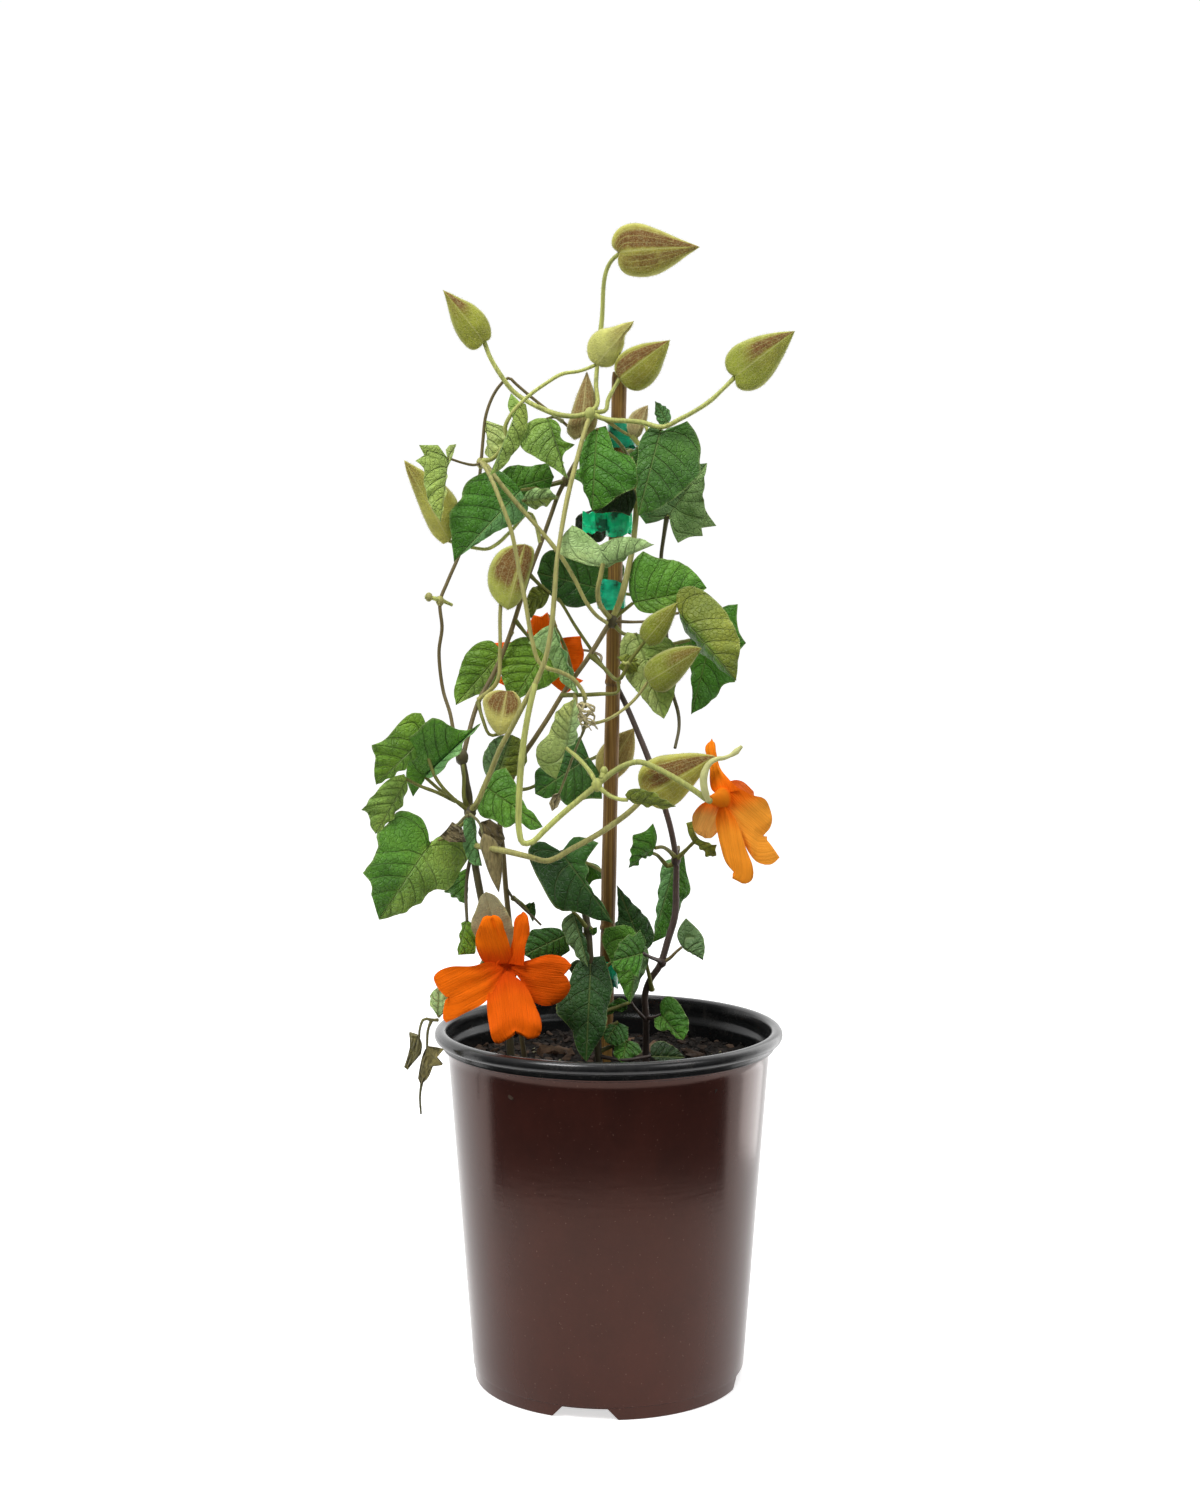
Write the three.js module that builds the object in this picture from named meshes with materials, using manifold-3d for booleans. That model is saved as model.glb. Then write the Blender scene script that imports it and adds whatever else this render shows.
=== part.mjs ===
// An orange clock vine in a nursery pot: pot, potting mix, bamboo stake, tape ties,
// leafy stems, buds, three flowers and a few withered remains. Millimetres, +Z up.
// The pot stands on z = 0 with its axis on the origin, and -Y is the front.
import * as THREE from 'three';
import { mergeVertices } from 'three/addons/utils/BufferGeometryUtils.js';
import Module from 'manifold-3d';

const wasm = await Module();
wasm.setup();

// Driving dimensions
const GAP = 0.3;                 // clearance between neighbouring pieces
const POT_HEIGHT = 168.7;
const LIP_RADIUS = 82.5;         // outside of the rolled lip
const POT_WALL = 1.6;
const WALL_TOP = { r: 76.1, z: 156.5 };
const WALL_FOOT = { r: 64.7, z: 6.4 };
const SKIRT_RADIUS = 63.9;       // outside of the base edge
const FLOOR = { raised: 3, thickness: 1.6, middle: 30, footRing: 55 };
const NOTCH = { count: 4, first: -100, bottomWidth: 33, topWidth: 26, height: 6, depth: 8 };
const MIX_LEVEL = 150;
const STAKE_RADIUS = 3.5;
const STAKE_FOOT = [-4.4, 5, 22];
const STAKE_TOP = [5, 5, 476.6];
const TAPE = 0.8;                // thickness of the tie tape, both layers
const LEAF = 0.8;                // thickness of a leaf blade
const BRACT = 1.1;               // thickness of a bract and of the seam round a bud
const PETAL = 1.0;
const STEM_STEP = 15;            // length of a straight facet along a stem
const SPECK = 0.02;              // edges and slivers smaller than this are left out

// The plant's places are given as [across, down, behind]: the first two are read in the
// front view, a frame of 1200 by 1500 seen from the eye below, and the third is how far
// the place lies behind the pot's axis, in millimetres, negative towards the front.
const EYE = { x: -4.1, y: -1083.3, z: 393.3, tilt: 0.0857, reach: 2310.9, middle: [600, 750] };

function seen([across, down, behind]) {
  const u = (across - EYE.middle[0]) / EYE.reach;
  const v = (EYE.middle[1] - down) / EYE.reach;
  const [c, s] = [Math.cos(EYE.tilt), Math.sin(EYE.tilt)];
  const t = (behind - EYE.y) / (c + s * v);
  return new THREE.Vector3(EYE.x + t * u, behind, EYE.z + t * (c * v - s));
}

function shown({ x, y, z }) {
  const [c, s] = [Math.cos(EYE.tilt), Math.sin(EYE.tilt)];
  const [across, ahead, up] = [x - EYE.x, y - EYE.y, z - EYE.z];
  const far = ahead * c - up * s;
  return [
    EYE.middle[0] + (EYE.reach * across) / far,
    EYE.middle[1] - (EYE.reach * (up * c + ahead * s)) / far,
    y,
  ];
}

// Finishes

const finish = (color, roughness, metalness = 0) =>
  new THREE.MeshStandardMaterial({ color, roughness, metalness });
const FINISH = {
  pot: finish(0x3c1f1e, 0.34),
  mix: finish(0x1c1712, 0.95),
  bamboo: finish(0x84592c, 0.6),
  tape: finish(0x0f7a52, 0.25),
  oldStem: finish(0x4a7a2a, 0.6),
  youngStem: finish(0xa9b860, 0.65),
  bud: finish(0xa9a446, 0.7),
  bract: finish(0xa79a4c, 0.7),
  orange: finish(0xfa6a05, 0.6),
  amber: finish(0xf99022, 0.6),
  withered: finish(0x6f6842, 0.9),
};

// Solids

function solidOf(geometry) {
  const bare = geometry.clone();
  bare.deleteAttribute('normal');
  bare.deleteAttribute('uv');
  const merged = mergeVertices(bare, 1e-4);
  const p = merged.attributes.position;
  const index = Array.from(merged.index.array);
  const corner = (k) => new THREE.Vector3().fromBufferAttribute(p, index[k]);
  let volume = 0;
  for (let k = 0; k < index.length; k += 3) {
    volume += corner(k).dot(corner(k + 1).cross(corner(k + 2)));
  }
  if (volume < 0) index.reverse();
  return new wasm.Manifold(new wasm.Mesh({
    numProp: 3, vertProperties: new Float32Array(p.array), triVerts: new Uint32Array(index),
  }));
}

function geometryOf(solid) {
  const { vertProperties, triVerts } = solid.getMesh();
  const g = new THREE.BufferGeometry();
  g.setAttribute('position', new THREE.BufferAttribute(vertProperties, 3));
  g.setIndex(new THREE.BufferAttribute(triVerts, 1));
  return g;
}

const fuse = (solids) => solids.reduce((all, one) => all.add(one));
const cut = (solid, tools) => tools.reduce((left, tool) => left.subtract(tool), solid);
const largest = (solid) => solid.decompose().reduce((best, one) => (
  one.volume() > best.volume() ? one : best
));

function ring(radius, sides) {
  const shape = new THREE.Shape();
  for (let k = 0; k < sides; k += 1) {
    const angle = (k / sides) * 2 * Math.PI;
    const [x, y] = [radius * Math.cos(angle), radius * Math.sin(angle)];
    if (k) shape.lineTo(x, y); else shape.moveTo(x, y);
  }
  shape.closePath();
  return shape;
}

// A round rod along the places in points, which are vectors.
function rod(points, radius, sides = 5, step = STEM_STEP) {
  const curve = new THREE.CatmullRomCurve3(points, false, 'centripetal');
  const steps = Math.max(Math.round(curve.getLength() / step), Math.min(points.length - 1, 2));
  return solidOf(new THREE.ExtrudeGeometry(ring(radius, sides), {
    steps, bevelEnabled: false, extrudePath: curve,
  }));
}

// Blades: leaves, bracts, petals and closed buds are all one thin sheet between a midrib
// and two margins, given a thickness, and for a bud swollen between its margins.

const blend = (p, q, t) => p.map((value, k) => value + (q[k] - value) * t);
const clamp = (value) => Math.min(1, Math.max(0, value));

// One side of a blade as rows of places with the share of the midrib that each belongs to.
function marginOf({ base, tip, arch = 0 }, margin, rise) {
  const axis = [tip[0] - base[0], tip[1] - base[1]];
  const length = Math.hypot(...axis);
  const spots = margin.map(([x, y]) => {
    const [dx, dy] = [x - base[0], y - base[1]];
    return {
      x, y,
      along: (dx * axis[0] + dy * axis[1]) / length ** 2,
      off: Math.abs(dx * axis[1] - dy * axis[0]) / length,
    };
  });
  const widest = Math.max(...spots.map((s) => s.off), 1);
  let share = 0;
  return spots.map(({ x, y, along, off }) => {
    share = Math.max(share, clamp(along - 0.45 * (off / length)));
    const near = clamp(along);
    const depth = base[2] + (tip[2] - base[2]) * near + rise * (off / widest)
      + arch * 4 * near * (1 - near);
    return { place: seen([x, y, depth]), share: Math.min(share, 0.97) };
  });
}

// Joins two rows of numbered places into triangles, nearest share first.
function zip(near, far, faces, flip) {
  let [i, j] = [0, 0];
  while (i < near.length - 1 || j < far.length - 1) {
    const moveFar = i === near.length - 1
      || (j < far.length - 1 && far[j + 1].share <= near[i + 1].share);
    const face = moveFar
      ? [near[i].id, far[j].id, far[j + 1].id]
      : [near[i].id, far[j].id, near[i + 1].id];
    if (moveFar) j += 1; else i += 1;
    if (new Set(face).size === 3) faces.push(flip ? face.reverse() : face);
  }
}

function blade(spec, thickness, plump = 0) {
  const { base, tip, a, b, rise = [0, 0], arch = 0, ribs = 3 } = spec;
  const places = [];
  const number = (place, swell) => places.push({ place, swell }) - 1;
  const swellAt = (share) => Math.sin(Math.PI * clamp(0.12 + 0.86 * share ** 0.75));
  const midrib = [];
  for (let k = 0; k <= ribs; k += 1) {
    const share = k / ribs;
    const spot = blend(base, tip, share);
    spot[2] += arch * 4 * share * (1 - share);
    midrib.push({ share, id: number(seen(spot), k === ribs ? 0 : plump * swellAt(share)) });
  }
  const [first, last] = [midrib[0], midrib[ribs]];
  const faces = [];
  const rim = [];
  [[a, rise[0], false], [b, rise[1], true]].forEach(([margin, lift, flip]) => {
    const edge = marginOf(spec, margin, lift)
      .map(({ place, share }) => ({ place, share, id: number(place, 0) }));
    const outer = [first, ...edge, last];
    if (plump) {
      const inner = edge.filter((_, k) => k % 2 === 1).map(({ place, share }) => {
        const foot = blend(base, tip, share);
        foot[2] += arch * 4 * share * (1 - share);
        const middle = seen(foot).lerp(place, 0.55);
        return { share, id: number(middle, plump * 0.8 * swellAt(share)) };
      });
      const between = [first, ...inner, last];
      zip(midrib, between, faces, flip);
      zip(between, outer, faces, flip);
    } else {
      zip(midrib, outer, faces, flip);
    }
    rim.push(outer.map(({ id }) => id));
  });
  return thicken(places, faces, [...rim[0], ...rim[1].slice(1, -1).reverse()], thickness);
}

function thicken(places, faces, rim, thickness) {
  const normals = places.map(() => new THREE.Vector3());
  faces.forEach((face) => {
    const [p, q, r] = face.map((id) => places[id].place);
    const n = q.clone().sub(p).cross(r.clone().sub(p));
    face.forEach((id) => normals[id].add(n));
  });
  const lifted = (side) => places.map(({ place, swell }, id) => (
    place.clone().addScaledVector(normals[id].clone().normalize(), side * (thickness / 2 + swell))
  ));
  const points = [...lifted(1), ...lifted(-1)];
  const count = places.length;
  const index = [];
  faces.forEach(([p, q, r]) => {
    index.push(p, q, r, count + p, count + r, count + q);
  });
  rim.forEach((p, k) => {
    const q = rim[(k + 1) % rim.length];
    index.push(q, p, count + p, q, count + p, count + q);
  });
  return solidOf(new THREE.BufferGeometry().setFromPoints(points).setIndex(index));
}

// Outlines by rule for the leaves that the front view hides: [along, out] as shares of the
// blade's length and half width, from the stalk round to the tip.
const ARROW = [[-0.1, 0.2], [-0.18, 0.6], [-0.02, 1], [0.16, 0.78], [0.36, 0.8], [0.62, 0.42]];

function arrowLeaf(base, tip, halfWidth, rise = [4, 4], arch = -4) {
  const axis = [tip[0] - base[0], tip[1] - base[1]];
  const length = Math.hypot(...axis);
  const out = [-axis[1] / length, axis[0] / length];
  const side = (sign) => ARROW.map(([u, v]) => [
    base[0] + u * axis[0] + sign * v * halfWidth * out[0],
    base[1] + u * axis[1] + sign * v * halfWidth * out[1],
  ]);
  return { base, tip, a: side(1), b: side(-1), rise, arch };
}

const stem = (radius, ...places) => ({ radius, places });

// Thick stems have five sides and slender ones three, which stand out by a little more.
function rodOf({ radius, places }, more = 0) {
  const sides = [5, 4, 3][[1.15, 0.95, 0].findIndex((least) => radius > least)];
  const grown = sides === 3 ? 1.15 * radius + 1.9 * more : radius + 1.3 * more;
  return rod(places.map(seen), grown, sides);
}

// A swelling where leaves and branches leave a stem.
function knot([across, down, behind, radius], more = 0) {
  const ball = new THREE.IcosahedronGeometry(radius + more, 0);
  const at = seen([across, down, behind]);
  return solidOf(ball.translate(at.x, at.y, at.z));
}

// Pot

function potProfile() {
  const inner = (p) => [p.r - POT_WALL, p.z];
  const top = FLOOR.raised + FLOOR.thickness;
  return [
    [0, 0], [FLOOR.middle, 0], [FLOOR.middle + 3, FLOOR.raised],
    [FLOOR.footRing, FLOOR.raised], [FLOOR.footRing + 2, 0],
    [SKIRT_RADIUS, 0], [SKIRT_RADIUS + 0.2, 5.6], [WALL_FOOT.r, WALL_FOOT.z],
    [WALL_TOP.r, WALL_TOP.z], [WALL_TOP.r + 1.2, 158.6], [79.8, 160.2],
    [LIP_RADIUS, 164.4], [LIP_RADIUS - 0.4, 167.4], [LIP_RADIUS - 1.8, POT_HEIGHT],
    [78.6, POT_HEIGHT], [76.9, 166.8], [76.4, 159.8], inner(WALL_TOP), inner(WALL_FOOT),
    [WALL_FOOT.r - 3.4, top], [FLOOR.middle + 2, top], [FLOOR.middle - 1, FLOOR.thickness],
    [0, FLOOR.thickness],
  ].map(([r, z]) => new THREE.Vector2(r, z));
}

const upright = (geometry) => geometry.rotateX(Math.PI / 2);

function notch(angle) {
  const { bottomWidth, topWidth, height, depth } = NOTCH;
  const mouth = new THREE.Shape([
    new THREE.Vector2(-bottomWidth / 2, -1), new THREE.Vector2(bottomWidth / 2, -1),
    new THREE.Vector2(topWidth / 2, height), new THREE.Vector2(-topWidth / 2, height),
  ]);
  const block = new THREE.ExtrudeGeometry(mouth, { depth: depth * 2, bevelEnabled: false });
  upright(block);
  block.translate(0, -(SKIRT_RADIUS - depth), 0);
  block.rotateZ(THREE.MathUtils.degToRad(angle + 90));
  return solidOf(block);
}

function pot() {
  const shell = solidOf(upright(new THREE.LatheGeometry(potProfile(), 32)));
  const notches = Array.from({ length: NOTCH.count }, (_, k) => (
    notch(NOTCH.first + (k * 360) / NOTCH.count)
  ));
  return cut(shell, notches);
}

// Potting mix: level, with low lumps, and bark bits that stand out of it.

const BARK = [
  [-26, 24, 16, 9, 6, 0.35], [20, 34, 12, 6, 4, 1.2], [42, 22, 10, 5, 4, -0.5],
  [-48, 6, 12, 7, 4, 0.9], [6, 52, 14, 6, 4, 0.1], [-34, -26, 11, 6, 4, 2.2],
  [38, -30, 13, 6, 4, -0.9], [-8, -46, 12, 7, 4, 0.7],
];
const MIX_RINGS = [18, 38, 58];

function lump(x, y) {
  return 0.9 * Math.sin(x * 0.21 + 1) * Math.cos(y * 0.19) + 0.6 * Math.sin(x * 0.4 - y * 0.33);
}

function pottingMix(holes) {
  const wallAt = (z) => WALL_FOOT.r - POT_WALL - GAP
    + ((z - WALL_FOOT.z) / (WALL_TOP.z - WALL_FOOT.z)) * (WALL_TOP.r - WALL_FOOT.r);
  const floor = FLOOR.raised + FLOOR.thickness + GAP;
  const profile = [
    [0, FLOOR.thickness + GAP], [FLOOR.middle - 1.4, FLOOR.thickness + GAP],
    [FLOOR.middle + 1.8, floor], [WALL_FOOT.r - 3.9, floor], [wallAt(floor + 3.2), floor + 3.2],
    [wallAt(MIX_LEVEL - 3), MIX_LEVEL - 3], [wallAt(MIX_LEVEL) - 1, MIX_LEVEL - 1],
    ...MIX_RINGS.slice().reverse().map((r) => [r, MIX_LEVEL]), [0, MIX_LEVEL],
  ].map(([r, z]) => new THREE.Vector2(r, z));
  const body = upright(new THREE.LatheGeometry(profile, 16));
  const p = body.attributes.position;
  for (let k = 0; k < p.count; k += 1) {
    if (p.getZ(k) > MIX_LEVEL - 0.5) p.setZ(k, MIX_LEVEL + lump(p.getX(k), p.getY(k)));
  }
  const bark = BARK.map(([x, y, length, width, height, turn]) => {
    const chip = new THREE.BoxGeometry(length, width, height + 4);
    chip.rotateX(0.2 * Math.sin(x)).rotateY(0.25 * Math.cos(y)).rotateZ(turn);
    return solidOf(chip.translate(x, y, MIX_LEVEL + height / 2 - 2));
  });
  return cut(fuse([solidOf(body), ...bark]), holes);
}

// Bamboo stake

const stakeAt = (z) => {
  const t = (z - STAKE_FOOT[2]) / (STAKE_TOP[2] - STAKE_FOOT[2]);
  return new THREE.Vector3(...blend(STAKE_FOOT, STAKE_TOP, t));
};

function stakeRod(more) {
  return rod([stakeAt(STAKE_FOOT[2] - more), stakeAt(STAKE_TOP[2] + more)],
    STAKE_RADIUS + more, 12, 1000);
}

// Tape ties: an oblong loop round the stake with its two ends pinched into a tab.

const TIES = {
  tape_tie_top: { z: 447, height: 11, reach: [4.1, 7.4], tab: { turn: 0.5, length: 6 } },
  tape_tie_upper: { z: 407, height: 12, reach: [4.1, 6.4], tab: { turn: 3.5, length: 13 } },
  tape_tie_middle: { z: 373, height: 13, reach: [7.4, 4.1], tab: { turn: 3.7, length: 5 } },
  tape_tie_low: { z: 192, height: 12, reach: [4.1, 4.6], tab: { turn: 0.4, length: 4 } },
};

function tie({ z, height, reach, tab }) {
  const half = STAKE_RADIUS + GAP;
  const loop = (more) => {
    const shape = new THREE.Shape();
    shape.absarc(reach[1] - half + GAP, 0, half + more, -Math.PI / 2, Math.PI / 2);
    shape.absarc(-reach[0] + half - GAP, 0, half + more, Math.PI / 2, 1.5 * Math.PI);
    return shape;
  };
  const outline = loop(TAPE);
  outline.holes.push(loop(0));
  const band = new THREE.ExtrudeGeometry(outline, {
    depth: height, bevelEnabled: false, curveSegments: 3,
  });
  const flap = new THREE.BoxGeometry(tab.length, TAPE * 1.5, height * 0.8);
  flap.translate(tab.length / 2 + half + TAPE * 0.3, 0, height / 2);
  flap.rotateZ(tab.turn);
  const at = stakeAt(z);
  const place = (geometry) => geometry.translate(at.x, at.y, z - height / 2);
  return fuse([solidOf(place(band)), solidOf(place(flap))]);
}

// Leafy stems. Each is a list of stems and petioles, its swellings, and its leaves.

const LEFT_LOWER = {
  stems: [
    stem(1.7, [512, 1085, -14], [509, 1030, -16], [500, 975, -18], [486, 920, -20],
      [476, 870, -21], [472, 840, -21], [470, 812, -20]),
    stem(1.5, [470, 812, -20], [469, 795, -20], [466, 780, -19], [462, 757, -18]),
    stem(0.9, [496, 952, -19], [497, 955, -21], [499, 957, -23]),
    stem(0.8, [492, 945, -19], [478, 970, -24], [458, 995, -31], [438, 1017, -37]),
    stem(0.9, [468, 808, -20], [464, 797, -23], [464, 778, -23], [463, 764, -19]),
    stem(0.8, [470, 810, -20], [456, 801, -21], [440, 790, -21], [425, 777, -20.5]),
    stem(0.8, [471, 815, -20], [456, 830, -20], [444, 838, -20], [431, 843, -20]),
    stem(0.8, [473, 850, -21], [468, 870, -18], [466, 895, -20], [467, 921, -25]),
    stem(0.8, [472, 812, -20], [478, 804, -16], [480, 796, -14], [486, 787, -14]),
    stem(0.8, [479, 801, -15], [488, 788, -10], [498, 776, -8]),
    stem(1.25, [472, 845, -21], [488, 848, -31], [505, 851, -36], [530, 857, -38],
      [546, 861, -38], [556, 858, -37.5], [568, 851, -37], [600, 833, -36], [628, 813, -36],
      [645, 797, -37]),
    stem(0.8, [470, 812, -20], [455, 800, -24], [436, 778, -27], [423, 739, -24.5]),
    stem(0.8, [456, 801, -21], [436, 792, -24], [420, 786, -25], [406, 779, -24.5]),
  ],
  knots: [[462, 757, -18, 3.4], [470, 812, -20, 3.2]],
  leaves: {
    upperLeft: {
      base: [424, 738, -25], tip: [376, 785, -35], rise: [-3, 4], arch: -4,
      a: [[426, 724], [421, 713], [412, 713], [398, 724], [384, 740], [371, 745], [375, 758],
        [374, 772]],
      b: [[419, 752], [409, 764], [398, 773], [388, 779]],
    },
    innerLeft: {
      base: [424, 777, -20], tip: [481, 723, -30], rise: [-7, -6], arch: -3,
      a: [[413, 797], [406, 778], [407, 762], [402, 742], [414, 734], [427, 721], [440, 719],
        [450, 725], [464, 731]],
      b: [[431, 778], [444, 768], [455, 757], [464, 744], [471, 734]],
    },
    paleLeft: {
      base: [407, 779, -25], tip: [376, 834, -34], rise: [-4, 3],
      a: [[404, 774], [393, 777], [380, 787], [371, 798], [361, 810], [368, 813], [370, 825]],
      b: [[407, 790], [402, 804], [395, 815], [386, 825]],
    },
    bigLeft: {
      base: [431, 843, -20], tip: [379, 920, -36], rise: [-6, 8], arch: -5,
      a: [[427, 837], [425, 824], [420, 817], [399, 811], [386, 825], [376, 834], [378, 847],
        [363, 873], [370, 882], [372, 896]],
      b: [[440, 836], [455, 838], [468, 842], [470, 854], [461, 870], [447, 890], [434, 890],
        [418, 904], [400, 914]],
    },
    bluish: {
      base: [471, 813, -23], tip: [482, 866, -25], rise: [0, 0],
      a: [[464, 816], [463, 832], [464, 850], [472, 864]], b: [[475, 820], [477, 840], [480, 856]],
    },
    underBig: {
      base: [467, 868, -17], tip: [467, 905, -13], rise: [5, 0],
      a: [[460, 872], [452, 880], [445, 891], [452, 896], [460, 901]],
      b: [[468, 875], [468, 886], [468, 896]],
    },
    besideFlower: {
      base: [467, 920, -25], tip: [458, 955, -28], rise: [2, 2],
      a: [[461, 923], [461, 934], [458, 945]], b: [[474, 925], [477, 940], [474, 954]],
    },
    overLip: {
      base: [438, 1017, -37], tip: [440, 985, -42], rise: [1, 1],
      a: [[432, 1008], [430, 996]], b: [[446, 1008], [448, 995]],
    },
    streaked: {
      base: [497, 777, -8], tip: [512, 735, -14], rise: [2, 3],
      a: [[488, 779], [484, 770], [483, 757], [488, 746], [497, 737]],
      b: [[507, 778], [518, 775], [526, 764], [526, 750], [520, 739]],
    },
    right: {
      base: [486, 787, -14], tip: [543, 827, -20], rise: [-3, 4], arch: -3,
      a: [[479, 794], [477, 805], [480, 815], [495, 821], [507, 828], [518, 822], [531, 830]],
      b: [[494, 772], [506, 768], [515, 782], [526, 806], [535, 815]],
    },
  },
};

const LEFT_OUTER = {
  stems: [
    stem(1.1, [461, 754, -19], [455, 738, -21], [450, 713, -19], [443, 690, -16],
      [439, 652, -15], [442, 628, -15], [440, 602, -15], [447, 583, -14], [457, 560, -12],
      [466, 535, 7], [474, 505, 11], [479, 480, 6], [481, 463, 0], [483, 440, 0], [486, 415, 0],
      [494, 394, 0], [503, 382, 0], [509, 378, 0], [516, 384, 0], [530, 396, 0],
      [545, 408, 1], [562, 421, 3], [578, 436, 5]),
    stem(0.8, [481, 463, 0], [474, 465, -7], [463, 463, -14], [448, 458, -19.5]),
    stem(1.15, [481, 462, 0], [485, 467, -9], [491, 478, -16], [500, 500, -21], [511, 530, -23],
      [519, 570, -24],
      [525, 600, -27], [532, 640, -29], [539, 662, -30], [547, 668, -30], [560, 672, -30],
      [573, 679, -29], [583, 692, -28], [586, 700, -28]),
    stem(1.1, [482, 462, 0], [488, 467, -8], [500, 483, -14], [520, 507, -15], [540, 530, -16],
      [560, 555, -17], [575, 580, -18], [586, 602, -18], [596, 615, -15], [607, 623, -9]),
    stem(0.9, [482, 461, 0], [492, 459, -6], [501, 450, -10], [507, 438, -12], [505, 428, -13],
      [512, 413, -14], [522, 402, -14], [531, 394, -14], [545, 384, -12], [562, 374, -8],
      [580, 371, -5], [598, 364, -3.2]),
    stem(0.8, [442, 601, -15], [433, 598, -17], [425, 597, -18]),
    stem(0.7, [441, 600, -15], [452, 605, -11]),
    stem(0.7, [562, 421, 3], [554, 417, -6], [547, 419, -11]),
  ],
  knots: [[440, 601, -15, 2.2], [481, 463, 0, 2.4], [429, 597, -17.5, 1.9]],
  leaves: {
    paleHanging: {
      base: [449, 457, -19], tip: [441, 522, -28], rise: [-4, 2],
      a: [[442, 455], [438, 445], [419, 445], [424, 455], [415, 461], [423, 468], [424, 482],
        [430, 505]],
      b: [[446, 450], [450, 445], [456, 444], [450, 457], [447, 472], [446, 492]],
    },
    paleToothed: {
      base: [485, 420, 0], tip: [489, 459, -4], rise: [2, -3],
      a: [[485, 432], [488, 441], [485, 450]], b: [[497, 424], [506, 427], [505, 440], [499, 451]],
    },
    paleNarrow: {
      base: [520, 402, -14], tip: [490, 475, -20], rise: [3, 3],
      a: [[511, 393], [508, 405], [512, 418], [512, 434], [504, 450], [494, 464]],
      b: [[526, 404], [528, 420], [522, 440], [512, 456], [500, 470]],
    },
    paleBroad: {
      base: [547, 418, -11], tip: [568, 479, -20], rise: [3, -2], arch: -2,
      a: [[535, 419], [519, 430], [521, 447], [535, 457], [553, 468]],
      b: [[556, 421], [561, 429], [562, 439], [574, 444], [563, 457], [563, 467]],
    },
  },
};

const MIDDLE = {
  stems: [
    stem(1.5, [464, 753, -16], [468, 736, -12], [478, 703, -6], [494, 673, -2], [508, 640, -1],
      [520, 603, 0], [530, 572, 2], [541, 543, 3], [551, 515, 5], [559, 493, 7],
      [566, 480, 8], [576, 462, 9], [586, 450, 10]),
    stem(0.8, [566, 481, 8], [552, 485, 6], [536, 488, 3], [521, 490, 0]),
    stem(0.8, [541, 543, 3], [530, 513, 9], [510, 532, 1], [497, 544, -6], [487, 549, -9],
      [475, 548, -9], [462, 545, -8.5], [449, 541, -8]),
    stem(0.8, [557, 498, 6], [545, 495, -3], [532, 498, -8], [522, 501, -8.5]),
    stem(0.8, [512, 632, -1], [508, 640, 3], [502, 652, 4]),
    stem(1.1, [478, 700, -6], [497, 682, -9], [500, 650, -9], [500, 620, -9], [501, 596, -9]),
    stem(0.8, [530, 575, 2], [540, 585, 5], [550, 593, 6.5]),
    stem(0.8, [515, 620, -1], [530, 638, 2], [545, 650, 2.5]),
    stem(0.8, [478, 702, -6], [483, 720, -12], [490, 735, -13.5], [500, 734, -13]),
    stem(0.8, [566, 480, 8], [540, 486, 10], [510, 492, 7], [500, 492, 5]),
  ],
  knots: [[566, 481, 8, 2.4]],
  leaves: {
    quilted: {
      base: [521, 490, 0], tip: [454, 562, -17], rise: [-1, 2], arch: -3,
      a: [[509, 477], [496, 470], [483, 473], [466, 483], [460, 500], [450, 512], [451, 535]],
      b: [[528, 508], [519, 522], [500, 530], [482, 541], [464, 553]],
    },
    darkTop: {
      base: [500, 492, 5], tip: [554, 477, 1], rise: [2, 3],
      a: [[497, 477], [510, 466], [530, 466], [548, 463]], b: [[512, 502], [530, 501], [547, 493]],
    },
    paleCurl: {
      base: [522, 501, -8.5], tip: [557, 497, -13], rise: [-2, 4],
      a: [[528, 491], [540, 488], [550, 490]], b: [[532, 508], [545, 506]],
    },
    olive: {
      base: [550, 594, 6.5], tip: [526, 600, 4], rise: [1, 1],
      a: [[543, 584], [532, 588]], b: [[545, 605], [535, 612], [531, 619], [527, 609]],
    },
    darkLeft: {
      base: [502, 652, 4], tip: [456, 705, -1], rise: [2, 2], arch: 3,
      a: [[492, 641], [480, 642], [469, 650], [462, 662], [458, 676], [454, 690]],
      b: [[502, 668], [496, 684], [484, 692], [470, 698]],
    },
    darkMiddle: {
      base: [545, 650, 2.5], tip: [513, 702, -4], rise: [2, 2],
      a: [[535, 640], [524, 637], [510, 643], [502, 656], [501, 672], [506, 690]],
      b: [[556, 660], [561, 675], [548, 686], [528, 694]],
    },
  },
};

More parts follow.
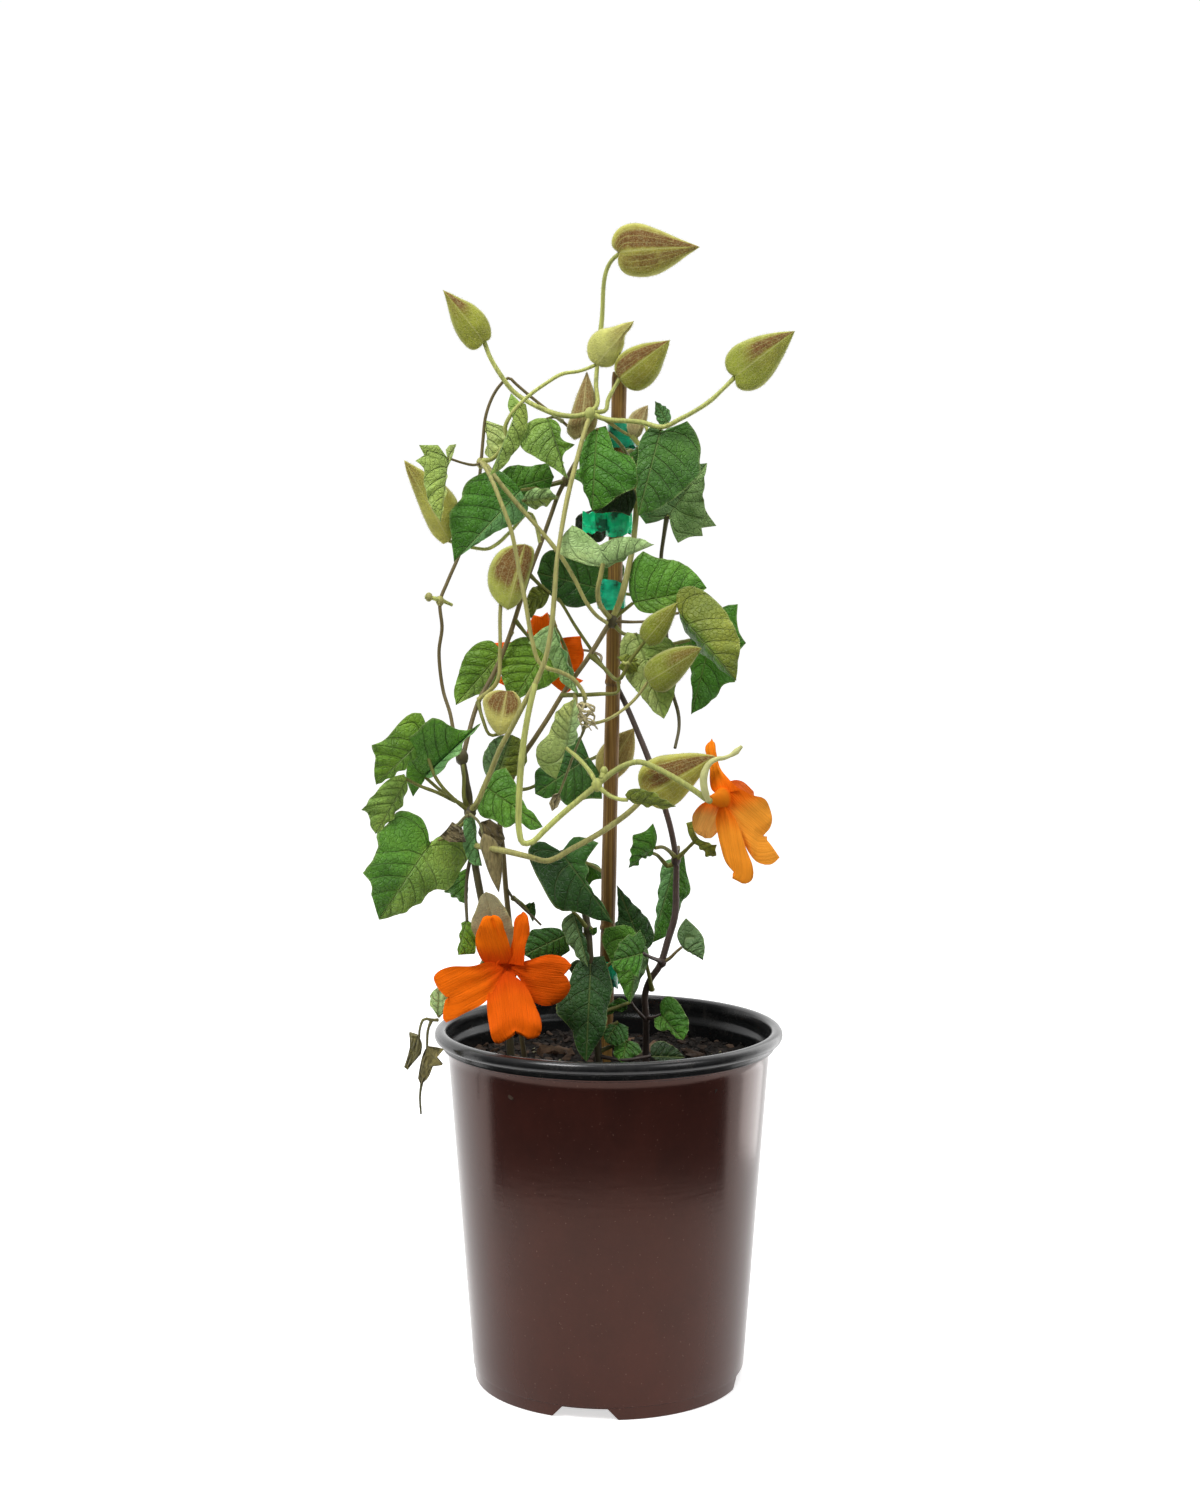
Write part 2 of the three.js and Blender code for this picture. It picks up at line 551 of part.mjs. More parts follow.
const STAKE_VINE = {
  stems: [
    stem(1.7, [529, 1085, 4], [522, 1040, 2], [514, 985, 0], [510, 930, -2], [506, 890, -4],
      [503, 850, -5], [500, 822, -5], [508, 790, -4], [519, 762, -3], [533, 741, -3],
      [548, 718, -3], [562, 695, -4], [573, 679, -5], [590, 655, -6], [606, 629, -5],
      [612, 620, -4]),
    stem(1.3, [612, 620, -4], [621, 598, -8], [628, 570, -6], [633, 545, -4], [636, 515, -2],
      [637, 492, 0], [634, 470, 2], [630, 458, 4]),
    stem(0.9, [506, 888, -4], [513, 898, -5], [521, 906, -6], [533, 917, -7], [541, 925, -9]),
    stem(0.8, [612, 620, -5], [604, 611, -10], [599, 602, -16], [598, 588, -22],
      [601, 574, -24.5], [603, 563, -25.5]),
    stem(0.8, [612, 620, -5], [622, 612, -5], [633, 603, -6]),
    stem(0.9, [612, 621, -5], [635, 622, -10], [655, 620, -14], [668, 615, -16], [679, 613, -16.5]),
    stem(0.8, [614, 624, -4], [622, 633, -8], [630, 635, -9], [637, 634, -10.5]),
    stem(0.8, [636, 500, -1], [650, 497, 6], [664, 508, 8], [668, 517, 7]),
    stem(0.9, [667, 516, 7], [664, 535, 8], [661, 560, 9], [663, 600, 10], [668, 650, 8],
      [672, 690, 2], [678, 712, -4], [679, 728, -12], [675, 748, -20]),
    stem(0.8, [636, 480, 1], [644, 455, -6], [652, 437, -13], [661, 429, -16.5]),
    stem(0.8, [631, 462, 4], [620, 444, -7], [608, 433, -10], [596, 429, -10.3]),
    stem(0.8, [663, 600, 10], [685, 608, 10], [716, 622, 5]),
    stem(0.9, [590, 655, -6], [604, 668, -8], [618, 680, -12], [630, 661, -16], [646, 640, -20]),
    stem(0.9, [562, 695, -4], [580, 695, -10], [600, 694, -12], [618, 692, -13], [618, 680, -12]),
    stem(0.9, [575, 694, -8], [578, 715, -18], [592, 723, -22], [606, 720, -22], [620, 712, -21],
      [635, 699, -20], [649, 680, -20]),
    stem(0.8, [508, 790, -4], [530, 788, 2], [560, 770, 5], [588, 758, 4]),
    stem(0.8, [573, 679, -5], [566, 650, -12], [558, 632, -17], [553, 624, -18.5]),
    stem(0.8, [663, 600, 10], [640, 596, 16], [613, 592, 17]),
    stem(0.8, [636, 500, -1], [640, 494, 8], [637, 488, 13], [632, 488, 14]),
    stem(0.8, [637, 470, 2], [650, 440, -2], [662, 428, 0], [668, 424, 1.5]),
    stem(0.7, [630, 662, -16], [625, 664, -15], [622, 662, -15]),
    stem(0.8, [513, 898, -5], [522, 904, 1], [529, 912, 3.5]),
  ],
  knots: [[612, 621, -5, 3.0]],
  leaves: {
    frontOfStake: {
      base: [597, 428, -10], tip: [592, 511, -16], rise: [3, -3], arch: -3,
      a: [[590, 433], [582, 446], [579, 463], [581, 481], [587, 497]],
      b: [[606, 426], [611, 440], [616, 452], [630, 456], [638, 470], [637, 485], [618, 496],
        [602, 508]],
    },
    brightRight: {
      base: [661, 429, -16.5], tip: [638, 516, -24], rise: [3, 3], arch: -3,
      a: [[650, 427], [642, 437], [638, 452], [637, 476], [637, 500]],
      b: [[668, 432], [687, 421], [696, 433], [701, 448], [700, 462], [701, 473], [689, 486],
        [668, 503], [655, 510]],
    },
    grayBehind: {
      base: [668, 517, 7], tip: [707, 463, 1], rise: [3, -6],
      a: [[656, 522], [646, 524], [640, 516], [648, 504], [668, 484], [690, 466]],
      b: [[671, 522], [673, 533], [678, 543], [690, 537], [703, 536], [702, 528], [717, 526],
        [705, 508], [704, 488]],
    },
    darkBehindStake: {
      base: [632, 488, 14], tip: [584, 541, 17], rise: [2, 2],
      a: [[612, 491], [595, 508], [577, 517], [576, 530]],
      b: [[632, 502], [630, 514], [612, 530], [599, 542]],
    },
    paleAcross: {
      base: [602, 567, -24.5], tip: [654, 545, -38], rise: [0, 2],
      a: [[590, 563], [572, 560], [560, 554], [562, 537], [572, 525], [582, 530], [600, 545],
        [616, 538], [638, 538]],
      b: [[608, 567], [620, 561], [632, 552], [642, 548]],
    },
    brightUnder: {
      base: [633, 603, -6], tip: [707, 588, -11], rise: [4, -2], arch: -3,
      a: [[629, 590], [630, 572], [634, 560], [643, 551], [658, 558], [673, 560], [690, 568],
        [700, 579]],
      b: [[640, 611], [655, 613], [672, 606], [690, 600]],
    },
    lightRight: {
      base: [679, 613, -16.5], tip: [736, 681, -28], rise: [3, 16], arch: -4,
      a: [[676, 601], [679, 590], [690, 586], [703, 591], [715, 600], [726, 612], [734, 627],
        [740, 642], [738, 662]],
      b: [[683, 625], [694, 641], [709, 658], [724, 671]],
    },
    darkRight: {
      base: [716, 622, 5], tip: [691, 714, -3], rise: [4, -3], arch: 3,
      a: [[701, 624], [692, 640], [690, 665], [692, 690]],
      b: [[723, 607], [738, 604], [737, 620], [740, 634], [746, 643], [739, 652], [738, 668],
        [735, 682], [724, 685], [716, 697], [704, 707]],
    },
    paleUnder: {
      base: [637, 634, -10.5], tip: [664, 719, -15], rise: [2, 2],
      a: [[627, 632], [621, 642], [621, 660], [629, 682], [642, 697], [653, 711]],
      b: [[650, 634], [671, 640], [678, 660], [676, 685], [671, 705]],
    },
    folded: {
      base: [553, 624, -18.5], tip: [579, 695, -21], rise: [4, -4],
      a: [[545, 627], [536, 634], [528, 643], [541, 651], [553, 664], [562, 682]],
      b: [[557, 634], [564, 650], [571, 668], [575, 684]],
    },
    darkLow: {
      base: [589, 757, 4], tip: [535, 794, -1], rise: [3, 2], arch: -3,
      a: [[580, 736], [564, 748], [545, 763], [536, 772]],
      b: [[600, 775], [602, 799], [587, 799], [569, 806], [556, 797], [545, 798]],
    },
    darkUpper: {
      base: [615, 592, 17], tip: [537, 573, 12], rise: [0, 2],
      a: [[622, 580], [624, 566], [608, 553], [585, 548], [560, 549], [545, 553]],
      b: [[606, 598], [590, 604], [575, 608], [556, 600], [545, 590]],
    },
    tinyTop: {
      base: [668, 424, 1.5], tip: [655, 401, 0], rise: [1, 1],
      a: [[660, 425], [656, 418]], b: [[671, 418], [668, 409]],
    },
    tinyCurl: {
      base: [622, 662, -15], tip: [640, 662, -12], rise: [1, 1],
      a: [[617, 657], [626, 654], [635, 657]], b: [[618, 668], [629, 674], [638, 671]],
    },
    smallDark: {
      base: [528, 912, 4], tip: [534, 902, 1], rise: [1, 1],
      a: [[521, 906], [526, 904]], b: [[533, 922], [536, 912]],
    },
  },
};

const RIGHT_VINE = {
  stems: [
    stem(1.6, [646, 1090, 8], [646, 1050, 8], [646, 1018, 4], [645, 995, 0], [650, 980, -2],
      [660, 965, -3], [668, 940, -3], [675, 915, -2], [676, 885, 0], [676, 860, 0],
      [671, 830, -2], [664, 805, -3], [656, 780, -2], [649, 760, 0], [636, 728, 4],
      [626, 705, 8], [617, 687, 12], [604, 668, 13], [588, 645, 12], [572, 624, 10],
      [560, 608, 8]),
    stem(0.8, [646, 1018, 4], [652, 1018, 1], [661, 1015, -1]),
    stem(0.8, [646, 1020, 4], [640, 1014, -3], [634, 1007, -9], [631, 1002, -12.5]),
    stem(0.9, [663, 962, -3], [670, 958, -4], [676, 952, -5], [682, 947, -5]),
    stem(0.9, [662, 962, -3], [655, 959, -10], [650, 957, -17], [643, 953, -22]),
    stem(0.9, [676, 858, 0], [668, 850, -6], [662, 847, -10], [655, 848, -13]),
    stem(0.9, [676, 860, 0], [682, 854, -3], [688, 848, -8], [693, 843, -10]),
    stem(0.9, [676, 862, 0], [668, 866, 2], [662, 860, 0], [657, 855, -4], [652, 853, -9]),
    stem(0.8, [676, 850, 0], [679, 847, 4], [677, 858, 7]),
    stem(0.9, [652, 990, -2], [649, 975, -6], [644, 955, -8], [640, 938, -9]),
    stem(0.9, [600, 664, 13], [600, 655, 30], [582, 650, 44], [560, 651, 48], [545, 652, 46],
      [541, 652, 42]),
  ],
  knots: [[676, 860, 0, 2.6], [662, 962, -3, 2.4], [646, 1018, 4, 2.2]],
  leaves: {
    lowRight: {
      base: [661, 1015, -1], tip: [683, 1040, -8], rise: [2, -2],
      a: [[660, 1005], [665, 997], [672, 997], [684, 1011], [689, 1024], [687, 1034]],
      b: [[654, 1019], [655, 1027], [660, 1031], [668, 1030], [675, 1037]],
    },
    outerRight: {
      base: [682, 947, -5], tip: [703, 960, -9], rise: [4, 0],
      a: [[677, 936], [680, 926], [686, 918], [700, 932], [705, 945]], b: [[686, 951], [694, 955]],
    },
    inner: {
      base: [643, 953, -22], tip: [613, 961, -28], rise: [3, -3],
      a: [[646, 942], [640, 930], [633, 936], [629, 934], [619, 944]],
      b: [[642, 966], [638, 978], [628, 971], [619, 971]],
    },
    grayOuter: {
      base: [640, 940, -9], tip: [630, 1004, -13], rise: [3, 0],
      a: [[630, 926], [605, 928], [602, 940], [609, 958], [617, 976], [624, 993]],
      b: [[648, 950], [648, 964], [641, 979], [636, 992]],
    },
    toothed: {
      base: [655, 848, -13], tip: [629, 868, -18], rise: [-2, 2],
      a: [[657, 836], [653, 823], [645, 831], [633, 835], [631, 850]],
      b: [[650, 857], [642, 858], [638, 864]],
    },
    threeLobed: {
      base: [693, 843, -10], tip: [716, 856, -14], rise: [-3, 2],
      a: [[690, 833], [686, 823], [693, 821], [697, 836], [706, 842], [716, 845]],
      b: [[702, 850], [708, 856]],
    },
    behindStem: {
      base: [677, 858, 7], tip: [652, 943, 3], rise: [3, 3], arch: 3,
      a: [[664, 862], [660, 880], [657, 905], [655, 925]],
      b: [[684, 854], [686, 870], [690, 891], [681, 904], [676, 922], [667, 935]],
    },
  },
};

const YOUNG_SHOOT = {
  stems: [
    stem(1.3, [472, 809, -22], [478, 801, -26], [484, 787, -29], [491, 771, -31], [500, 749, -34],
      [512, 727, -36], [525, 702, -37], [535, 684, -37], [545, 660, -36], [551, 630, -35],
      [554, 600, -33], [557, 560, -30], [562, 527, -26], [568, 495, -23], [575, 467, -20],
      [583, 437, -16], [590, 415, -12]),
    stem(1.35, [535, 684, -37], [528, 715, -40], [522, 755, -42], [519, 800, -44],
      [519, 830, -45], [523, 843, -46], [532, 842, -46], [545, 830, -46], [560, 816, -46],
      [580, 799, -45], [597, 785, -44], [613, 772, -44], [628, 764, -45], [640, 762, -46],
      [656, 768, -47], [680, 781, -48], [698, 793, -49], [706, 799, -48], [710, 801, -46]),
    stem(1.0, [597, 785, -44], [590, 772, -40], [578, 758, -35], [566, 748, -32]),
    stem(0.9, [597, 785, -44], [607, 794, -46], [618, 799, -48], [628, 800, -49]),
    stem(1.1, [590, 413, -12], [575, 416, -12], [560, 415, -11], [545, 410, -9], [525, 400, -6],
      [512, 390, -5], [500, 374, -5], [490, 357, -5], [484, 341, -5]),
    stem(1.1, [590, 413, -12], [605, 419, -13], [640, 422, -17], [663, 427, -21], [680, 419, -21],
      [695, 411, -20], [710, 401, -18], [724, 388, -15], [736, 376, -12]),
    stem(1.0, [590, 413, -12], [599, 412, -11], [606, 410, -9], [608, 400, -8], [613, 390, -7],
      [620, 378, -6]),
    stem(1.05, [590, 413, -12], [597, 405, -10], [596, 385, -2], [597, 368, 5], [599, 345, 6],
      [602, 318, 5],
      [604, 282, 3], [607, 269, 2], [612, 260, 1], [620, 253, 0]),
    stem(0.9, [592, 416, -12], [587, 426, -9], [581, 435, -5]),
    stem(0.8, [605, 419, -13], [620, 430, -11], [635, 438, -8.2]),
    stem(0.9, [602, 778, -44], [604, 770, -43]),
    stem(0.9, [632, 436, -9], [642, 446, -10], [648, 436, -13], [646, 426, -12]),
  ],
  knots: [[590, 414, -12, 2.8], [597, 785, -44, 2.8], [604, 771, -43, 1.9]],
  leaves: {
    paleFold: {
      base: [566, 748, -32], tip: [575, 698, -35], rise: [-4, 3],
      a: [[560, 760], [556, 779], [546, 773], [537, 762], [537, 746], [549, 734], [553, 721],
        [558, 710]],
      b: [[575, 744], [578, 728], [578, 712]],
    },
    oliveFold: {
      base: [628, 800, -49], tip: [676, 807, -50], rise: [-2, 2],
      a: [[625, 795], [629, 790], [640, 789], [652, 792], [665, 800]],
      b: [[640, 805], [655, 806], [667, 808]],
    },
  },
};

const LOW_TUFT = {
  stems: [
    stem(1.7, [600, 1090, -16], [598, 1050, -16], [594, 1000, -16], [590, 955, -14],
      [588, 930, -12], [582, 900, -8], [570, 870, -12], [561, 852, -17]),
    stem(0.9, [588, 930, -12], [580, 919, -14], [573, 912, -17]),
    stem(0.8, [588, 935, -12], [576, 934, -10], [566, 935, -10]),
    stem(0.8, [597, 1035, -16], [608, 1027, -15], [618, 1022, -14]),
    stem(0.8, [598, 1052, -16], [612, 1046, -15], [627, 1040, -14]),
    stem(0.8, [598, 1056, -16], [622, 1060, -19], [640, 1058, -20], [651, 1056, -20.5]),
    stem(0.8, [592, 980, -15], [600, 972, -7], [612, 962, -3.5], [626, 952, -2.5], [645, 951, -3]),
    stem(0.7, [588, 932, -12], [592, 928, -14]),
    stem(0.8, [596, 1014, -16], [608, 1010, -12], [629, 1003, -8]),
  ],
  knots: [[588, 930, -12, 2.6]],
  leaves: {
    big: {
      base: [561, 852, -17.5], tip: [613, 923, -27], rise: [4, -3], arch: -4,
      a: [[554, 850], [545, 842], [534, 843], [528, 851], [533, 869], [541, 884], [553, 904],
        [561, 911], [573, 911], [592, 918]],
      b: [[566, 846], [574, 837], [586, 838], [599, 843], [589, 856], [585, 863], [589, 870],
        [586, 880], [593, 891], [603, 904]],
    },
    lowest: {
      base: [591, 957, -14], tip: [586, 1062, -30], rise: [4, 3], arch: -5,
      a: [[578, 963], [568, 985], [556, 1008], [571, 1030], [578, 1050]],
      b: [[604, 956], [609, 972], [612, 988], [608, 1010], [603, 1035], [594, 1049]],
    },
    darkLeft: {
      base: [566, 935, -10], tip: [524, 955, -14], rise: [3, 3],
      a: [[560, 929], [546, 928], [530, 932]], b: [[570, 950], [556, 960], [538, 962]],
    },
    upright: {
      base: [573, 912, -17], tip: [588, 967, -23], rise: [3, 1],
      a: [[563, 920], [563, 932], [571, 947], [580, 960]], b: [[581, 925], [586, 942], [589, 956]],
    },
    behindStake: {
      base: [644, 952, -3], tip: [617, 885, -6], rise: [0, 3],
      a: [[630, 950], [619, 938], [618, 915]], b: [[652, 944], [653, 930], [646, 917], [632, 902]],
    },
    foot: {
      base: [618, 1022, -14], tip: [606, 1042, -20], rise: [1, 1],
      a: [[610, 1024], [603, 1033]], b: [[628, 1027], [628, 1040], [616, 1046]],
    },
    footRight: {
      base: [627, 1040, -14], tip: [622, 1063, -20], rise: [1, 2],
      a: [[616, 1044], [614, 1055]], b: [[638, 1044], [642, 1052], [633, 1058]],
    },
    onMix: {
      base: [651, 1056, -20.5], tip: [685, 1057, -23], rise: [3, -1],
      a: [[651, 1046], [660, 1041], [673, 1046]], b: [[660, 1062], [674, 1062]],
    },
    small: {
      base: [592, 928, -14], tip: [593, 936, -15], rise: [0, 0],
      a: [[589, 927], [590, 932]], b: [[597, 927], [597, 932]],
    },
    hook: {
      base: [628, 1002, -8], tip: [606, 1016, -6], rise: [1, 1],
      a: [[620, 998], [608, 1006]], b: [[627, 1010], [616, 1012]],
    },
  },
};

// The far side, which the front view hides: an old stem up the back of the stake.
const BACK_VINE = {
  stems: [
    stem(1.6, [606, 1080, 22], [608, 1000, 18], [610, 900, 16], [611, 800, 17], [613, 700, 17],
      [614, 600, 22], [616, 500, 22], [618, 440, 20]),
    stem(0.9, [617, 460, 21], [628, 452, 28], [640, 445, 34]),
    stem(0.9, [617, 480, 21], [606, 476, 30], [590, 470, 34]),
    stem(0.9, [614, 610, 22], [600, 600, 32], [580, 592, 38]),
    stem(0.9, [613, 660, 19], [640, 652, 27], [690, 640, 30]),
    stem(0.9, [612, 750, 17], [598, 756, 26], [585, 762, 32]),
    stem(0.9, [610, 880, 16], [600, 870, 26], [585, 862, 30]),
    stem(0.9, [609, 940, 17], [618, 930, 26], [630, 925, 32]),
    stem(0.9, [608, 990, 18], [598, 975, 28], [590, 968, 34]),
  ],
  knots: [],
  leaves: {
    one: arrowLeaf([640, 445, 34], [668, 492, 44], 24),
    two: arrowLeaf([590, 470, 34], [612, 505, 46], 18),
    three: arrowLeaf([580, 592, 38], [560, 560, 48], 18),
    four: arrowLeaf([690, 640, 30], [716, 672, 44], 22),
    five: arrowLeaf([585, 762, 32], [556, 780, 46], 20),
    six: arrowLeaf([585, 862, 30], [556, 890, 46], 24),
    seven: arrowLeaf([630, 925, 32], [636, 960, 44], 18),
    eight: arrowLeaf([590, 968, 34], [590, 1015, 46], 22),
  },
};

const LEAFY = {
  vine_left_lower: LEFT_LOWER,
  vine_left_outer: LEFT_OUTER,
  vine_middle: MIDDLE,
  vine_stake: STAKE_VINE,
  vine_right: RIGHT_VINE,
  low_tuft: LOW_TUFT,
  vine_back: BACK_VINE,
};

function leafyStem({ stems, knots, leaves }) {
  return fuse([
    ...stems.map((s) => rodOf(s)),
    ...knots.map((k) => knot(k)),
    ...Object.values(leaves).map((leaf) => blade(leaf, LEAF)),
  ]);
}

// Buds: a closed pair of heart-shaped bracts on the end of a pedicel, which is named by its
// leafy stem and its number in that stem's list.
const BUDS = {
  bud_top: {
    base: [619, 253, 0], tip: [700, 247, -2], on: 'young_shoot', plump: 5,
    a: [[612, 246], [613, 236], [622, 226], [637, 223], [657, 229], [680, 239]],
    b: [[618, 263], [624, 273], [638, 277], [656, 275], [673, 266], [688, 255]],
  },
  bud_upper_left: {
    base: [484, 342, -5], tip: [443, 290, -8], on: 'young_shoot', plump: 4.5,
    a: [[490, 339], [491, 330], [486, 317], [474, 305], [460, 298], [452, 294]],
    b: [[479, 348], [472, 350], [462, 342], [453, 326], [449, 312], [446, 300]],
  },
  bud_left_of_stake: {
    base: [597, 365, -3], tip: [635, 321, -6], on: 'vine_left_outer', plump: 4.5,
    a: [[590, 361], [586, 350], [589, 339], [599, 330], [612, 327], [624, 324]],
    b: [[602, 368], [611, 367], [620, 358], [626, 345], [630, 335], [633, 328]],
  },
  bud_over_stake: {
    base: [620, 379, -6], tip: [670, 340, -10], on: 'young_shoot', plump: 5,
    a: [[615, 372], [616, 360], [626, 350], [641, 344], [653, 342], [663, 341]],
    b: [[626, 387], [637, 391], [649, 386], [659, 374], [664, 361], [668, 349]],
  },
  bud_beside_stake: {
    base: [581, 437, -5], tip: [587, 371, -2], on: 'young_shoot', plump: 4,
    a: [[574, 440], [567, 432], [570, 417], [575, 400], [580, 387], [584, 378]],
    b: [[587, 441], [594, 432], [598, 415], [596, 398], [592, 385], [589, 377]],
  },
  bud_right_of_stake: {
    base: [635, 439, -8], tip: [648, 405, -8], on: 'young_shoot', plump: 2.5,
    a: [[629, 434], [627, 424], [631, 414], [640, 408]],
    b: [[640, 436], [644, 428], [647, 420], [648, 412]],
  },
  bud_right: {
    base: [735, 377, -12], tip: [795, 331, -16], on: 'young_shoot', plump: 5,
    a: [[728, 372], [725, 360], [732, 348], [746, 340], [762, 335], [780, 332]],
    b: [[737, 387], [746, 391], [759, 388], [771, 377], [781, 361], [789, 345]],
  },
  bud_outer_left: {
    base: [450, 541, -8], tip: [404, 460, -14], on: 'vine_middle', plump: 4.5,
    a: [[443, 544], [433, 535], [424, 518], [416, 498], [410, 482], [406, 470]],
    b: [[453, 535], [457, 520], [458, 503], [448, 488], [430, 475], [415, 466]],
  },
  bud_hairy: {
    base: [501, 598, -9], tip: [533, 544, -9], on: 'vine_middle', plump: 5,
    a: [[493, 592], [488, 579], [490, 567], [499, 559], [511, 549], [523, 545]],
    b: [[503, 606], [510, 610], [518, 603], [525, 588], [529, 571], [532, 556]],
  },
  bud_right_upper: {
    base: [645, 641, -20], tip: [678, 602, -24], on: 'vine_stake', plump: 4.5,
    a: [[640, 636], [641, 626], [648, 617], [658, 611], [666, 607], [673, 604]],
    b: [[650, 646], [660, 643], [668, 632], [673, 620], [676, 612], [677, 606]],
  },
  bud_right_lower: {
    base: [648, 681, -20], tip: [702, 648, -25], on: 'vine_stake', plump: 5,
    a: [[644, 675], [646, 664], [656, 655], [672, 648], [684, 646], [694, 646]],
    b: [[653, 689], [664, 692], [676, 684], [687, 671], [694, 661], [699, 653]],
  },
  bud_brown: {
    base: [499, 735, -13], tip: [508, 690, -12], on: 'vine_middle', plump: 4.5,
    a: [[491, 729], [485, 714], [484, 701], [489, 693], [494, 690], [501, 689]],
    b: [[511, 732], [520, 721], [521, 707], [518, 698], [515, 694], [511, 690]],
  },
  bud_long: {
    base: [646, 796, -37], tip: [715, 756, -39], on: 'vine_left_lower', plump: 5,
    a: [[641, 790], [638, 776], [643, 765], [656, 757], [674, 754], [697, 753]],
    b: [[653, 806], [665, 809], [678, 803], [690, 790], [700, 777], [708, 765]],
  },
  bud_behind_stake: {
    base: [602, 778, 14], tip: [634, 728, 14], on: 'vine_back', plump: 3.5,
    a: [[597, 772], [596, 758], [602, 746], [616, 735]],
    b: [[611, 781], [622, 775], [632, 762], [635, 745]],
  },
};

// Flowers: five notched lobes round a short tube, which runs from its root to its throat.
const FLOWERS = {
  flower_front: {
    throat: [508, 968, -42], root: [500, 958, -24], radius: 7.5, finish: 'orange',
    on: 'vine_left_lower',
    lobes: [
      {
        tip: [492, 918, -50], rise: [-2, 0],
        a: [[484, 962], [479, 955], [476, 944], [484, 920]],
        b: [[512, 956], [511, 950], [505, 932], [500, 919]],
      },
      {
        tip: [521, 912, -44], rise: [2, -3],
        a: [[509, 959], [512, 942], [515, 917]], b: [[524, 966], [525, 950], [527, 918]],
      },
      {
        tip: [563, 976, -46], rise: [-1, 3],
        a: [[522, 962], [533, 959], [550, 955], [563, 959], [571, 966]],
        b: [[526, 988], [534, 1002], [548, 1006], [561, 1002], [570, 988]],
      },
      {
        tip: [518, 1032, -53], rise: [-2, 1],
        a: [[492, 982], [487, 1000], [489, 1022], [493, 1038], [500, 1043]],
        b: [[524, 984], [534, 1002], [541, 1020], [540, 1034], [531, 1039]],
      },
      {
        tip: [450, 998, -55], rise: [-2, 0],
        a: [[493, 962], [472, 966], [447, 968], [435, 978], [437, 987]],
        b: [[496, 986], [486, 1001], [462, 1015], [446, 1023], [443, 1019]],
      },
    ],
  },
  flower_right: {
    throat: [724, 798, -38], root: [710, 800, -44], radius: 6.5, finish: 'amber',
    on: 'young_shoot',
    lobes: [
      {
        tip: [712, 739, -28], rise: [3, -2],
        a: [[714, 788], [711, 770], [707, 752]], b: [[731, 784], [724, 768], [718, 750]],
      },
      {
        tip: [764, 836, -40], rise: [2, -4],
        a: [[732, 784], [752, 795], [765, 799], [772, 814], [771, 827]],
        b: [[732, 820], [742, 838], [757, 861], [772, 864], [781, 857], [773, 845]],
      },
      {
        tip: [734, 874, -50], rise: [2, -3],
        a: [[716, 818], [720, 846], [724, 862]],
        b: [[736, 820], [746, 850], [751, 867], [750, 881], [741, 884]],
      },
      {
        tip: [704, 839, -34], rise: [3, -2],
        a: [[705, 802], [695, 811], [691, 822], [696, 834]], b: [[722, 810], [719, 827], [711, 838]],
      },
      {
        tip: [752, 815, -14], rise: [3, 3],
        a: [[724, 786], [735, 780], [752, 790], [760, 803]],
        b: [[724, 808], [730, 822], [742, 830], [753, 826]],
      },
    ],
  },
  flower_middle: {
    throat: [540, 654, 22], root: [541, 652, 40], radius: 7, finish: 'orange',
    on: 'vine_right',
    lobes: [
      {
        tip: [489, 660, 18], rise: [0, 0],
        a: [[530, 643], [510, 642], [483, 644]], b: [[530, 664], [510, 674], [488, 674]],
      },
      {
        tip: [542, 618, 20], rise: [0, 0],
        a: [[531, 646], [527, 632], [533, 616]], b: [[549, 646], [552, 632], [548, 613]],
      },
      {
        tip: [583, 655, 18], rise: [0, 0],
        a: [[548, 643], [562, 638], [580, 636]], b: [[550, 663], [564, 672], [580, 672]],
      },
      {
        tip: [574, 686, 18], rise: [0, 0],
        a: [[553, 658], [566, 672], [583, 680]], b: [[540, 668], [552, 684], [566, 692]],
      },
      {
        tip: [508, 686, 18], rise: [0, 0],
        a: [[527, 658], [510, 670], [496, 680]], b: [[541, 669], [530, 680], [513, 690]],
      },
    ],
  },
};

// The tube of a corolla, open at its throat, or with more given, the full body round it.
function corollaTube({ throat, root, radius }, more = 0) {
  const [mouth, end] = [seen(throat), seen(root)];
  const length = mouth.distanceTo(end);
  const outside = [
    [0.42 * radius, 0], [0.9 * radius, 0.5 * length], [1.1 * radius, length + 0.3],
  ];
  const inside = [[0.95 * radius, length + 0.3], [0.7 * radius, 0.55 * length], [0, 2.5]];
  const profile = more
    ? [[0, -more], ...outside.map(([r, z]) => [r + more, z]), [0, length + 0.3]]
    : [[0, 0], ...outside, ...inside];
  const cup = upright(new THREE.LatheGeometry(profile.map((p) => new THREE.Vector2(...p)), 9));
  const axis = mouth.clone().sub(end).normalize();
  cup.applyQuaternion(new THREE.Quaternion().setFromUnitVectors(new THREE.Vector3(0, 0, 1), axis));
  return solidOf(cup.translate(end.x, end.y, end.z));
}

// A lobe starts in the rim of the throat, on the side that its tip points to.
function lobeBase({ throat, root, radius }, tip) {
  const [mouth, end] = [seen(throat), seen(root)];
  const axis = mouth.clone().sub(end).normalize();
  const out = seen([tip[0], tip[1], throat[2]]).sub(mouth);
  out.addScaledVector(axis, -out.dot(axis)).setLength(radius);
  return shown(mouth.add(out));
}

function corolla(flower) {
  const lobes = flower.lobes.map((lobe) => (
    blade({ ...lobe, base: lobeBase(flower, lobe.tip) }, PETAL)
  ));
  return fuse([corollaTube(flower), ...lobes]);
}

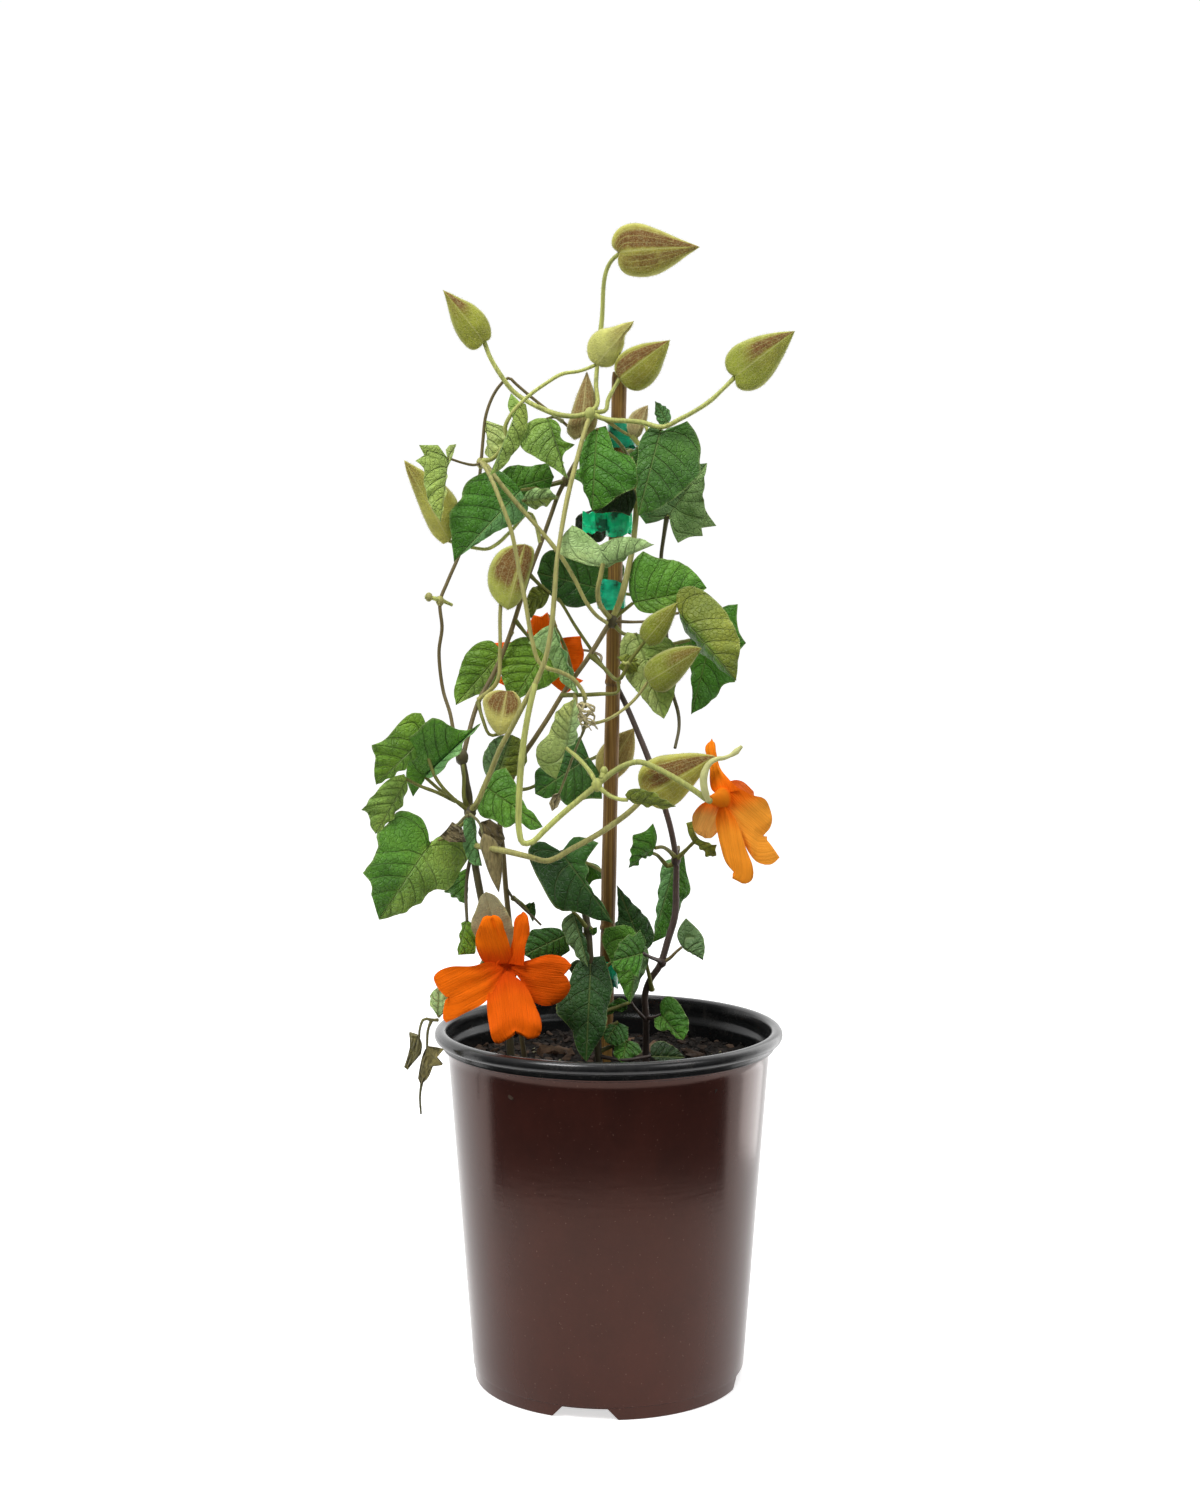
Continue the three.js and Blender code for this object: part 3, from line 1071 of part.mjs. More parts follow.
// The bracts behind each flower, one solid, open round the tube. The right flower shows only
// one, dried to a roll with a curl at its end.
const BRACTS = {
  bracts_front: {
    round: 'flower_front', on: 'vine_left_lower',
    pair: [
      {
        base: [499, 958, -25], tip: [486, 892, -33], rise: [-2, -2], arch: -2,
        a: [[486, 955], [477, 940], [471, 925], [477, 907], [481, 896]],
        b: [[510, 950], [514, 938], [511, 920], [503, 905], [494, 895]],
      },
      {
        base: [499, 958, -25], tip: [520, 928, -24], rise: [-2, -2],
        a: [[498, 946], [502, 935], [510, 927]], b: [[508, 962], [521, 956], [526, 942]],
      },
    ],
  },
  bracts_right: {
    round: 'flower_right', on: 'young_shoot',
    pair: [],
    rolled: [
      stem(1.7, [708, 801, -48.6], [704, 787, -50.6], [704, 775, -51], [709, 764, -50],
        [717, 759, -49]),
      stem(1.1, [714, 760, -49.4], [724, 758, -48], [733, 754, -47], [739, 749, -46]),
    ],
    curl: [740, 748, -46, 1.6],
  },
  bracts_middle: {
    round: 'flower_middle', on: 'vine_right',
    pair: [
      {
        base: [541, 653, 41], tip: [548, 614, 36], rise: [-3, -3],
        a: [[533, 652], [528, 636], [534, 620]], b: [[550, 652], [557, 634], [555, 620]],
      },
      {
        base: [541, 651, 41], tip: [532, 692, 36], rise: [-3, -3],
        a: [[550, 653], [556, 670], [546, 686]], b: [[532, 653], [524, 668], [525, 684]],
      },
    ],
  },
};

// Withered remains, each hanging by a thread from the leafy stem that it grew on.
const WITHERED = {
  withered_pods: {
    on: 'vine_left_lower', plump: 2,
    stems: [
      stem(0.7, [469, 814, -25.5], [464, 818, -28], [458, 824, -29], [448, 830, -29]),
      stem(0.7, [468, 814, -25.5], [474, 817, -28], [480, 824, -31], [483, 836, -31]),
    ],
    knots: [[468, 814, -25.5, 1.4]],
    leaves: {
      bit: {
        base: [447, 829, -29], tip: [466, 842, -29],
        a: [[452, 822], [462, 828]], b: [[440, 836], [450, 842]],
      },
      pod: {
        base: [483, 833, -31], tip: [499, 893, -30],
        a: [[480, 843], [484, 859], [490, 876]], b: [[493, 838], [502, 852], [502, 873]],
      },
    },
  },
  withered_flower: {
    on: 'vine_left_outer', plump: 1.5,
    stems: [
      stem(0.7, [584, 696, -28], [585, 702, -28.5], [586, 708, -28.5]),
      stem(0.7, [586, 722, -28.5], [583, 732, -27], [577, 746, -25], [567, 773, -22], [558, 797, -20]),
    ],
    knots: [],
    leaves: {
      head: {
        base: [585, 703, -28.5], tip: [589, 731, -28.5],
        a: [[577, 708], [576, 716], [579, 726]], b: [[594, 707], [598, 716], [596, 727]],
      },
      tail: {
        base: [559, 793, -20], tip: [552, 811, -20],
        a: [[553, 795], [549, 803]], b: [[561, 799], [558, 807]],
      },
    },
  },
  withered_over_lip: {
    on: 'vine_left_lower', plump: 1.2,
    stems: [
      stem(0.7, [438, 1020, -38], [432, 1020, -39.5], [424, 1019, -40], [420, 1028, -40],
        [419, 1039, -39]),
      stem(0.7, [432, 1019, -39], [428, 1030, -40], [427, 1050, -39]),
      stem(0.7, [434, 1078, -38], [430, 1095, -37], [421, 1114, -36]),
    ],
    knots: [],
    leaves: {
      outer: {
        base: [419, 1036, -39], tip: [411, 1070, -38],
        a: [[409, 1038], [405, 1050], [406, 1062]], b: [[422, 1044], [421, 1056], [417, 1066]],
      },
      inner: {
        base: [427, 1047, -39], tip: [436, 1084, -38],
        a: [[420, 1052], [424, 1066], [428, 1078]], b: [[436, 1049], [443, 1060], [442, 1074]],
      },
    },
  },
};

// What grows on a stem lies a gap away from it, and keeps only what hangs together.
function seated(solid, name) {
  const { stems, knots } = name === 'young_shoot' ? YOUNG_SHOOT : LEAFY[name];
  const carriers = [...stems.map((s) => rodOf(s, GAP)), ...knots.map((k) => knot(k, GAP))];
  return largest(cut(solid, carriers));
}

const plant = new THREE.Group();
plant.name = 'clock_vine_in_pot';

function add(name, solid, material) {
  const mesh = new THREE.Mesh(geometryOf(solid.simplify(SPECK)), material);
  mesh.name = name;
  plant.add(mesh);
}

const intoMix = ['vine_left_lower', 'vine_stake', 'vine_right', 'low_tuft', 'vine_back'];
const holes = intoMix.map((name) => rodOf(LEAFY[name].stems[0], GAP));
const fork = knot(LEFT_LOWER.knots[0], GAP);

add('pot', pot(), FINISH.pot);
add('potting_mix', pottingMix([...holes, stakeRod(GAP)]), FINISH.mix);
add('bamboo_stake', stakeRod(0), FINISH.bamboo);
Object.entries(TIES).forEach(([name, spec]) => add(name, tie(spec), FINISH.tape));
Object.entries(LEAFY).forEach(([name, parts]) => {
  const forks = name === 'vine_left_outer' || name === 'vine_middle' ? [fork] : [];
  add(name, largest(cut(leafyStem(parts), forks)), FINISH.oldStem);
});
add('young_shoot', seated(leafyStem(YOUNG_SHOOT), 'vine_left_lower'), FINISH.youngStem);
Object.entries(BUDS).forEach(([name, spec]) => {
  add(name, seated(blade(spec, BRACT, spec.plump), spec.on), FINISH.bud);
});
Object.entries(FLOWERS).forEach(([name, spec]) => {
  add(name, seated(corolla(spec), spec.on), FINISH[spec.finish]);
});
Object.entries(BRACTS).forEach(([name, spec]) => {
  const { round, on, pair, rolled = [], curl } = spec;
  const rolls = [...rolled.map((s) => rodOf(s)), ...(curl ? [knot(curl)] : [])];
  const both = fuse([...pair.map((one) => blade(one, BRACT)), ...rolls]);
  add(name, seated(cut(both, [corollaTube(FLOWERS[round], GAP)]), on), FINISH.bract);
});
Object.entries(WITHERED).forEach(([name, spec]) => {
  const { stems, knots, leaves, plump, on } = spec;
  const bits = Object.values(leaves).map((leaf) => blade(leaf, LEAF, plump));
  const solid = fuse([...stems.map((s) => rodOf(s)), ...knots.map((k) => knot(k)), ...bits]);
  add(name, seated(solid, on), FINISH.withered);
});

export default plant;
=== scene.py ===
"""The looks of a potted clock vine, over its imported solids: leaves, stems, buds, flowers,
dried remains, cane, tape ties, nursery pot and potting mix. The pieces are in metres."""

import math

import bpy
import numpy as np
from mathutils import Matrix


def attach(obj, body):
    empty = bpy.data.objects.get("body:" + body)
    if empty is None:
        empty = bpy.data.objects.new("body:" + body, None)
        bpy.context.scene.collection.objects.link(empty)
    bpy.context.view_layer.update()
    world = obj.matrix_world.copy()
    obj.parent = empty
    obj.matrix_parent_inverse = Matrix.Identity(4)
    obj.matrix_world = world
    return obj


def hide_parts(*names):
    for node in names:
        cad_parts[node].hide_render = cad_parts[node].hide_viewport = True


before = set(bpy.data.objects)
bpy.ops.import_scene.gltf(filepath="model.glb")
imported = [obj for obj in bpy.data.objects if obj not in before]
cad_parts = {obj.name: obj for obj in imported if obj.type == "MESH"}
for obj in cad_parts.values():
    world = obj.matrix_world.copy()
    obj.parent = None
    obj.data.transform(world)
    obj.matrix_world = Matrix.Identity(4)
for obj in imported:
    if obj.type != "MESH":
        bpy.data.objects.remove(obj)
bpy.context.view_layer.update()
MM = 0.001
TURN = 6.28  # one turn, near enough for random phases
BUD_SEAM = 0.00045  # half a bud's thickness at its margins

# The plant's places are given as (across, down, behind): the first two are read in the front
# view, a frame of 1200 by 1500 seen from the eye below, and the third is how far the place
# lies behind the pot's axis, in millimetres, negative towards the front.
WIDE, HIGH = 1200, 1500
EYE = dict(x=-4.1, y=-1083.3, z=393.3, tilt=0.0857, reach=2310.9)


def seen(places):
    """Metres for front-view places, one or a row of them."""
    across, down, behind = np.asarray(places, float).T
    u = (across - WIDE / 2) / EYE["reach"]
    v = (HIGH / 2 - down) / EYE["reach"]
    c, s = math.cos(EYE["tilt"]), math.sin(EYE["tilt"])
    t = (behind - EYE["y"]) / (c + s * v)
    return np.stack([EYE["x"] + t * u, behind, EYE["z"] + t * (c * v - s)], -1) * MM


def read_off(spot):
    """The front-view place of a spot in metres."""
    x, y, z = spot - np.array([EYE["x"], EYE["y"], EYE["z"]]) * MM
    c, s = math.cos(EYE["tilt"]), math.sin(EYE["tilt"])
    far = y * c - z * s
    return (WIDE / 2 + EYE["reach"] * x / far,
            HIGH / 2 - EYE["reach"] * (z * c + y * s) / far, spot[1] / MM)


def paint(code, light=1.0):
    """Linear red, green and blue of a colour code."""
    parts = [int(code[k:k + 2], 16) / 255 for k in (1, 3, 5)]
    return np.array([light * (p / 12.92 if p < 0.04045 else ((p + 0.055) / 1.055) ** 2.4)
                     for p in parts])


def smooth(low, high, value):
    t = np.clip((np.asarray(value, float) - low) / (high - low), 0, 1)
    return t * t * (3 - 2 * t)


def unit(vectors):
    size = np.linalg.norm(vectors, axis=-1, keepdims=True)
    return vectors / np.maximum(size, 1e-12)


# Mesh making

class Clay:
    """Gathers closed shells, with a colour and pattern places at each point."""

    def __init__(self):
        self.points, self.faces, self.tones, self.lies, self.count = [], [], [], [], 0

    def add(self, points, faces, tone, lie=None):
        points = np.asarray(points, float)
        n = len(points)
        corners = [(f[0], f[k], f[k + 1]) for f in faces for k in range(1, len(f) - 1)]
        p, q, r = np.moveaxis((points - points[0])[np.array(corners)], 1, 0)
        turned = -1 if np.einsum("ij,ij", p, np.cross(q, r)) < 0 else 1
        self.faces += [tuple(k + self.count for k in face[::turned]) for face in faces]
        self.points.append(points)
        self.tones.append(np.broadcast_to(tone, (n, 3)))
        self.lies.append(np.zeros((n, 4)) if lie is None else np.broadcast_to(lie, (n, 4)))
        self.count += n

    def fire(self, name, material, crease=50):
        """The finished mesh object, with its colours in tone and its pattern in lie and rim."""
        mesh = bpy.data.meshes.new(name)
        mesh.from_pydata(np.concatenate(self.points).tolist(), [], self.faces)
        tones = np.concatenate(self.tones)
        rgba = np.concatenate([tones, np.ones((len(tones), 1))], 1).astype(np.float32)
        lies = np.concatenate(self.lies).astype(np.float32)
        for title, kind, key, values in (("tone", "FLOAT_COLOR", "color", rgba),
                                         ("lie", "FLOAT_VECTOR", "vector", lies[:, :3]),
                                         ("rim", "FLOAT", "value", lies[:, 3])):
            mesh.attributes.new(title, kind, "POINT").data.foreach_set(key, values.ravel())
        mesh.polygons.foreach_set("use_smooth", [True] * len(mesh.polygons))
        mesh.materials.append(material)
        mesh.update()
        mesh.set_sharp_from_angle(angle=math.radians(crease))
        return placed(name, mesh)


def placed(name, data):
    """A new object in the scene."""
    made = bpy.data.objects.new(name, data)
    bpy.context.scene.collection.objects.link(made)
    return made


def dress(piece, slot, *nodes):
    """Sets a finished piece on the part in place of its plain solids."""
    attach(piece, "root")
    if nodes:
        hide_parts(*nodes)


def grid_faces(rows, columns, closed=False):
    """The faces of a grid of points, row by row; closed joins the ends of each row."""
    return [(r * columns + c, r * columns + (c + 1) % columns,
             (r + 1) * columns + (c + 1) % columns, (r + 1) * columns + c)
            for r in range(rows - 1) for c in range(columns if closed else columns - 1)]


def pole_faces(rows, around):
    """The faces of closed rings between two poles, the first point and the last."""
    faces, end = [], 1 + (rows - 1) * around
    for c in range(around):
        d = (c + 1) % around
        faces += [(0, 1 + c, 1 + d), (end + d, end + c, end + around)]
        faces += [(p + d, p + c, p + around + c, p + around + d)
                  for p in range(1, end, around)]
    return faces


def walled(faces, count, rim=()):
    """A sheet's faces, those of its back, count points on, and the walls between them,
    which follow the rim's points if they are given."""
    edges = {edge for face in faces for edge in zip(face, (*face[1:], face[0]))}
    ends = zip(rim, (*rim[1:], *rim[:1])) if rim else (
        edge for edge in sorted(edges) if edge[::-1] not in edges)
    walls = [(q, p, p + count, q + count) if (p, q) in edges else (p, q, q + count, p + count)
             for p, q in ends]
    return faces + [tuple(k + count for k in face[::-1]) for face in faces] + walls


def around_turn(count):
    """Even angles round one full turn."""
    return np.linspace(0, 2 * math.pi, count, endpoint=False)


# Stems

def along_curve(knots, step):
    """Evenly spaced points on a centripetal curve through the knots."""
    knots = np.asarray(knots, float)
    if len(knots) == 2:
        count = max(2, int(np.linalg.norm(knots[1] - knots[0]) / step) + 1)
        return knots[0] + np.linspace(0, 1, count)[:, None] * (knots[1] - knots[0])
    ends = [2 * knots[0] - knots[1], *knots, 2 * knots[-1] - knots[-2]]
    dense = []
    for p0, p1, p2, p3 in zip(ends, ends[1:], ends[2:], ends[3:]):
        t0 = 0.0
        t1 = t0 + np.linalg.norm(p1 - p0) ** 0.5
        t2 = t1 + np.linalg.norm(p2 - p1) ** 0.5
        t3 = t2 + np.linalg.norm(p3 - p2) ** 0.5
        t = np.linspace(t1, t2, 24, endpoint=False)[:, None]
        a1 = ((t1 - t) * p0 + (t - t0) * p1) / (t1 - t0)
        a2 = ((t2 - t) * p1 + (t - t1) * p2) / (t2 - t1)
        a3 = ((t3 - t) * p2 + (t - t2) * p3) / (t3 - t2)
        b1 = ((t2 - t) * a1 + (t - t0) * a2) / (t2 - t0)
        b2 = ((t3 - t) * a2 + (t - t1) * a3) / (t3 - t1)
        dense.append(((t2 - t) * b1 + (t - t1) * b2) / (t2 - t1))
    dense = np.concatenate([*dense, [knots[-1]]])
    gone = np.concatenate([[0], np.cumsum(np.linalg.norm(np.diff(dense, axis=0), axis=1))])
    count = max(3, int(gone[-1] / step) + 1)
    at = np.linspace(0, gone[-1], count)
    return np.stack([np.interp(at, gone, dense[:, k]) for k in range(3)], 1)


def tube(clay, path, radii, tone, sides=8, lie=None):
    """A round closed rod along a path, with a radius and a colour at each point of it."""
    path = np.asarray(path, float)
    count = len(path)
    ahead = unit(np.gradient(path, axis=0))
    side = np.cross(ahead[0], [0, 0, 1.0])
    if np.linalg.norm(side) < 0.2:
        side = np.cross(ahead[0], [0, 1.0, 0])
    sides_at = []
    for way in ahead:
        side = side - way * np.dot(side, way)
        side = side / np.linalg.norm(side)
        sides_at.append(side)
    turn = around_turn(sides)[None, :, None]
    rings = (path[:, None] + np.broadcast_to(radii, (count,))[:, None, None] * (
        np.cos(turn) * np.array(sides_at)[:, None]
        + np.sin(turn) * np.cross(ahead, sides_at)[:, None]))
    points = np.concatenate([rings.reshape(-1, 3), path[:1], path[-1:]])
    faces, end, first = grid_faces(count, sides, True), (count - 1) * sides, count * sides
    for j in range(sides):
        k = (j + 1) % sides
        faces += [(first, k, j), (first + 1, end + j, end + k)]
    tone = np.asarray(tone, float)
    if tone.ndim == 2:
        tone = np.concatenate([np.repeat(tone, sides, 0), tone[:1], tone[-1:]])
    clay.add(points, faces, tone, lie)


def ball(clay, centre, radius, tone, stretch=(1, 1, 1.25), seed=1):
    """A lumpy swelling where leaves leave a stem."""
    rows, columns = 6, 12
    rng = np.random.default_rng(seed)
    up = (math.pi * np.arange(1, rows + 1) / (rows + 1))[:, None]
    turn = around_turn(columns)
    rings = np.stack([np.sin(up) * np.cos(turn), np.sin(up) * np.sin(turn),
                      np.tile(-np.cos(up), columns)], -1)
    points = np.concatenate([[(0, 0, -1)], rings.reshape(-1, 3), [(0, 0, 1)]])
    rough = 1 + 0.13 * (rng.random(len(points)) - 0.5) * (np.abs(points[:, 2]) < 0.99)
    points = centre + points * rough[:, None] * radius * np.array(stretch)
    clay.add(points, pole_faces(rows, columns), tone)


def stem(radius, finish, *places):
    return dict(radius=radius, finish=finish, places=places)


def vine(*stems, knots=(), knot_tone="", **leaves):
    return dict(stems=stems, knots=knots, knot_tone=knot_tone, leaves=leaves)


# Blades: leaves, bracts, petals and buds are built between a midrib and two margins.

def leaf(*outline, **more):
    """A blade's tones, if it has its own, its base and tip, and its margins a and b. Of two tones,
    the first goes to the half on the a side of the midrib and the second to the b side, as painted
    light and shade.
    """
    base, tip, a, b = outline[-4:]
    return dict(more, tones=outline[0], base=base, tip=tip, a=a, b=b)


def lobe(tip, a, b, **more):
    return dict(more, tip=tip, a=a, b=b)


def margin_of(spec, margin, rise):
    """A margin's points in metres, and the share of the midrib that each belongs to."""
    base, tip = np.array(spec["base"], float), np.array(spec["tip"], float)
    axis = tip[:2] - base[:2]
    length = np.hypot(*axis)
    spots = np.array(margin, float)
    away = spots - base[:2]
    along = away @ axis / length ** 2
    off = np.abs(away[:, 0] * axis[1] - away[:, 1] * axis[0]) / length
    share = np.maximum.accumulate(np.clip(along - 0.45 * off / length, 0, 1))
    near = np.clip(along, 0, 1)
    depth = (base[2] + (tip[2] - base[2]) * near + rise * off / max(off.max(), 1)
             + spec.get("arch", 0) * 4 * near * (1 - near))
    count = len(spots)
    least = 0.6 / (count + 12)
    share = np.minimum(share, 0.97)
    for k in range(count):
        share[k] = max(share[k], (share[k - 1] if k else 0) + least)
    for k in range(count - 1, -1, -1):
        share[k] = min(share[k], (share[k + 1] if k < count - 1 else 1) - least)
    return seen(np.column_stack([spots, depth])), share


def midrib_at(spec, shares):
    base, tip = np.array(spec["base"], float), np.array(spec["tip"], float)
    shares = np.asarray(shares, float)[:, None]
    places = base + (tip - base) * shares
    places[:, 2] += (spec.get("arch", 0) * 4 * shares * (1 - shares))[:, 0]
    return seen(places)


def edge_at(corners, marks, shares, blunt=50):
    """The margin at any share: smooth through gentle corners, sharp at teeth."""
    steps = np.diff(corners, axis=0)
    sizes = np.linalg.norm(steps, axis=1, keepdims=True)
    ways = steps / np.maximum(sizes, 1e-9)
    leave, arrive = steps.copy(), steps.copy()
    for k in range(1, len(corners) - 1):
        bend = math.degrees(math.acos(np.clip(np.dot(ways[k - 1], ways[k]), -1, 1)))
        if bend < blunt:
            way = unit(ways[k - 1] + ways[k])
            arrive[k - 1] = way * sizes[k - 1]
            leave[k] = way * sizes[k]
    which = np.clip(np.searchsorted(marks, shares, side="right") - 1, 0, len(steps) - 1)
    w = ((shares - marks[which]) / (marks[which + 1] - marks[which]))[:, None]
    p, q = corners[which], corners[which + 1]
    return (p * (2 * w ** 3 - 3 * w ** 2 + 1) + leave[which] * (w ** 3 - 2 * w ** 2 + w)
            + q * (3 * w ** 2 - 2 * w ** 3) + arrive[which] * (w ** 3 - w ** 2))


def rows_of(spec, spacing, blunt=50):
    """The shares of a blade's rows, with the midrib and both margins at each of them."""
    rise = spec.get("rise", (0, 0))
    sides = []
    wanted = [np.linspace(0, 1, 9)]
    base, tip = seen([spec["base"]]), seen([spec["tip"]])
    for margin, lift in ((spec["a"], rise[0]), (spec["b"], rise[1])):
        spots, share = margin_of(spec, margin, lift)
        corners = np.concatenate([base, spots, tip])
        marks = np.concatenate([[0], share, [1]])
        sides.append((corners, marks))
        for k in range(len(marks) - 1):
            size = np.linalg.norm(corners[k + 1] - corners[k])
            wanted.append(np.linspace(marks[k], marks[k + 1], 2 + int(size / spacing)))
    shares = np.unique(np.round(np.concatenate(wanted), 5))
    kept = [0.0]
    for share in shares[1:-1]:
        sharp = any(np.min(np.abs(marks - share)) < 1e-5 for _, marks in sides)
        if share - kept[-1] > (0.002 if sharp else 0.008) and share < 0.997:
            kept.append(share)
    shares = np.array(kept[1:])
    mid = midrib_at(spec, shares)
    a, b = (edge_at(corners, marks, shares, blunt) for corners, marks in sides)
    return shares, mid, a, b, base[0], tip[0]


def sheet_faces(rows, columns):
    """The faces of a grid with one more point before it and one behind."""
    faces, last = [], 1 + (rows - 1) * columns
    for c in range(columns - 1):
        faces += [(0, 2 + c, 1 + c), (last + c, last + c + 1, last + columns)]
    return faces + [tuple(1 + k for k in face) for face in grid_faces(rows, columns)]


def normals_of(points, faces):
    normals = np.zeros_like(points)
    for size in (3, 4):
        some = np.array([face for face in faces if len(face) == size])
        if len(some):
            p = points[some]
            for k in range(size):
                np.add.at(normals, some[:, k],
                          np.cross(p[:, 2] - p[:, 0], p[:, -1] - p[:, 1]))
    return unit(normals)


def blade(clay, spec, tone, under, lift, half=6, spacing=0.0022, thickness=0.00036,
          blunt=50, veins=6, tint=None, ragged=0.0):
    """A thin closed sheet: the side towards the viewer in tone, the far side in under."""
    shares, mid, a, b, base, tip = rows_of(spec, spacing, blunt)
    if ragged:
        rng = np.random.default_rng(int(abs(tip[0] * 1e5)) + len(shares))
        turns = np.linalg.norm(tip - base) / 0.0045
        for edge in (a, b):
            waves = sum(w * np.sin(TURN * turns * k * shares + c) for w, k, c in
                        zip((0.6, 0.4, 0.3), (0.6, 1.0, 1.7), rng.random(3) * TURN))
            edge += unit(edge - mid) * (ragged * waves * np.sin(math.pi * shares))[:, None]
    rows, columns = len(shares), 2 * half + 1
    spread = np.concatenate([-np.linspace(1, 0, half, endpoint=False),
                             np.linspace(0, 1, half + 1)])
    out = np.sign(spread) * np.abs(spread) ** 0.85
    edge = np.where(out[None, :, None] < 0, a[:, None], b[:, None])
    grid = mid[:, None] + (edge - mid[:, None]) * np.abs(out)[None, :, None]
    points = np.concatenate([[base], grid.reshape(-1, 3), [tip]])
    faces = sheet_faces(rows, columns)
    normals = normals_of(points, faces)
    if normals[:, 1].sum() > 0:
        normals = -normals
        faces = [face[::-1] for face in faces]
    size = np.linalg.norm(tip - base)
    share = np.concatenate([[0], np.repeat(shares, columns), [1]])
    t = np.concatenate([[0], np.tile(out, rows), [0]])
    width = np.concatenate([[0], np.linalg.norm(edge - mid[:, None], axis=2).ravel(), [0]])
    points = points + normals * lift(share, t, width)[:, None]
    thin = thickness / 2 * (1 - 0.35 * np.abs(t))[:, None]
    count = len(points)
    shell = np.concatenate([points + normals * thin, points - normals * thin])
    front = np.broadcast_to(tone, (count, 3)) if tint is None else tint(tone, share, t)
    lie = np.stack([veins * share ** 0.7, t * width * 1000, np.full(count, size * 1000 / veins),
                    np.abs(t)], 1)
    rim = [0, *range(1, count - 1, columns), count - 1, *range(count - 2, 0, -columns)]
    clay.add(shell, walled(faces, count, rim),
             np.concatenate([front, np.broadcast_to(under, (count, 3))]),
             np.concatenate([lie, lie]))


# Outlines by rule for the leaves that the front view hides: (along, out) as shares of the
# blade's length and half width, from the stalk round to the tip.
ARROW = [(-0.1, 0.2), (-0.18, 0.6), (-0.02, 1), (0.16, 0.78), (0.36, 0.8), (0.62, 0.42)]


def arrow_leaf(tones, base, tip, half_width):
    axis = np.subtract(tip, base)[:2].astype(float)
    out = np.array([-axis[1], axis[0]]) / np.hypot(*axis)
    sides = [[tuple(np.array(base[:2]) + u * axis + sign * v * half_width * out)
              for u, v in ARROW] for sign in (1, -1)]
    return leaf(tones, base, tip, *sides, rise=(4, 4), arch=-4)


def leaf_lift(seed, quilt=0.95, wave=1.1, veins=6):
    """Swollen fields between the side veins, a sunk midrib and a waved margin."""
    rng = np.random.default_rng(seed)
    phase, turns = rng.random() * TURN, 2 + 3 * rng.random()

    def lift(share, t, width):
        field = np.abs(np.sin(math.pi * (veins * share ** 0.7 - 0.7 * t * t))) ** 0.6
        across = np.sin(math.pi * np.clip(np.abs(t) * 0.92 + 0.04, 0, 1)) ** 0.7
        swell = quilt * MM * field * across * np.clip(width / 0.012, 0, 1)
        groove = -0.4 * MM * np.exp(-(np.abs(t) * width / 0.0009) ** 2)
        ripple = wave * MM * np.abs(t) ** 3 * np.sin(turns * TURN * share + phase + 2 * t)
        ripple = ripple * np.sin(math.pi * share)
        crown = 0.6 * MM * np.sin(math.pi * np.abs(t)) * np.sin(math.pi * share)
        return swell + groove + ripple + crown * np.clip(width / 0.015, 0, 1)
    return lift


def swelling(share):
    return np.sin(math.pi * np.clip(0.12 + 0.86 * share ** 0.75, 0, 1))


def bud(clay, spec, tone, brown, around=28):
    """A closed pair of bracts, swollen between its two margins, with a keel down the front."""
    shares, mid, a, b, base, tip = rows_of(spec, 0.0016, 60)
    rows = len(shares)
    t, s = np.cos(around_turn(around)), np.sin(around_turn(around))
    out = unit(np.cross(unit(b - a), unit(tip - base)))
    if out[:, 1].sum() > 0:
        out = -out
    edge = np.where(t[None, :, None] < 0, a[:, None], b[:, None])
    centre = mid[:, None] + (edge - mid[:, None]) * np.abs(t)[None, :, None]
    plump = spec["plump"] * MM * swelling(shares)
    lobes = 1 - 0.10 * np.exp(-(t / 0.16) ** 2) * np.sign(np.maximum(s, 0))
    keel = 0.35 * MM * np.exp(-(t / 0.05) ** 2) * (s > 0)
    round_off = np.abs(s) ** 0.85 * np.sign(s)
    seam = BUD_SEAM * np.sign(s) * (np.abs(s) > 0.01)
    ribs = 0.12 * MM * np.cos(t * 22) * round_off * swelling(shares)[:, None]
    height = plump[:, None] * (round_off * lobes) + keel + seam + ribs
    rings = centre + out[:, None] * height[:, :, None]
    points = np.concatenate([[base], rings.reshape(-1, 3), [tip]])
    share = np.concatenate([[0], np.repeat(shares, around), [1]])
    tt = np.concatenate([[0], np.tile(t, rows), [0]])
    start, left, right = brown
    stain = smooth(start, start + 0.35, share) * np.where(tt < 0, left, right)
    stain = stain * (1 - smooth(0.62, 0.98, np.abs(tt))) * (1 - 0.8 * np.exp(-(tt / 0.07) ** 2))
    lie = np.stack([share, tt, stain, np.abs(tt)], 1)
    clay.add(points, pole_faces(rows, around), tone, lie)


# Materials

class Value:
    """What a node gives out; every sum with it is one more node in its tree."""

    def __init__(self, socket):
        self.socket, self.tree = socket, socket.id_data

    def __add__(self, other):
        return reckon("ADD", self, other)

    def __sub__(self, other):
        return reckon("SUBTRACT", self, other)

    def __rsub__(self, other):
        return reckon("SUBTRACT", other, self)

    def __mul__(self, other):
        return reckon("MULTIPLY", self, other)

    def __truediv__(self, other):
        return reckon("DIVIDE", self, other)

    def __abs__(self):
        return reckon("ABSOLUTE", self)


def node(tree, kind, links=None, **settings):
    """One shader or geometry node: links are its inputs, settings its own choices."""
    made = tree.nodes.new(kind)
    for name, value in settings.items():
        setattr(made, name, value)
    for name, value in (links or {}).items():
        socket, value = made.inputs[name], getattr(value, "socket", value)
        if isinstance(value, bpy.types.NodeSocket):
            tree.links.new(value, socket)
        elif socket.type == "RGBA":
            socket.default_value = (*np.broadcast_to(value, 3), 1)
        else:
            socket.default_value = value
    return made


def tree_of(*values):
    """The tree that the first of the values lives in."""
    return next(value.tree for value in values if isinstance(value, Value))


def reckon(way, first, second=0.0, clamp=False):
    made = node(tree_of(first, second), "ShaderNodeMath", {0: first, 1: second},
                operation=way, use_clamp=clamp)
    return Value(made.outputs[0])


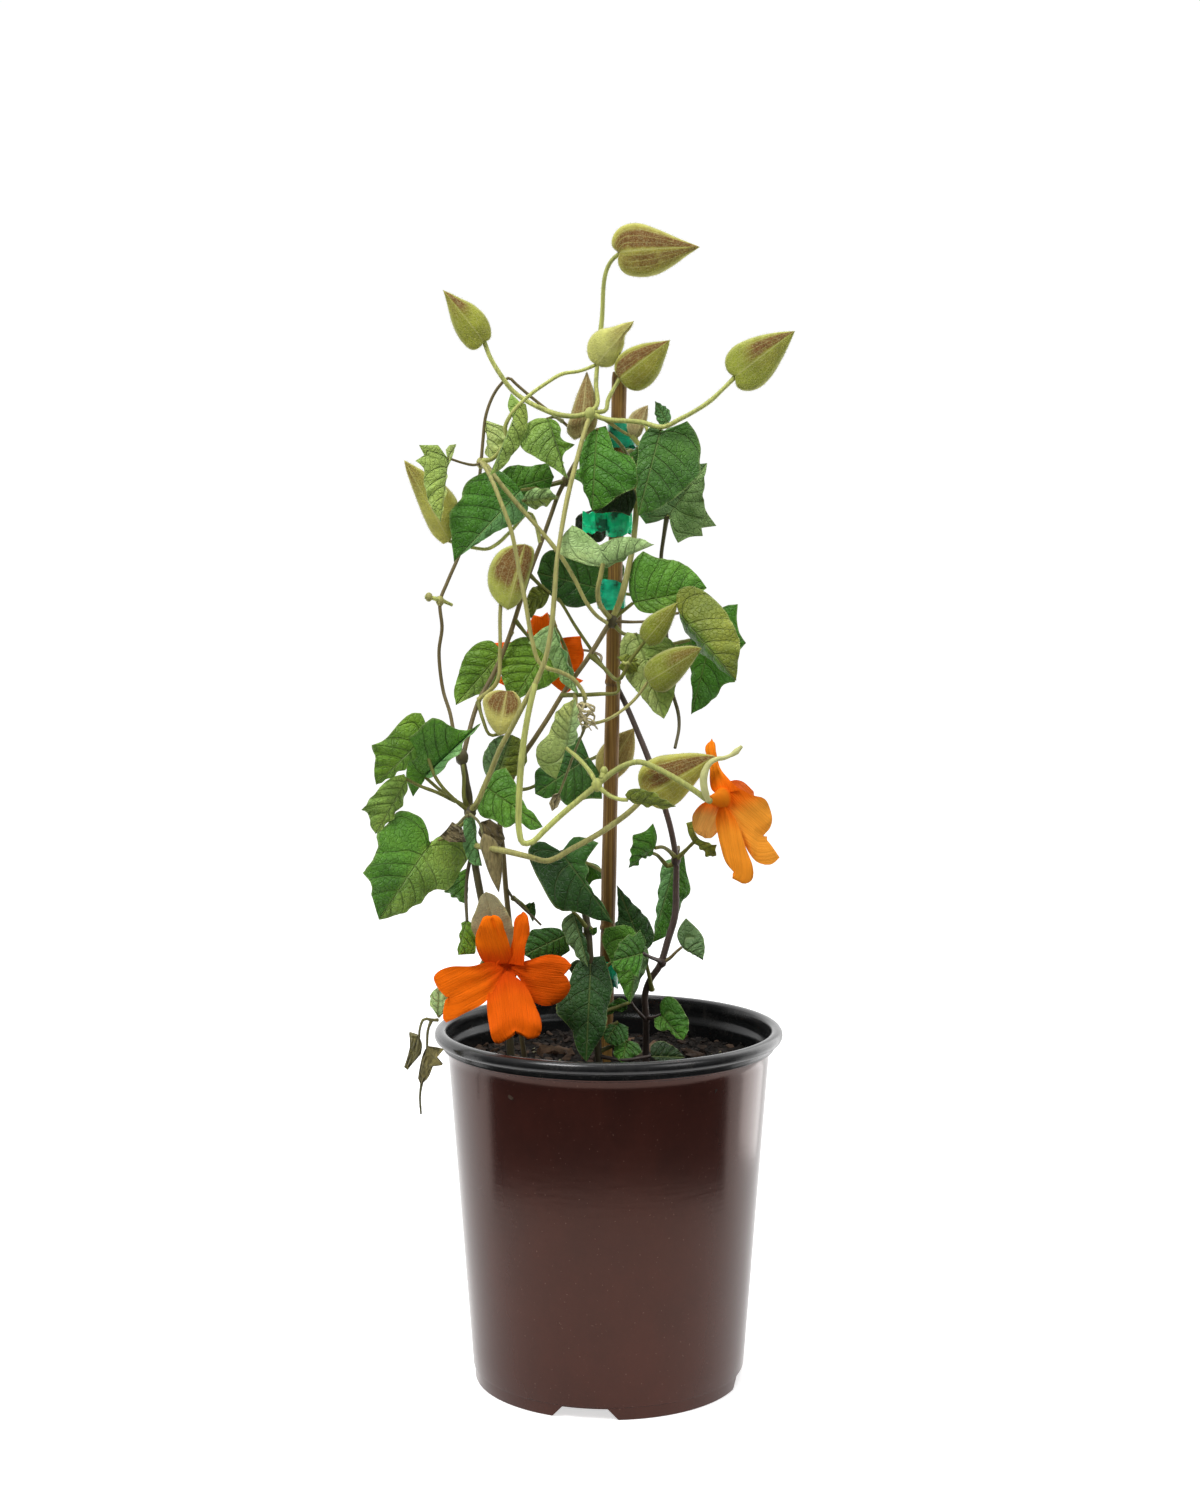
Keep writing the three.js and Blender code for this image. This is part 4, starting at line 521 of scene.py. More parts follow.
def rest_of(value):
    """What a value leaves of one, and never less than nothing."""
    return reckon("SUBTRACT", 1.0, value, True)


def from_whole(value):
    """How far a value lies from the nearest whole number."""
    return abs(reckon("FRACT", value + 0.5) - 0.5)


def ramp(value, *stops):
    """Shades or colours that follow a value from stop to stop."""
    made = node(value.tree, "ShaderNodeValToRGB", dict(Fac=value))
    while len(made.color_ramp.elements) < len(stops):
        made.color_ramp.elements.new(0.5)
    for element, (place, colour) in zip(made.color_ramp.elements, stops):
        element.position = place
        element.color = (*np.broadcast_to(colour, 3), 1)
    return Value(made.outputs["Color"])


def mixed(share, first, second, way="MIX"):
    made = node(tree_of(share, first, second), "ShaderNodeMix",
                {0: share, 6: first, 7: second}, data_type="RGBA", blend_type=way)
    return Value(made.outputs[2])


def shaded(tone, *shades):
    """A tone multiplied by its shades, one after the other."""
    for shade in shades:
        tone = mixed(1.0, tone, shade, "MULTIPLY")
    return tone


def noise(tree, scale, detail=3, rough=0.55, place=None):
    """Noise over the piece itself; a scale of three numbers draws it out."""
    place = place or node(tree, "ShaderNodeTexCoord").outputs["Object"]
    if np.ndim(scale):
        place = node(tree, "ShaderNodeMapping", dict(Vector=place, Scale=scale)).outputs[0]
        scale = 1.0
    return Value(node(tree, "ShaderNodeTexNoise", dict(
        Vector=place, Scale=scale, Detail=detail, Roughness=rough)).outputs["Fac"])


def carried(tree, name, kind="Fac"):
    """What the points of a piece carry under a name."""
    return Value(node(tree, "ShaderNodeAttribute", attribute_name=name).outputs[kind])


def parts_of(vector):
    made = node(vector.tree, "ShaderNodeSeparateXYZ", dict(Vector=vector))
    return [Value(part) for part in made.outputs]


def finish(name, colour, relief, depth, **fixed):
    """A material from the makers of its colour and its relief, with its fixed numbers."""
    material = bpy.data.materials.new(name)
    material.use_nodes = True
    tree = material.node_tree
    surface = tree.nodes["Principled BSDF"]
    for key, value in fixed.items():
        surface.inputs[key.replace("_", " ")].default_value = value
    tree.links.new(colour(tree).socket, surface.inputs["Base Color"])
    bump = node(tree, "ShaderNodeBump", dict(Height=relief(tree), Distance=depth))
    tree.links.new(bump.outputs["Normal"], surface.inputs["Normal"])
    return material


def grained(name, grains, relief, depth, **fixed):
    """A finish that shades the piece's own tone by grains: each a noise and its stops."""
    def colour(tree):
        return shaded(carried(tree, "tone", "Color"),
                      *(ramp(noise(tree, *grain), *stops) for grain, *stops in grains))

    return finish(name, colour, lambda tree: noise(tree, *relief), depth, **fixed)


def vein_effect():
    """Side veins, midrib, fine net and rim, from the places that each blade carries."""
    tree = bpy.data.node_groups.new("blade veins", "ShaderNodeTree")
    along, across, apart = parts_of(carried(tree, "lie", "Vector"))
    rim = carried(tree, "rim")
    count = along + rim * rim * -0.7 + (noise(tree, 260) - 0.5) * 0.14
    side = rest_of(from_whole(count) * apart / (0.5 - rim * 0.36))
    cells = node(tree, "ShaderNodeTexVoronoi", dict(Scale=430.0, Vector=node(
        tree, "ShaderNodeTexCoord").outputs["Object"]), feature="DISTANCE_TO_EDGE")
    given = dict(Side=side, Middle=rest_of(abs(across) / 0.6),
                 Net=rest_of(Value(cells.outputs["Distance"]) * 7.0), Rim=rim)
    for title in given:
        tree.interface.new_socket(name=title, in_out="OUTPUT", socket_type="NodeSocketFloat")
    node(tree, "NodeGroupOutput", given)
    return tree


VEINS = vein_effect()


def veins_in(tree):
    return [Value(way) for way in node(tree, "ShaderNodeGroup", node_tree=VEINS).outputs]


def leaf_colour(tree):
    side, middle, net, rim = veins_in(tree)
    # Mottling of the leaf's own tone, spread wide enough to stand in for light and shade across the
    # leaf: partly painted light and shade.
    mottle_and_painted_light = ramp(noise(tree, 42), (0.3, (0.55, 0.62, 0.48)), (0.5, 1.0),
                 (0.7, (1.4, 1.26, 1.15)))
    tone = shaded(carried(tree, "tone", "Color"), mottle_and_painted_light,
                  ramp(noise(tree, 750), (0.3, 0.84), (0.7, 1.12)))
    pale = mixed(0.5, tone, paint("#b3c47c"))
    tone = mixed(net * 0.3, tone, shaded(tone, (0.62, 0.7, 0.55)))
    tone = mixed(side * 0.26, tone, pale)
    tone = mixed(middle * 0.6, tone, pale)
    return mixed(ramp(rim, (0.94, 0.0), (0.99, 1.0)) * 0.6, tone, pale)


def leaf_relief(tree):
    side, middle, net, _ = veins_in(tree)
    down = noise(tree, 1400, 2) * 0.2 + noise(tree, 200, 2) * 0.8
    return down - reckon("MAXIMUM", net * 0.3, reckon("MAXIMUM", side, middle))


def bud_finish(name, stained):
    """Ribbed velvet, pale at the keel, paler towards the rim (partly the bracts' own pale margins,
    partly painted sheen of the velvet), with as much brown as its stain says.
    """
    def colour(tree):
        _, across, stain = parts_of(carried(tree, "lie", "Vector"))
        tone = shaded(carried(tree, "tone", "Color"),
                      ramp(noise(tree, 150, 4), (0.3, 0.76), (0.7, 1.2)))
        rib = from_whole((across + noise(tree, 300) * 0.12) * 4.2)
        between = ramp(rib, (0.02, 0.6), (0.12, 1.0))
        cloud = ramp(noise(tree, 330, 5), (0.3, 0.7), (0.5, 1.0))
        brown = mixed(noise(tree, 420, 4), paint("#5f3a14"), paint("#966c36"))
        tone = mixed(reckon("MULTIPLY", stain * between * cloud, stained, True), tone, brown)
        pale = mixed(0.55, tone, paint("#dcd896"))
        tone = mixed(ramp(rib, (0.02, 0.7), (0.09, 0.0)) * 0.5, tone, pale)
        tone = mixed(ramp(noise(tree, 1300, 2), (0.45, 0.0), (0.75, 0.6)), tone, pale)
        tone = mixed(rest_of(abs(across) * 22.0), tone, pale)
        # painted sheen of the velvet, with the margins' own paleness, towards the rim
        return mixed(ramp(carried(tree, "rim"), (0.86, 0.0), (1.0, 0.7)), tone, pale)

    return finish(name, colour, lambda tree: noise(tree, 1400), 0.0005, Roughness=0.74,
                  Sheen_Weight=0.2, Sheen_Roughness=0.45, Specular_IOR_Level=0.25)


def petal_fold(tree):
    """Fine folds that run from the throat to a lobe's end."""
    along, across, _ = parts_of(carried(tree, "lie", "Vector"))
    fan = node(tree, "ShaderNodeCombineXYZ", dict(X=across, Y=along * 0.35))
    return noise(tree, 1.6, 3, 0.5, fan.outputs["Vector"])


def petal_colour(tree):
    return shaded(carried(tree, "tone", "Color"),
                  ramp(noise(tree, 90), (0.3, 0.93), (0.7, 1.06)),
                  ramp(petal_fold(tree), (0.4, 0.93), (0.6, 1.04)))


def petal_relief(tree):
    return petal_fold(tree) + noise(tree, 2000, 2) * 0.3


def pot_relief(tree):
    """The faint level lines of a drawn plastic wall."""
    return noise(tree, (60, 60, 420), 3, 0.5) * 0.6 + noise(tree, 500, 2) * 0.25


def wall_colour(tree):
    cloud = ramp(noise(tree, (40, 40, 26), 5, 0.6), (0.32, paint("#291310")),
                 (0.68, paint("#341813")))
    speck = ramp(noise(tree, 850, 1), (0.735, 0.0), (0.775, 0.2))
    return mixed(speck, cloud, paint("#8d7468"))


def black_colour(tree):
    return ramp(noise(tree, 140, 5, 0.7), (0.5, paint("#101112")), (0.8, paint("#33312f")))


def stem_finish(name, **fixed):
    streak = ((900, 900, 90), 4, 0.6)
    return grained(name, [(streak, (0.32, 0.72), (0.68, 1.2))], ((1100, 1100, 160), 4, 0.6),
                   0.00016, Sheen_Roughness=0.4, **fixed)


CREASES = ((700, 700, 220), 5, 0.65)
BARK_GRAIN = ((300, 300, 900), 5, 0.65)
CANE_FIBRE = ((1500, 1500, 14), 5, 0.65)
CANE_CLOUD = ((130, 130, 22), 3, 0.5)

LEAF = finish("soft hairy leaf", leaf_colour, leaf_relief, 0.0008, Roughness=0.5,
              Sheen_Weight=0.05, Sheen_Roughness=0.4, Specular_IOR_Level=0.38)
OLD_STEM = stem_finish("old stem", Roughness=0.6, Sheen_Weight=0.05)
YOUNG_STEM = stem_finish("young stem", Roughness=0.62, Sheen_Weight=0.15)
BUD = bud_finish("velvet bud", 1.0)
BRACT = bud_finish("pale bract", 0.0)
PETAL = finish("matt petal", petal_colour, petal_relief, 0.0004, Roughness=0.7,
               Specular_IOR_Level=0.08)
WITHERED_SKIN = grained(
    "dried bract", [(CREASES, (0.3, 0.45), (0.55, 1.0), (0.75, 1.45))], CREASES, 0.0006,
    Roughness=0.85, Sheen_Weight=0.2, Specular_IOR_Level=0.25)
POT_WALL_BROWN = finish("brown pot plastic", wall_colour, pot_relief, 0.00005, Roughness=0.18,
                        Specular_IOR_Level=0.43, Specular_Tint=(1, 0.62, 0.52, 1))
POT_LIP_BLACK, POT_INSIDE = (
    finish(name, black_colour, pot_relief, 0.00012, Roughness=0.24, Specular_IOR_Level=shine)
    for name, shine in (("black lip plastic", 0.5), ("black inside plastic", 0.22)))
MIX = grained(
    "bark and peat mix", [((420, 5, 0.7), (0.3, paint("#070605")), (0.55, paint("#14100c")),
                           (0.75, paint("#2c2119")))], (900, 4, 0.7), 0.0006,
    Roughness=0.93, Specular_IOR_Level=0.2)
BARK_CRUMB = grained("bark crumb", [(BARK_GRAIN, (0.3, 0.55), (0.7, 1.35))], BARK_GRAIN,
                     0.0005, Roughness=0.85, Specular_IOR_Level=0.25)
CANE = grained(
    "dry cane", [(CANE_FIBRE, (0.3, paint("#563a17")), (0.5, paint("#84622c")),
                  (0.72, paint("#ae8a4c"))), (CANE_CLOUD, (0.3, 0.72), (0.7, 1.16))],
    CANE_FIBRE, 0.0002, Roughness=0.55, Specular_IOR_Level=0.35)
# The tape's grain spots it darker and lighter: painted shade and light of its crumpled folds, on a
# tape of one green.
TAPE = grained(
    "stretch tape", [((150,), (0.36, 0.25), (0.43, 1.0), (0.58, 1.7))],
    ((240, 240, 620), 3, 0.5), 0.0004, Roughness=0.2, Specular_IOR_Level=0.6,
    Coat_Weight=0.3, Coat_Roughness=0.1)


# Growing: hairs and crumbs are strewn over a surface by Geometry Nodes.

STREWING = dict(
    Density=("NodeSocketFloat", 100000.0), Least=("NodeSocketFloat", 0.0005),
    Most=("NodeSocketFloat", 0.001), Seed=("NodeSocketInt", 1),
    Dark=("NodeSocketVector", (0.5, 0.5, 0.5)), Light=("NodeSocketVector", (0.5, 0.5, 0.5)))
SIZE_SEED, TONE_SEED = 40.0, 80.0  # added to the tree's own seed


def strewing_tree(name, shape, material):
    """A tree that strews a shape over a surface, in sizes and tones between two given ones."""
    tree = bpy.data.node_groups.new(name, "GeometryNodeTree")
    tree.interface.new_socket(name="Surface", in_out="INPUT",
                              socket_type="NodeSocketGeometry")
    for title, (kind, value) in STREWING.items():
        socket = tree.interface.new_socket(name=title, in_out="INPUT", socket_type=kind)
        socket.default_value = value
    tree.interface.new_socket(name="Strewn", in_out="OUTPUT",
                              socket_type="NodeSocketGeometry")
    given = tree.nodes.new("NodeGroupInput").outputs
    seed = Value(given["Seed"])
    spots = node(tree, "GeometryNodeDistributePointsOnFaces", dict(
        Mesh=given["Surface"], Density=given["Density"], Seed=seed))
    lean = node(tree, "FunctionNodeRandomValue", {
        0: (-0.5, -0.5, -3.1), 1: (0.5, 0.5, 3.1), "Seed": seed}, data_type="FLOAT_VECTOR")
    turned = node(tree, "FunctionNodeRotateRotation", {
        "Rotation": spots.outputs["Rotation"], "Rotate By": lean.outputs[0]},
        rotation_space="LOCAL")
    size = node(tree, "FunctionNodeRandomValue", {
        2: given["Least"], 3: given["Most"], "Seed": seed + SIZE_SEED}, data_type="FLOAT")
    grown = node(tree, "GeometryNodeInstanceOnPoints", dict(
        Points=spots.outputs["Points"], Instance=shape(tree),
        Rotation=turned.outputs["Rotation"], Scale=size.outputs[1]))
    luck = node(tree, "FunctionNodeRandomValue", dict(Seed=seed + TONE_SEED),
                data_type="FLOAT")
    tone = mixed(Value(luck.outputs[1]), given["Dark"], given["Light"])
    toned = node(tree, "GeometryNodeStoreNamedAttribute", dict(
        Geometry=grown.outputs["Instances"], Name="tone", Value=tone),
        data_type="FLOAT_COLOR", domain="INSTANCE")
    real = node(tree, "GeometryNodeRealizeInstances", dict(
        Geometry=toned.outputs["Geometry"]))
    dressed = node(tree, "GeometryNodeSetMaterial", dict(
        Geometry=real.outputs["Geometry"], Material=material))
    node(tree, "NodeGroupOutput", dict(Strewn=dressed.outputs["Geometry"]))
    return tree


def strewn(surface, name, tree, **sizes):
    """The plain mesh of what the tree strews over the surface object."""
    modifier = surface.modifiers.new(name, "NODES")
    modifier.node_group = tree
    for item in tree.interface.items_tree:
        if item.in_out == "INPUT" and item.name in sizes:
            modifier[item.identifier] = sizes[item.name]
    surface.update_tag()
    evaluated = surface.evaluated_get(bpy.context.evaluated_depsgraph_get())
    mesh = bpy.data.meshes.new_from_object(evaluated)
    surface.modifiers.remove(modifier)
    mesh.name = name
    return placed(name, mesh)


def hair_shape(tree):
    """A three-sided hair one unit long."""
    cone = node(tree, "GeometryNodeMeshCone", {
        "Vertices": 3, "Radius Bottom": 0.036, "Radius Top": 0.01, "Depth": 1.0})
    return cone.outputs["Mesh"]


def crumb_shape(tree):
    """An angular crumb: a low ball, squashed and dented."""
    crumb = node(tree, "GeometryNodeMeshIcoSphere", {"Radius": 0.5, "Subdivisions": 1})
    place = node(tree, "GeometryNodeInputPosition").outputs["Position"]
    dent = node(tree, "ShaderNodeTexNoise", dict(Vector=place, Scale=2.2))
    shift = node(tree, "ShaderNodeVectorMath", {0: dent.outputs["Color"], 1: (0.5, 0.5, 0.5)},
                 operation="SUBTRACT")
    moved = node(tree, "GeometryNodeSetPosition", dict(
        Geometry=crumb.outputs["Mesh"], Offset=shift.outputs["Vector"]))
    flat = node(tree, "GeometryNodeTransform", dict(
        Geometry=moved.outputs["Geometry"], Scale=(1.5, 0.85, 0.55)))
    return flat.outputs["Geometry"]


HAIRS = strewing_tree("hairs", hair_shape, YOUNG_STEM)
CRUMBS = strewing_tree("crumbs", crumb_shape, BARK_CRUMB)


# The plant

LEFT_LOWER = vine(
    stem(1.7, "bark", (512, 1085, -14), (509, 1030, -16), (500, 975, -18), (486, 920, -20),
        (476, 870, -21), (472, 840, -21), (470, 812, -20)),
    stem(1.5, "bark", (470, 812, -20), (469, 795, -20), (466, 780, -19), (462, 757, -18)),
    stem(0.9, "olive", (496, 952, -19), (497, 955, -21), (499, 957, -23)),
    stem(0.8, "olive", (492, 945, -19), (478, 970, -24), (458, 995, -31), (438, 1017, -37)),
    stem(0.9, "olive", (468, 808, -20), (464, 797, -23), (464, 778, -23), (463, 764, -19)),
    stem(0.8, "olive", (470, 810, -20), (456, 801, -21), (440, 790, -21), (425, 777, -20.5)),
    stem(0.8, "olive", (471, 815, -20), (456, 830, -20), (444, 838, -20), (431, 843, -20)),
    stem(0.8, "bark", (473, 850, -21), (468, 870, -18), (466, 895, -20), (467, 921, -25)),
    stem(0.8, "olive", (472, 812, -20), (478, 804, -16), (480, 796, -14), (486, 787, -14)),
    stem(0.8, "olive", (479, 801, -15), (488, 788, -10), (498, 776, -8)),
    stem(1.45, "straw", (472, 845, -21), (488, 848, -31), (505, 851, -36), (530, 857, -38),
        (546, 861, -38), (556, 858, -37.5), (568, 851, -37), (600, 833, -36), (628, 813, -36),
        (645, 797, -37)),
    stem(0.8, "olive", (470, 812, -20), (455, 800, -24), (436, 778, -27), (423, 739, -24.5)),
    stem(0.8, "olive", (456, 801, -21), (436, 792, -24), (420, 786, -25), (406, 779, -24.5)),
    knots=[(462, 757, -18, 3.4), (470, 812, -20, 3.2)],
    upper_left=leaf("moss spring", (424, 738, -25), (376, 785, -35), [(426, 724), (421, 713),
        (412, 713), (398, 724), (384, 740), (371, 745), (375, 758), (374, 772)], [(419, 752),
        (409, 764), (398, 773), (388, 779)], rise=(-3, 4), arch=-4),
    inner_left=leaf("grass mint", (424, 777, -20), (481, 723, -30), [(413, 797), (406, 778),
        (407, 762), (402, 742), (414, 734), (427, 721), (440, 719), (450, 725), (464, 731)],
        [(431, 778), (444, 768), (455, 757), (464, 744), (471, 734)], rise=(-7, -6), arch=-3),
    pale_left=leaf("lime", (407, 779, -25), (376, 834, -34), [(404, 774), (393, 777), (380, 787),
        (371, 798), (361, 810), (368, 813), (370, 825)], [(407, 790), (402, 804), (395, 815),
        (386, 825)], rise=(-4, 3)),
    big_left=leaf("grass lime", (431, 843, -20), (379, 920, -36), [(427, 837), (425, 824),
        (420, 817), (399, 811), (386, 825), (376, 834), (378, 847), (363, 873), (370, 882),
        (372, 896)], [(440, 836), (455, 838), (468, 842), (470, 854), (461, 870), (447, 890),
        (434, 890), (418, 904), (400, 914)], rise=(-6, 8), arch=-5),
    bluish=leaf("mint", (471, 813, -23), (482, 866, -25), [(464, 816), (463, 832), (464, 850),
        (472, 864)], [(475, 820), (477, 840), (480, 856)]),
    under_big=leaf("grass", (467, 868, -17), (467, 905, -13), [(460, 872), (452, 880), (445, 891),
        (452, 896), (460, 901)], [(468, 875), (468, 886), (468, 896)], rise=(5, 0)),
    beside_flower=leaf("moss", (467, 920, -25), (458, 955, -28), [(461, 923), (461, 934),
        (458, 945)], [(474, 925), (477, 940), (474, 954)], rise=(2, 2)),
    over_lip=leaf("milk", (438, 1017, -37), (440, 985, -42), [(432, 1008), (430, 996)],
        [(446, 1008), (448, 995)], rise=(1, 1)),
    streaked=leaf("gray olive", (497, 777, -8), (512, 735, -14), [(488, 779), (484, 770),
        (483, 757), (488, 746), (497, 737)], [(507, 778), (518, 775), (526, 764), (526, 750),
        (520, 739)], rise=(2, 3)),
    right=leaf("grass", (486, 787, -14), (543, 827, -20), [(479, 794), (477, 805), (480, 815),
        (495, 821), (507, 828), (518, 822), (531, 830)], [(494, 772), (506, 768), (515, 782),
        (526, 806), (535, 815)], rise=(-3, 4), arch=-3),
)
LEFT_OUTER = vine(
    stem(1.1, "brown", (461, 754, -19), (455, 738, -21), (450, 713, -19), (443, 690, -16),
        (439, 652, -15), (442, 628, -15), (440, 602, -15), (447, 583, -14), (457, 560, -12),
        (466, 535, 7), (474, 505, 11), (479, 480, 6), (481, 463, 0), (483, 440, 0), (486, 415, 0),
        (494, 394, 0), (503, 382, 0), (509, 378, 0), (516, 384, 0), (530, 396, 0), (545, 408, 1),
        (562, 421, 3), (578, 436, 5)),
    stem(0.8, "brown", (481, 463, 0), (474, 465, -7), (463, 463, -14), (448, 458, -19.5)),
    stem(1.15, "straw", (481, 462, 0), (485, 467, -9), (491, 478, -16), (500, 500, -21),
        (511, 530, -23), (519, 570, -24), (525, 600, -27), (532, 640, -29), (539, 662, -30),
        (547, 668, -30), (560, 672, -30), (573, 679, -29), (583, 692, -28), (586, 700, -28)),
    stem(1.1, "straw", (482, 462, 0), (488, 467, -8), (500, 483, -14), (520, 507, -15),
        (540, 530, -16), (560, 555, -17), (575, 580, -18), (586, 602, -18), (596, 615, -15),
        (607, 623, -9)),
    stem(0.9, "fresh", (482, 461, 0), (492, 459, -6), (501, 450, -10), (507, 438, -12),
        (505, 428, -13), (512, 413, -14), (522, 402, -14), (531, 394, -14), (545, 384, -12),
        (562, 374, -8), (580, 371, -5), (598, 364, -3.2)),
    stem(0.8, "fresh", (442, 601, -15), (433, 598, -17), (425, 597, -18)),
    stem(0.7, "fresh", (441, 600, -15), (452, 605, -11)),
    stem(0.7, "olive", (562, 421, 3), (554, 417, -6), (547, 419, -11)),
    knots=[(440, 601, -15, 2.2), (481, 463, 0, 2.4), (429, 597, -17.5, 1.9)],
    knot_tone="straw",
    pale_hanging=leaf("pale light", (449, 457, -19), (441, 522, -28), [(442, 455), (438, 445),
        (419, 445), (424, 455), (415, 461), (423, 468), (424, 482), (430, 505)], [(446, 450),
        (450, 445), (456, 444), (450, 457), (447, 472), (446, 492)], rise=(-4, 2)),
    pale_toothed=leaf("light", (485, 420, 0), (489, 459, -4), [(485, 432), (488, 441), (485, 450)],
        [(497, 424), (506, 427), (505, 440), (499, 451)], rise=(2, -3)),
    pale_narrow=leaf("lime pale", (520, 402, -14), (490, 475, -20), [(511, 393), (508, 405),
        (512, 418), (512, 434), (504, 450), (494, 464)], [(526, 404), (528, 420), (522, 440),
        (512, 456), (500, 470)], rise=(3, 3)),
    pale_broad=leaf("lime moss", (547, 418, -11), (568, 479, -20), [(535, 419), (519, 430),
        (521, 447), (535, 457), (553, 468)], [(556, 421), (561, 429), (562, 439), (574, 444),
        (563, 457), (563, 467)], rise=(3, -2), arch=-2),
)
MIDDLE = vine(
    stem(1.5, "brown", (464, 753, -16), (468, 736, -12), (478, 703, -6), (494, 673, -2),
        (508, 640, -1), (520, 603, 0), (530, 572, 2), (541, 543, 3), (551, 515, 5), (559, 493, 7),
        (566, 480, 8), (576, 462, 9), (586, 450, 10)),
    stem(0.8, "olive", (566, 481, 8), (552, 485, 6), (536, 488, 3), (521, 490, 0)),
    stem(0.8, "fresh", (541, 543, 3), (530, 513, 9), (510, 532, 1), (497, 544, -6), (487, 549, -9),
        (475, 548, -9), (462, 545, -8.5), (449, 541, -8)),
    stem(0.8, "olive", (557, 498, 6), (545, 495, -3), (532, 498, -8), (522, 501, -8.5)),
    stem(0.8, "straw", (512, 632, -1), (508, 640, 3), (502, 652, 4)),
    stem(1.1, "straw", (478, 700, -6), (497, 682, -9), (500, 650, -9), (500, 620, -9),
        (501, 596, -9)),
    stem(0.8, "olive", (530, 575, 2), (540, 585, 5), (550, 593, 6.5)),
    stem(0.8, "olive", (515, 620, -1), (530, 638, 2), (545, 650, 2.5)),
    stem(0.8, "olive", (478, 702, -6), (483, 720, -12), (490, 735, -13.5), (500, 734, -13)),
    stem(0.8, "brown", (566, 480, 8), (540, 486, 10), (510, 492, 7), (500, 492, 5)),
    knots=[(566, 481, 8, 2.4)],
    quilted=leaf("green mint", (521, 490, 0), (454, 562, -17), [(509, 477), (496, 470), (483, 473),
        (466, 483), (460, 500), (450, 512), (451, 535)], [(528, 508), (519, 522), (500, 530),
        (482, 541), (464, 553)], rise=(-1, 2), arch=-3),
    dark_top=leaf("grass green", (500, 492, 5), (554, 477, 1), [(497, 477), (510, 466), (530, 466),
        (548, 463)], [(512, 502), (530, 501), (547, 493)], rise=(2, 3)),
    pale_curl=leaf("mist pale", (522, 501, -8.5), (557, 497, -13), [(528, 491), (540, 488),
        (550, 490)], [(532, 508), (545, 506)], rise=(-2, 4)),
    olive=leaf("olive", (550, 594, 6.5), (526, 600, 4), [(543, 584), (532, 588)], [(545, 605),
        (535, 612), (531, 619), (527, 609)], rise=(1, 1)),
    dark_left=leaf("moss lime", (502, 652, 4), (456, 705, -1), [(492, 641), (480, 642), (469, 650),
        (462, 662), (458, 676), (454, 690)], [(502, 668), (496, 684), (484, 692), (470, 698)],
        rise=(2, 2), arch=3),
    dark_middle=leaf("moss", (545, 650, 2.5), (513, 702, -4), [(535, 640), (524, 637), (510, 643),
        (502, 656), (501, 672), (506, 690)], [(556, 660), (561, 675), (548, 686), (528, 694)],
        rise=(2, 2)),
)
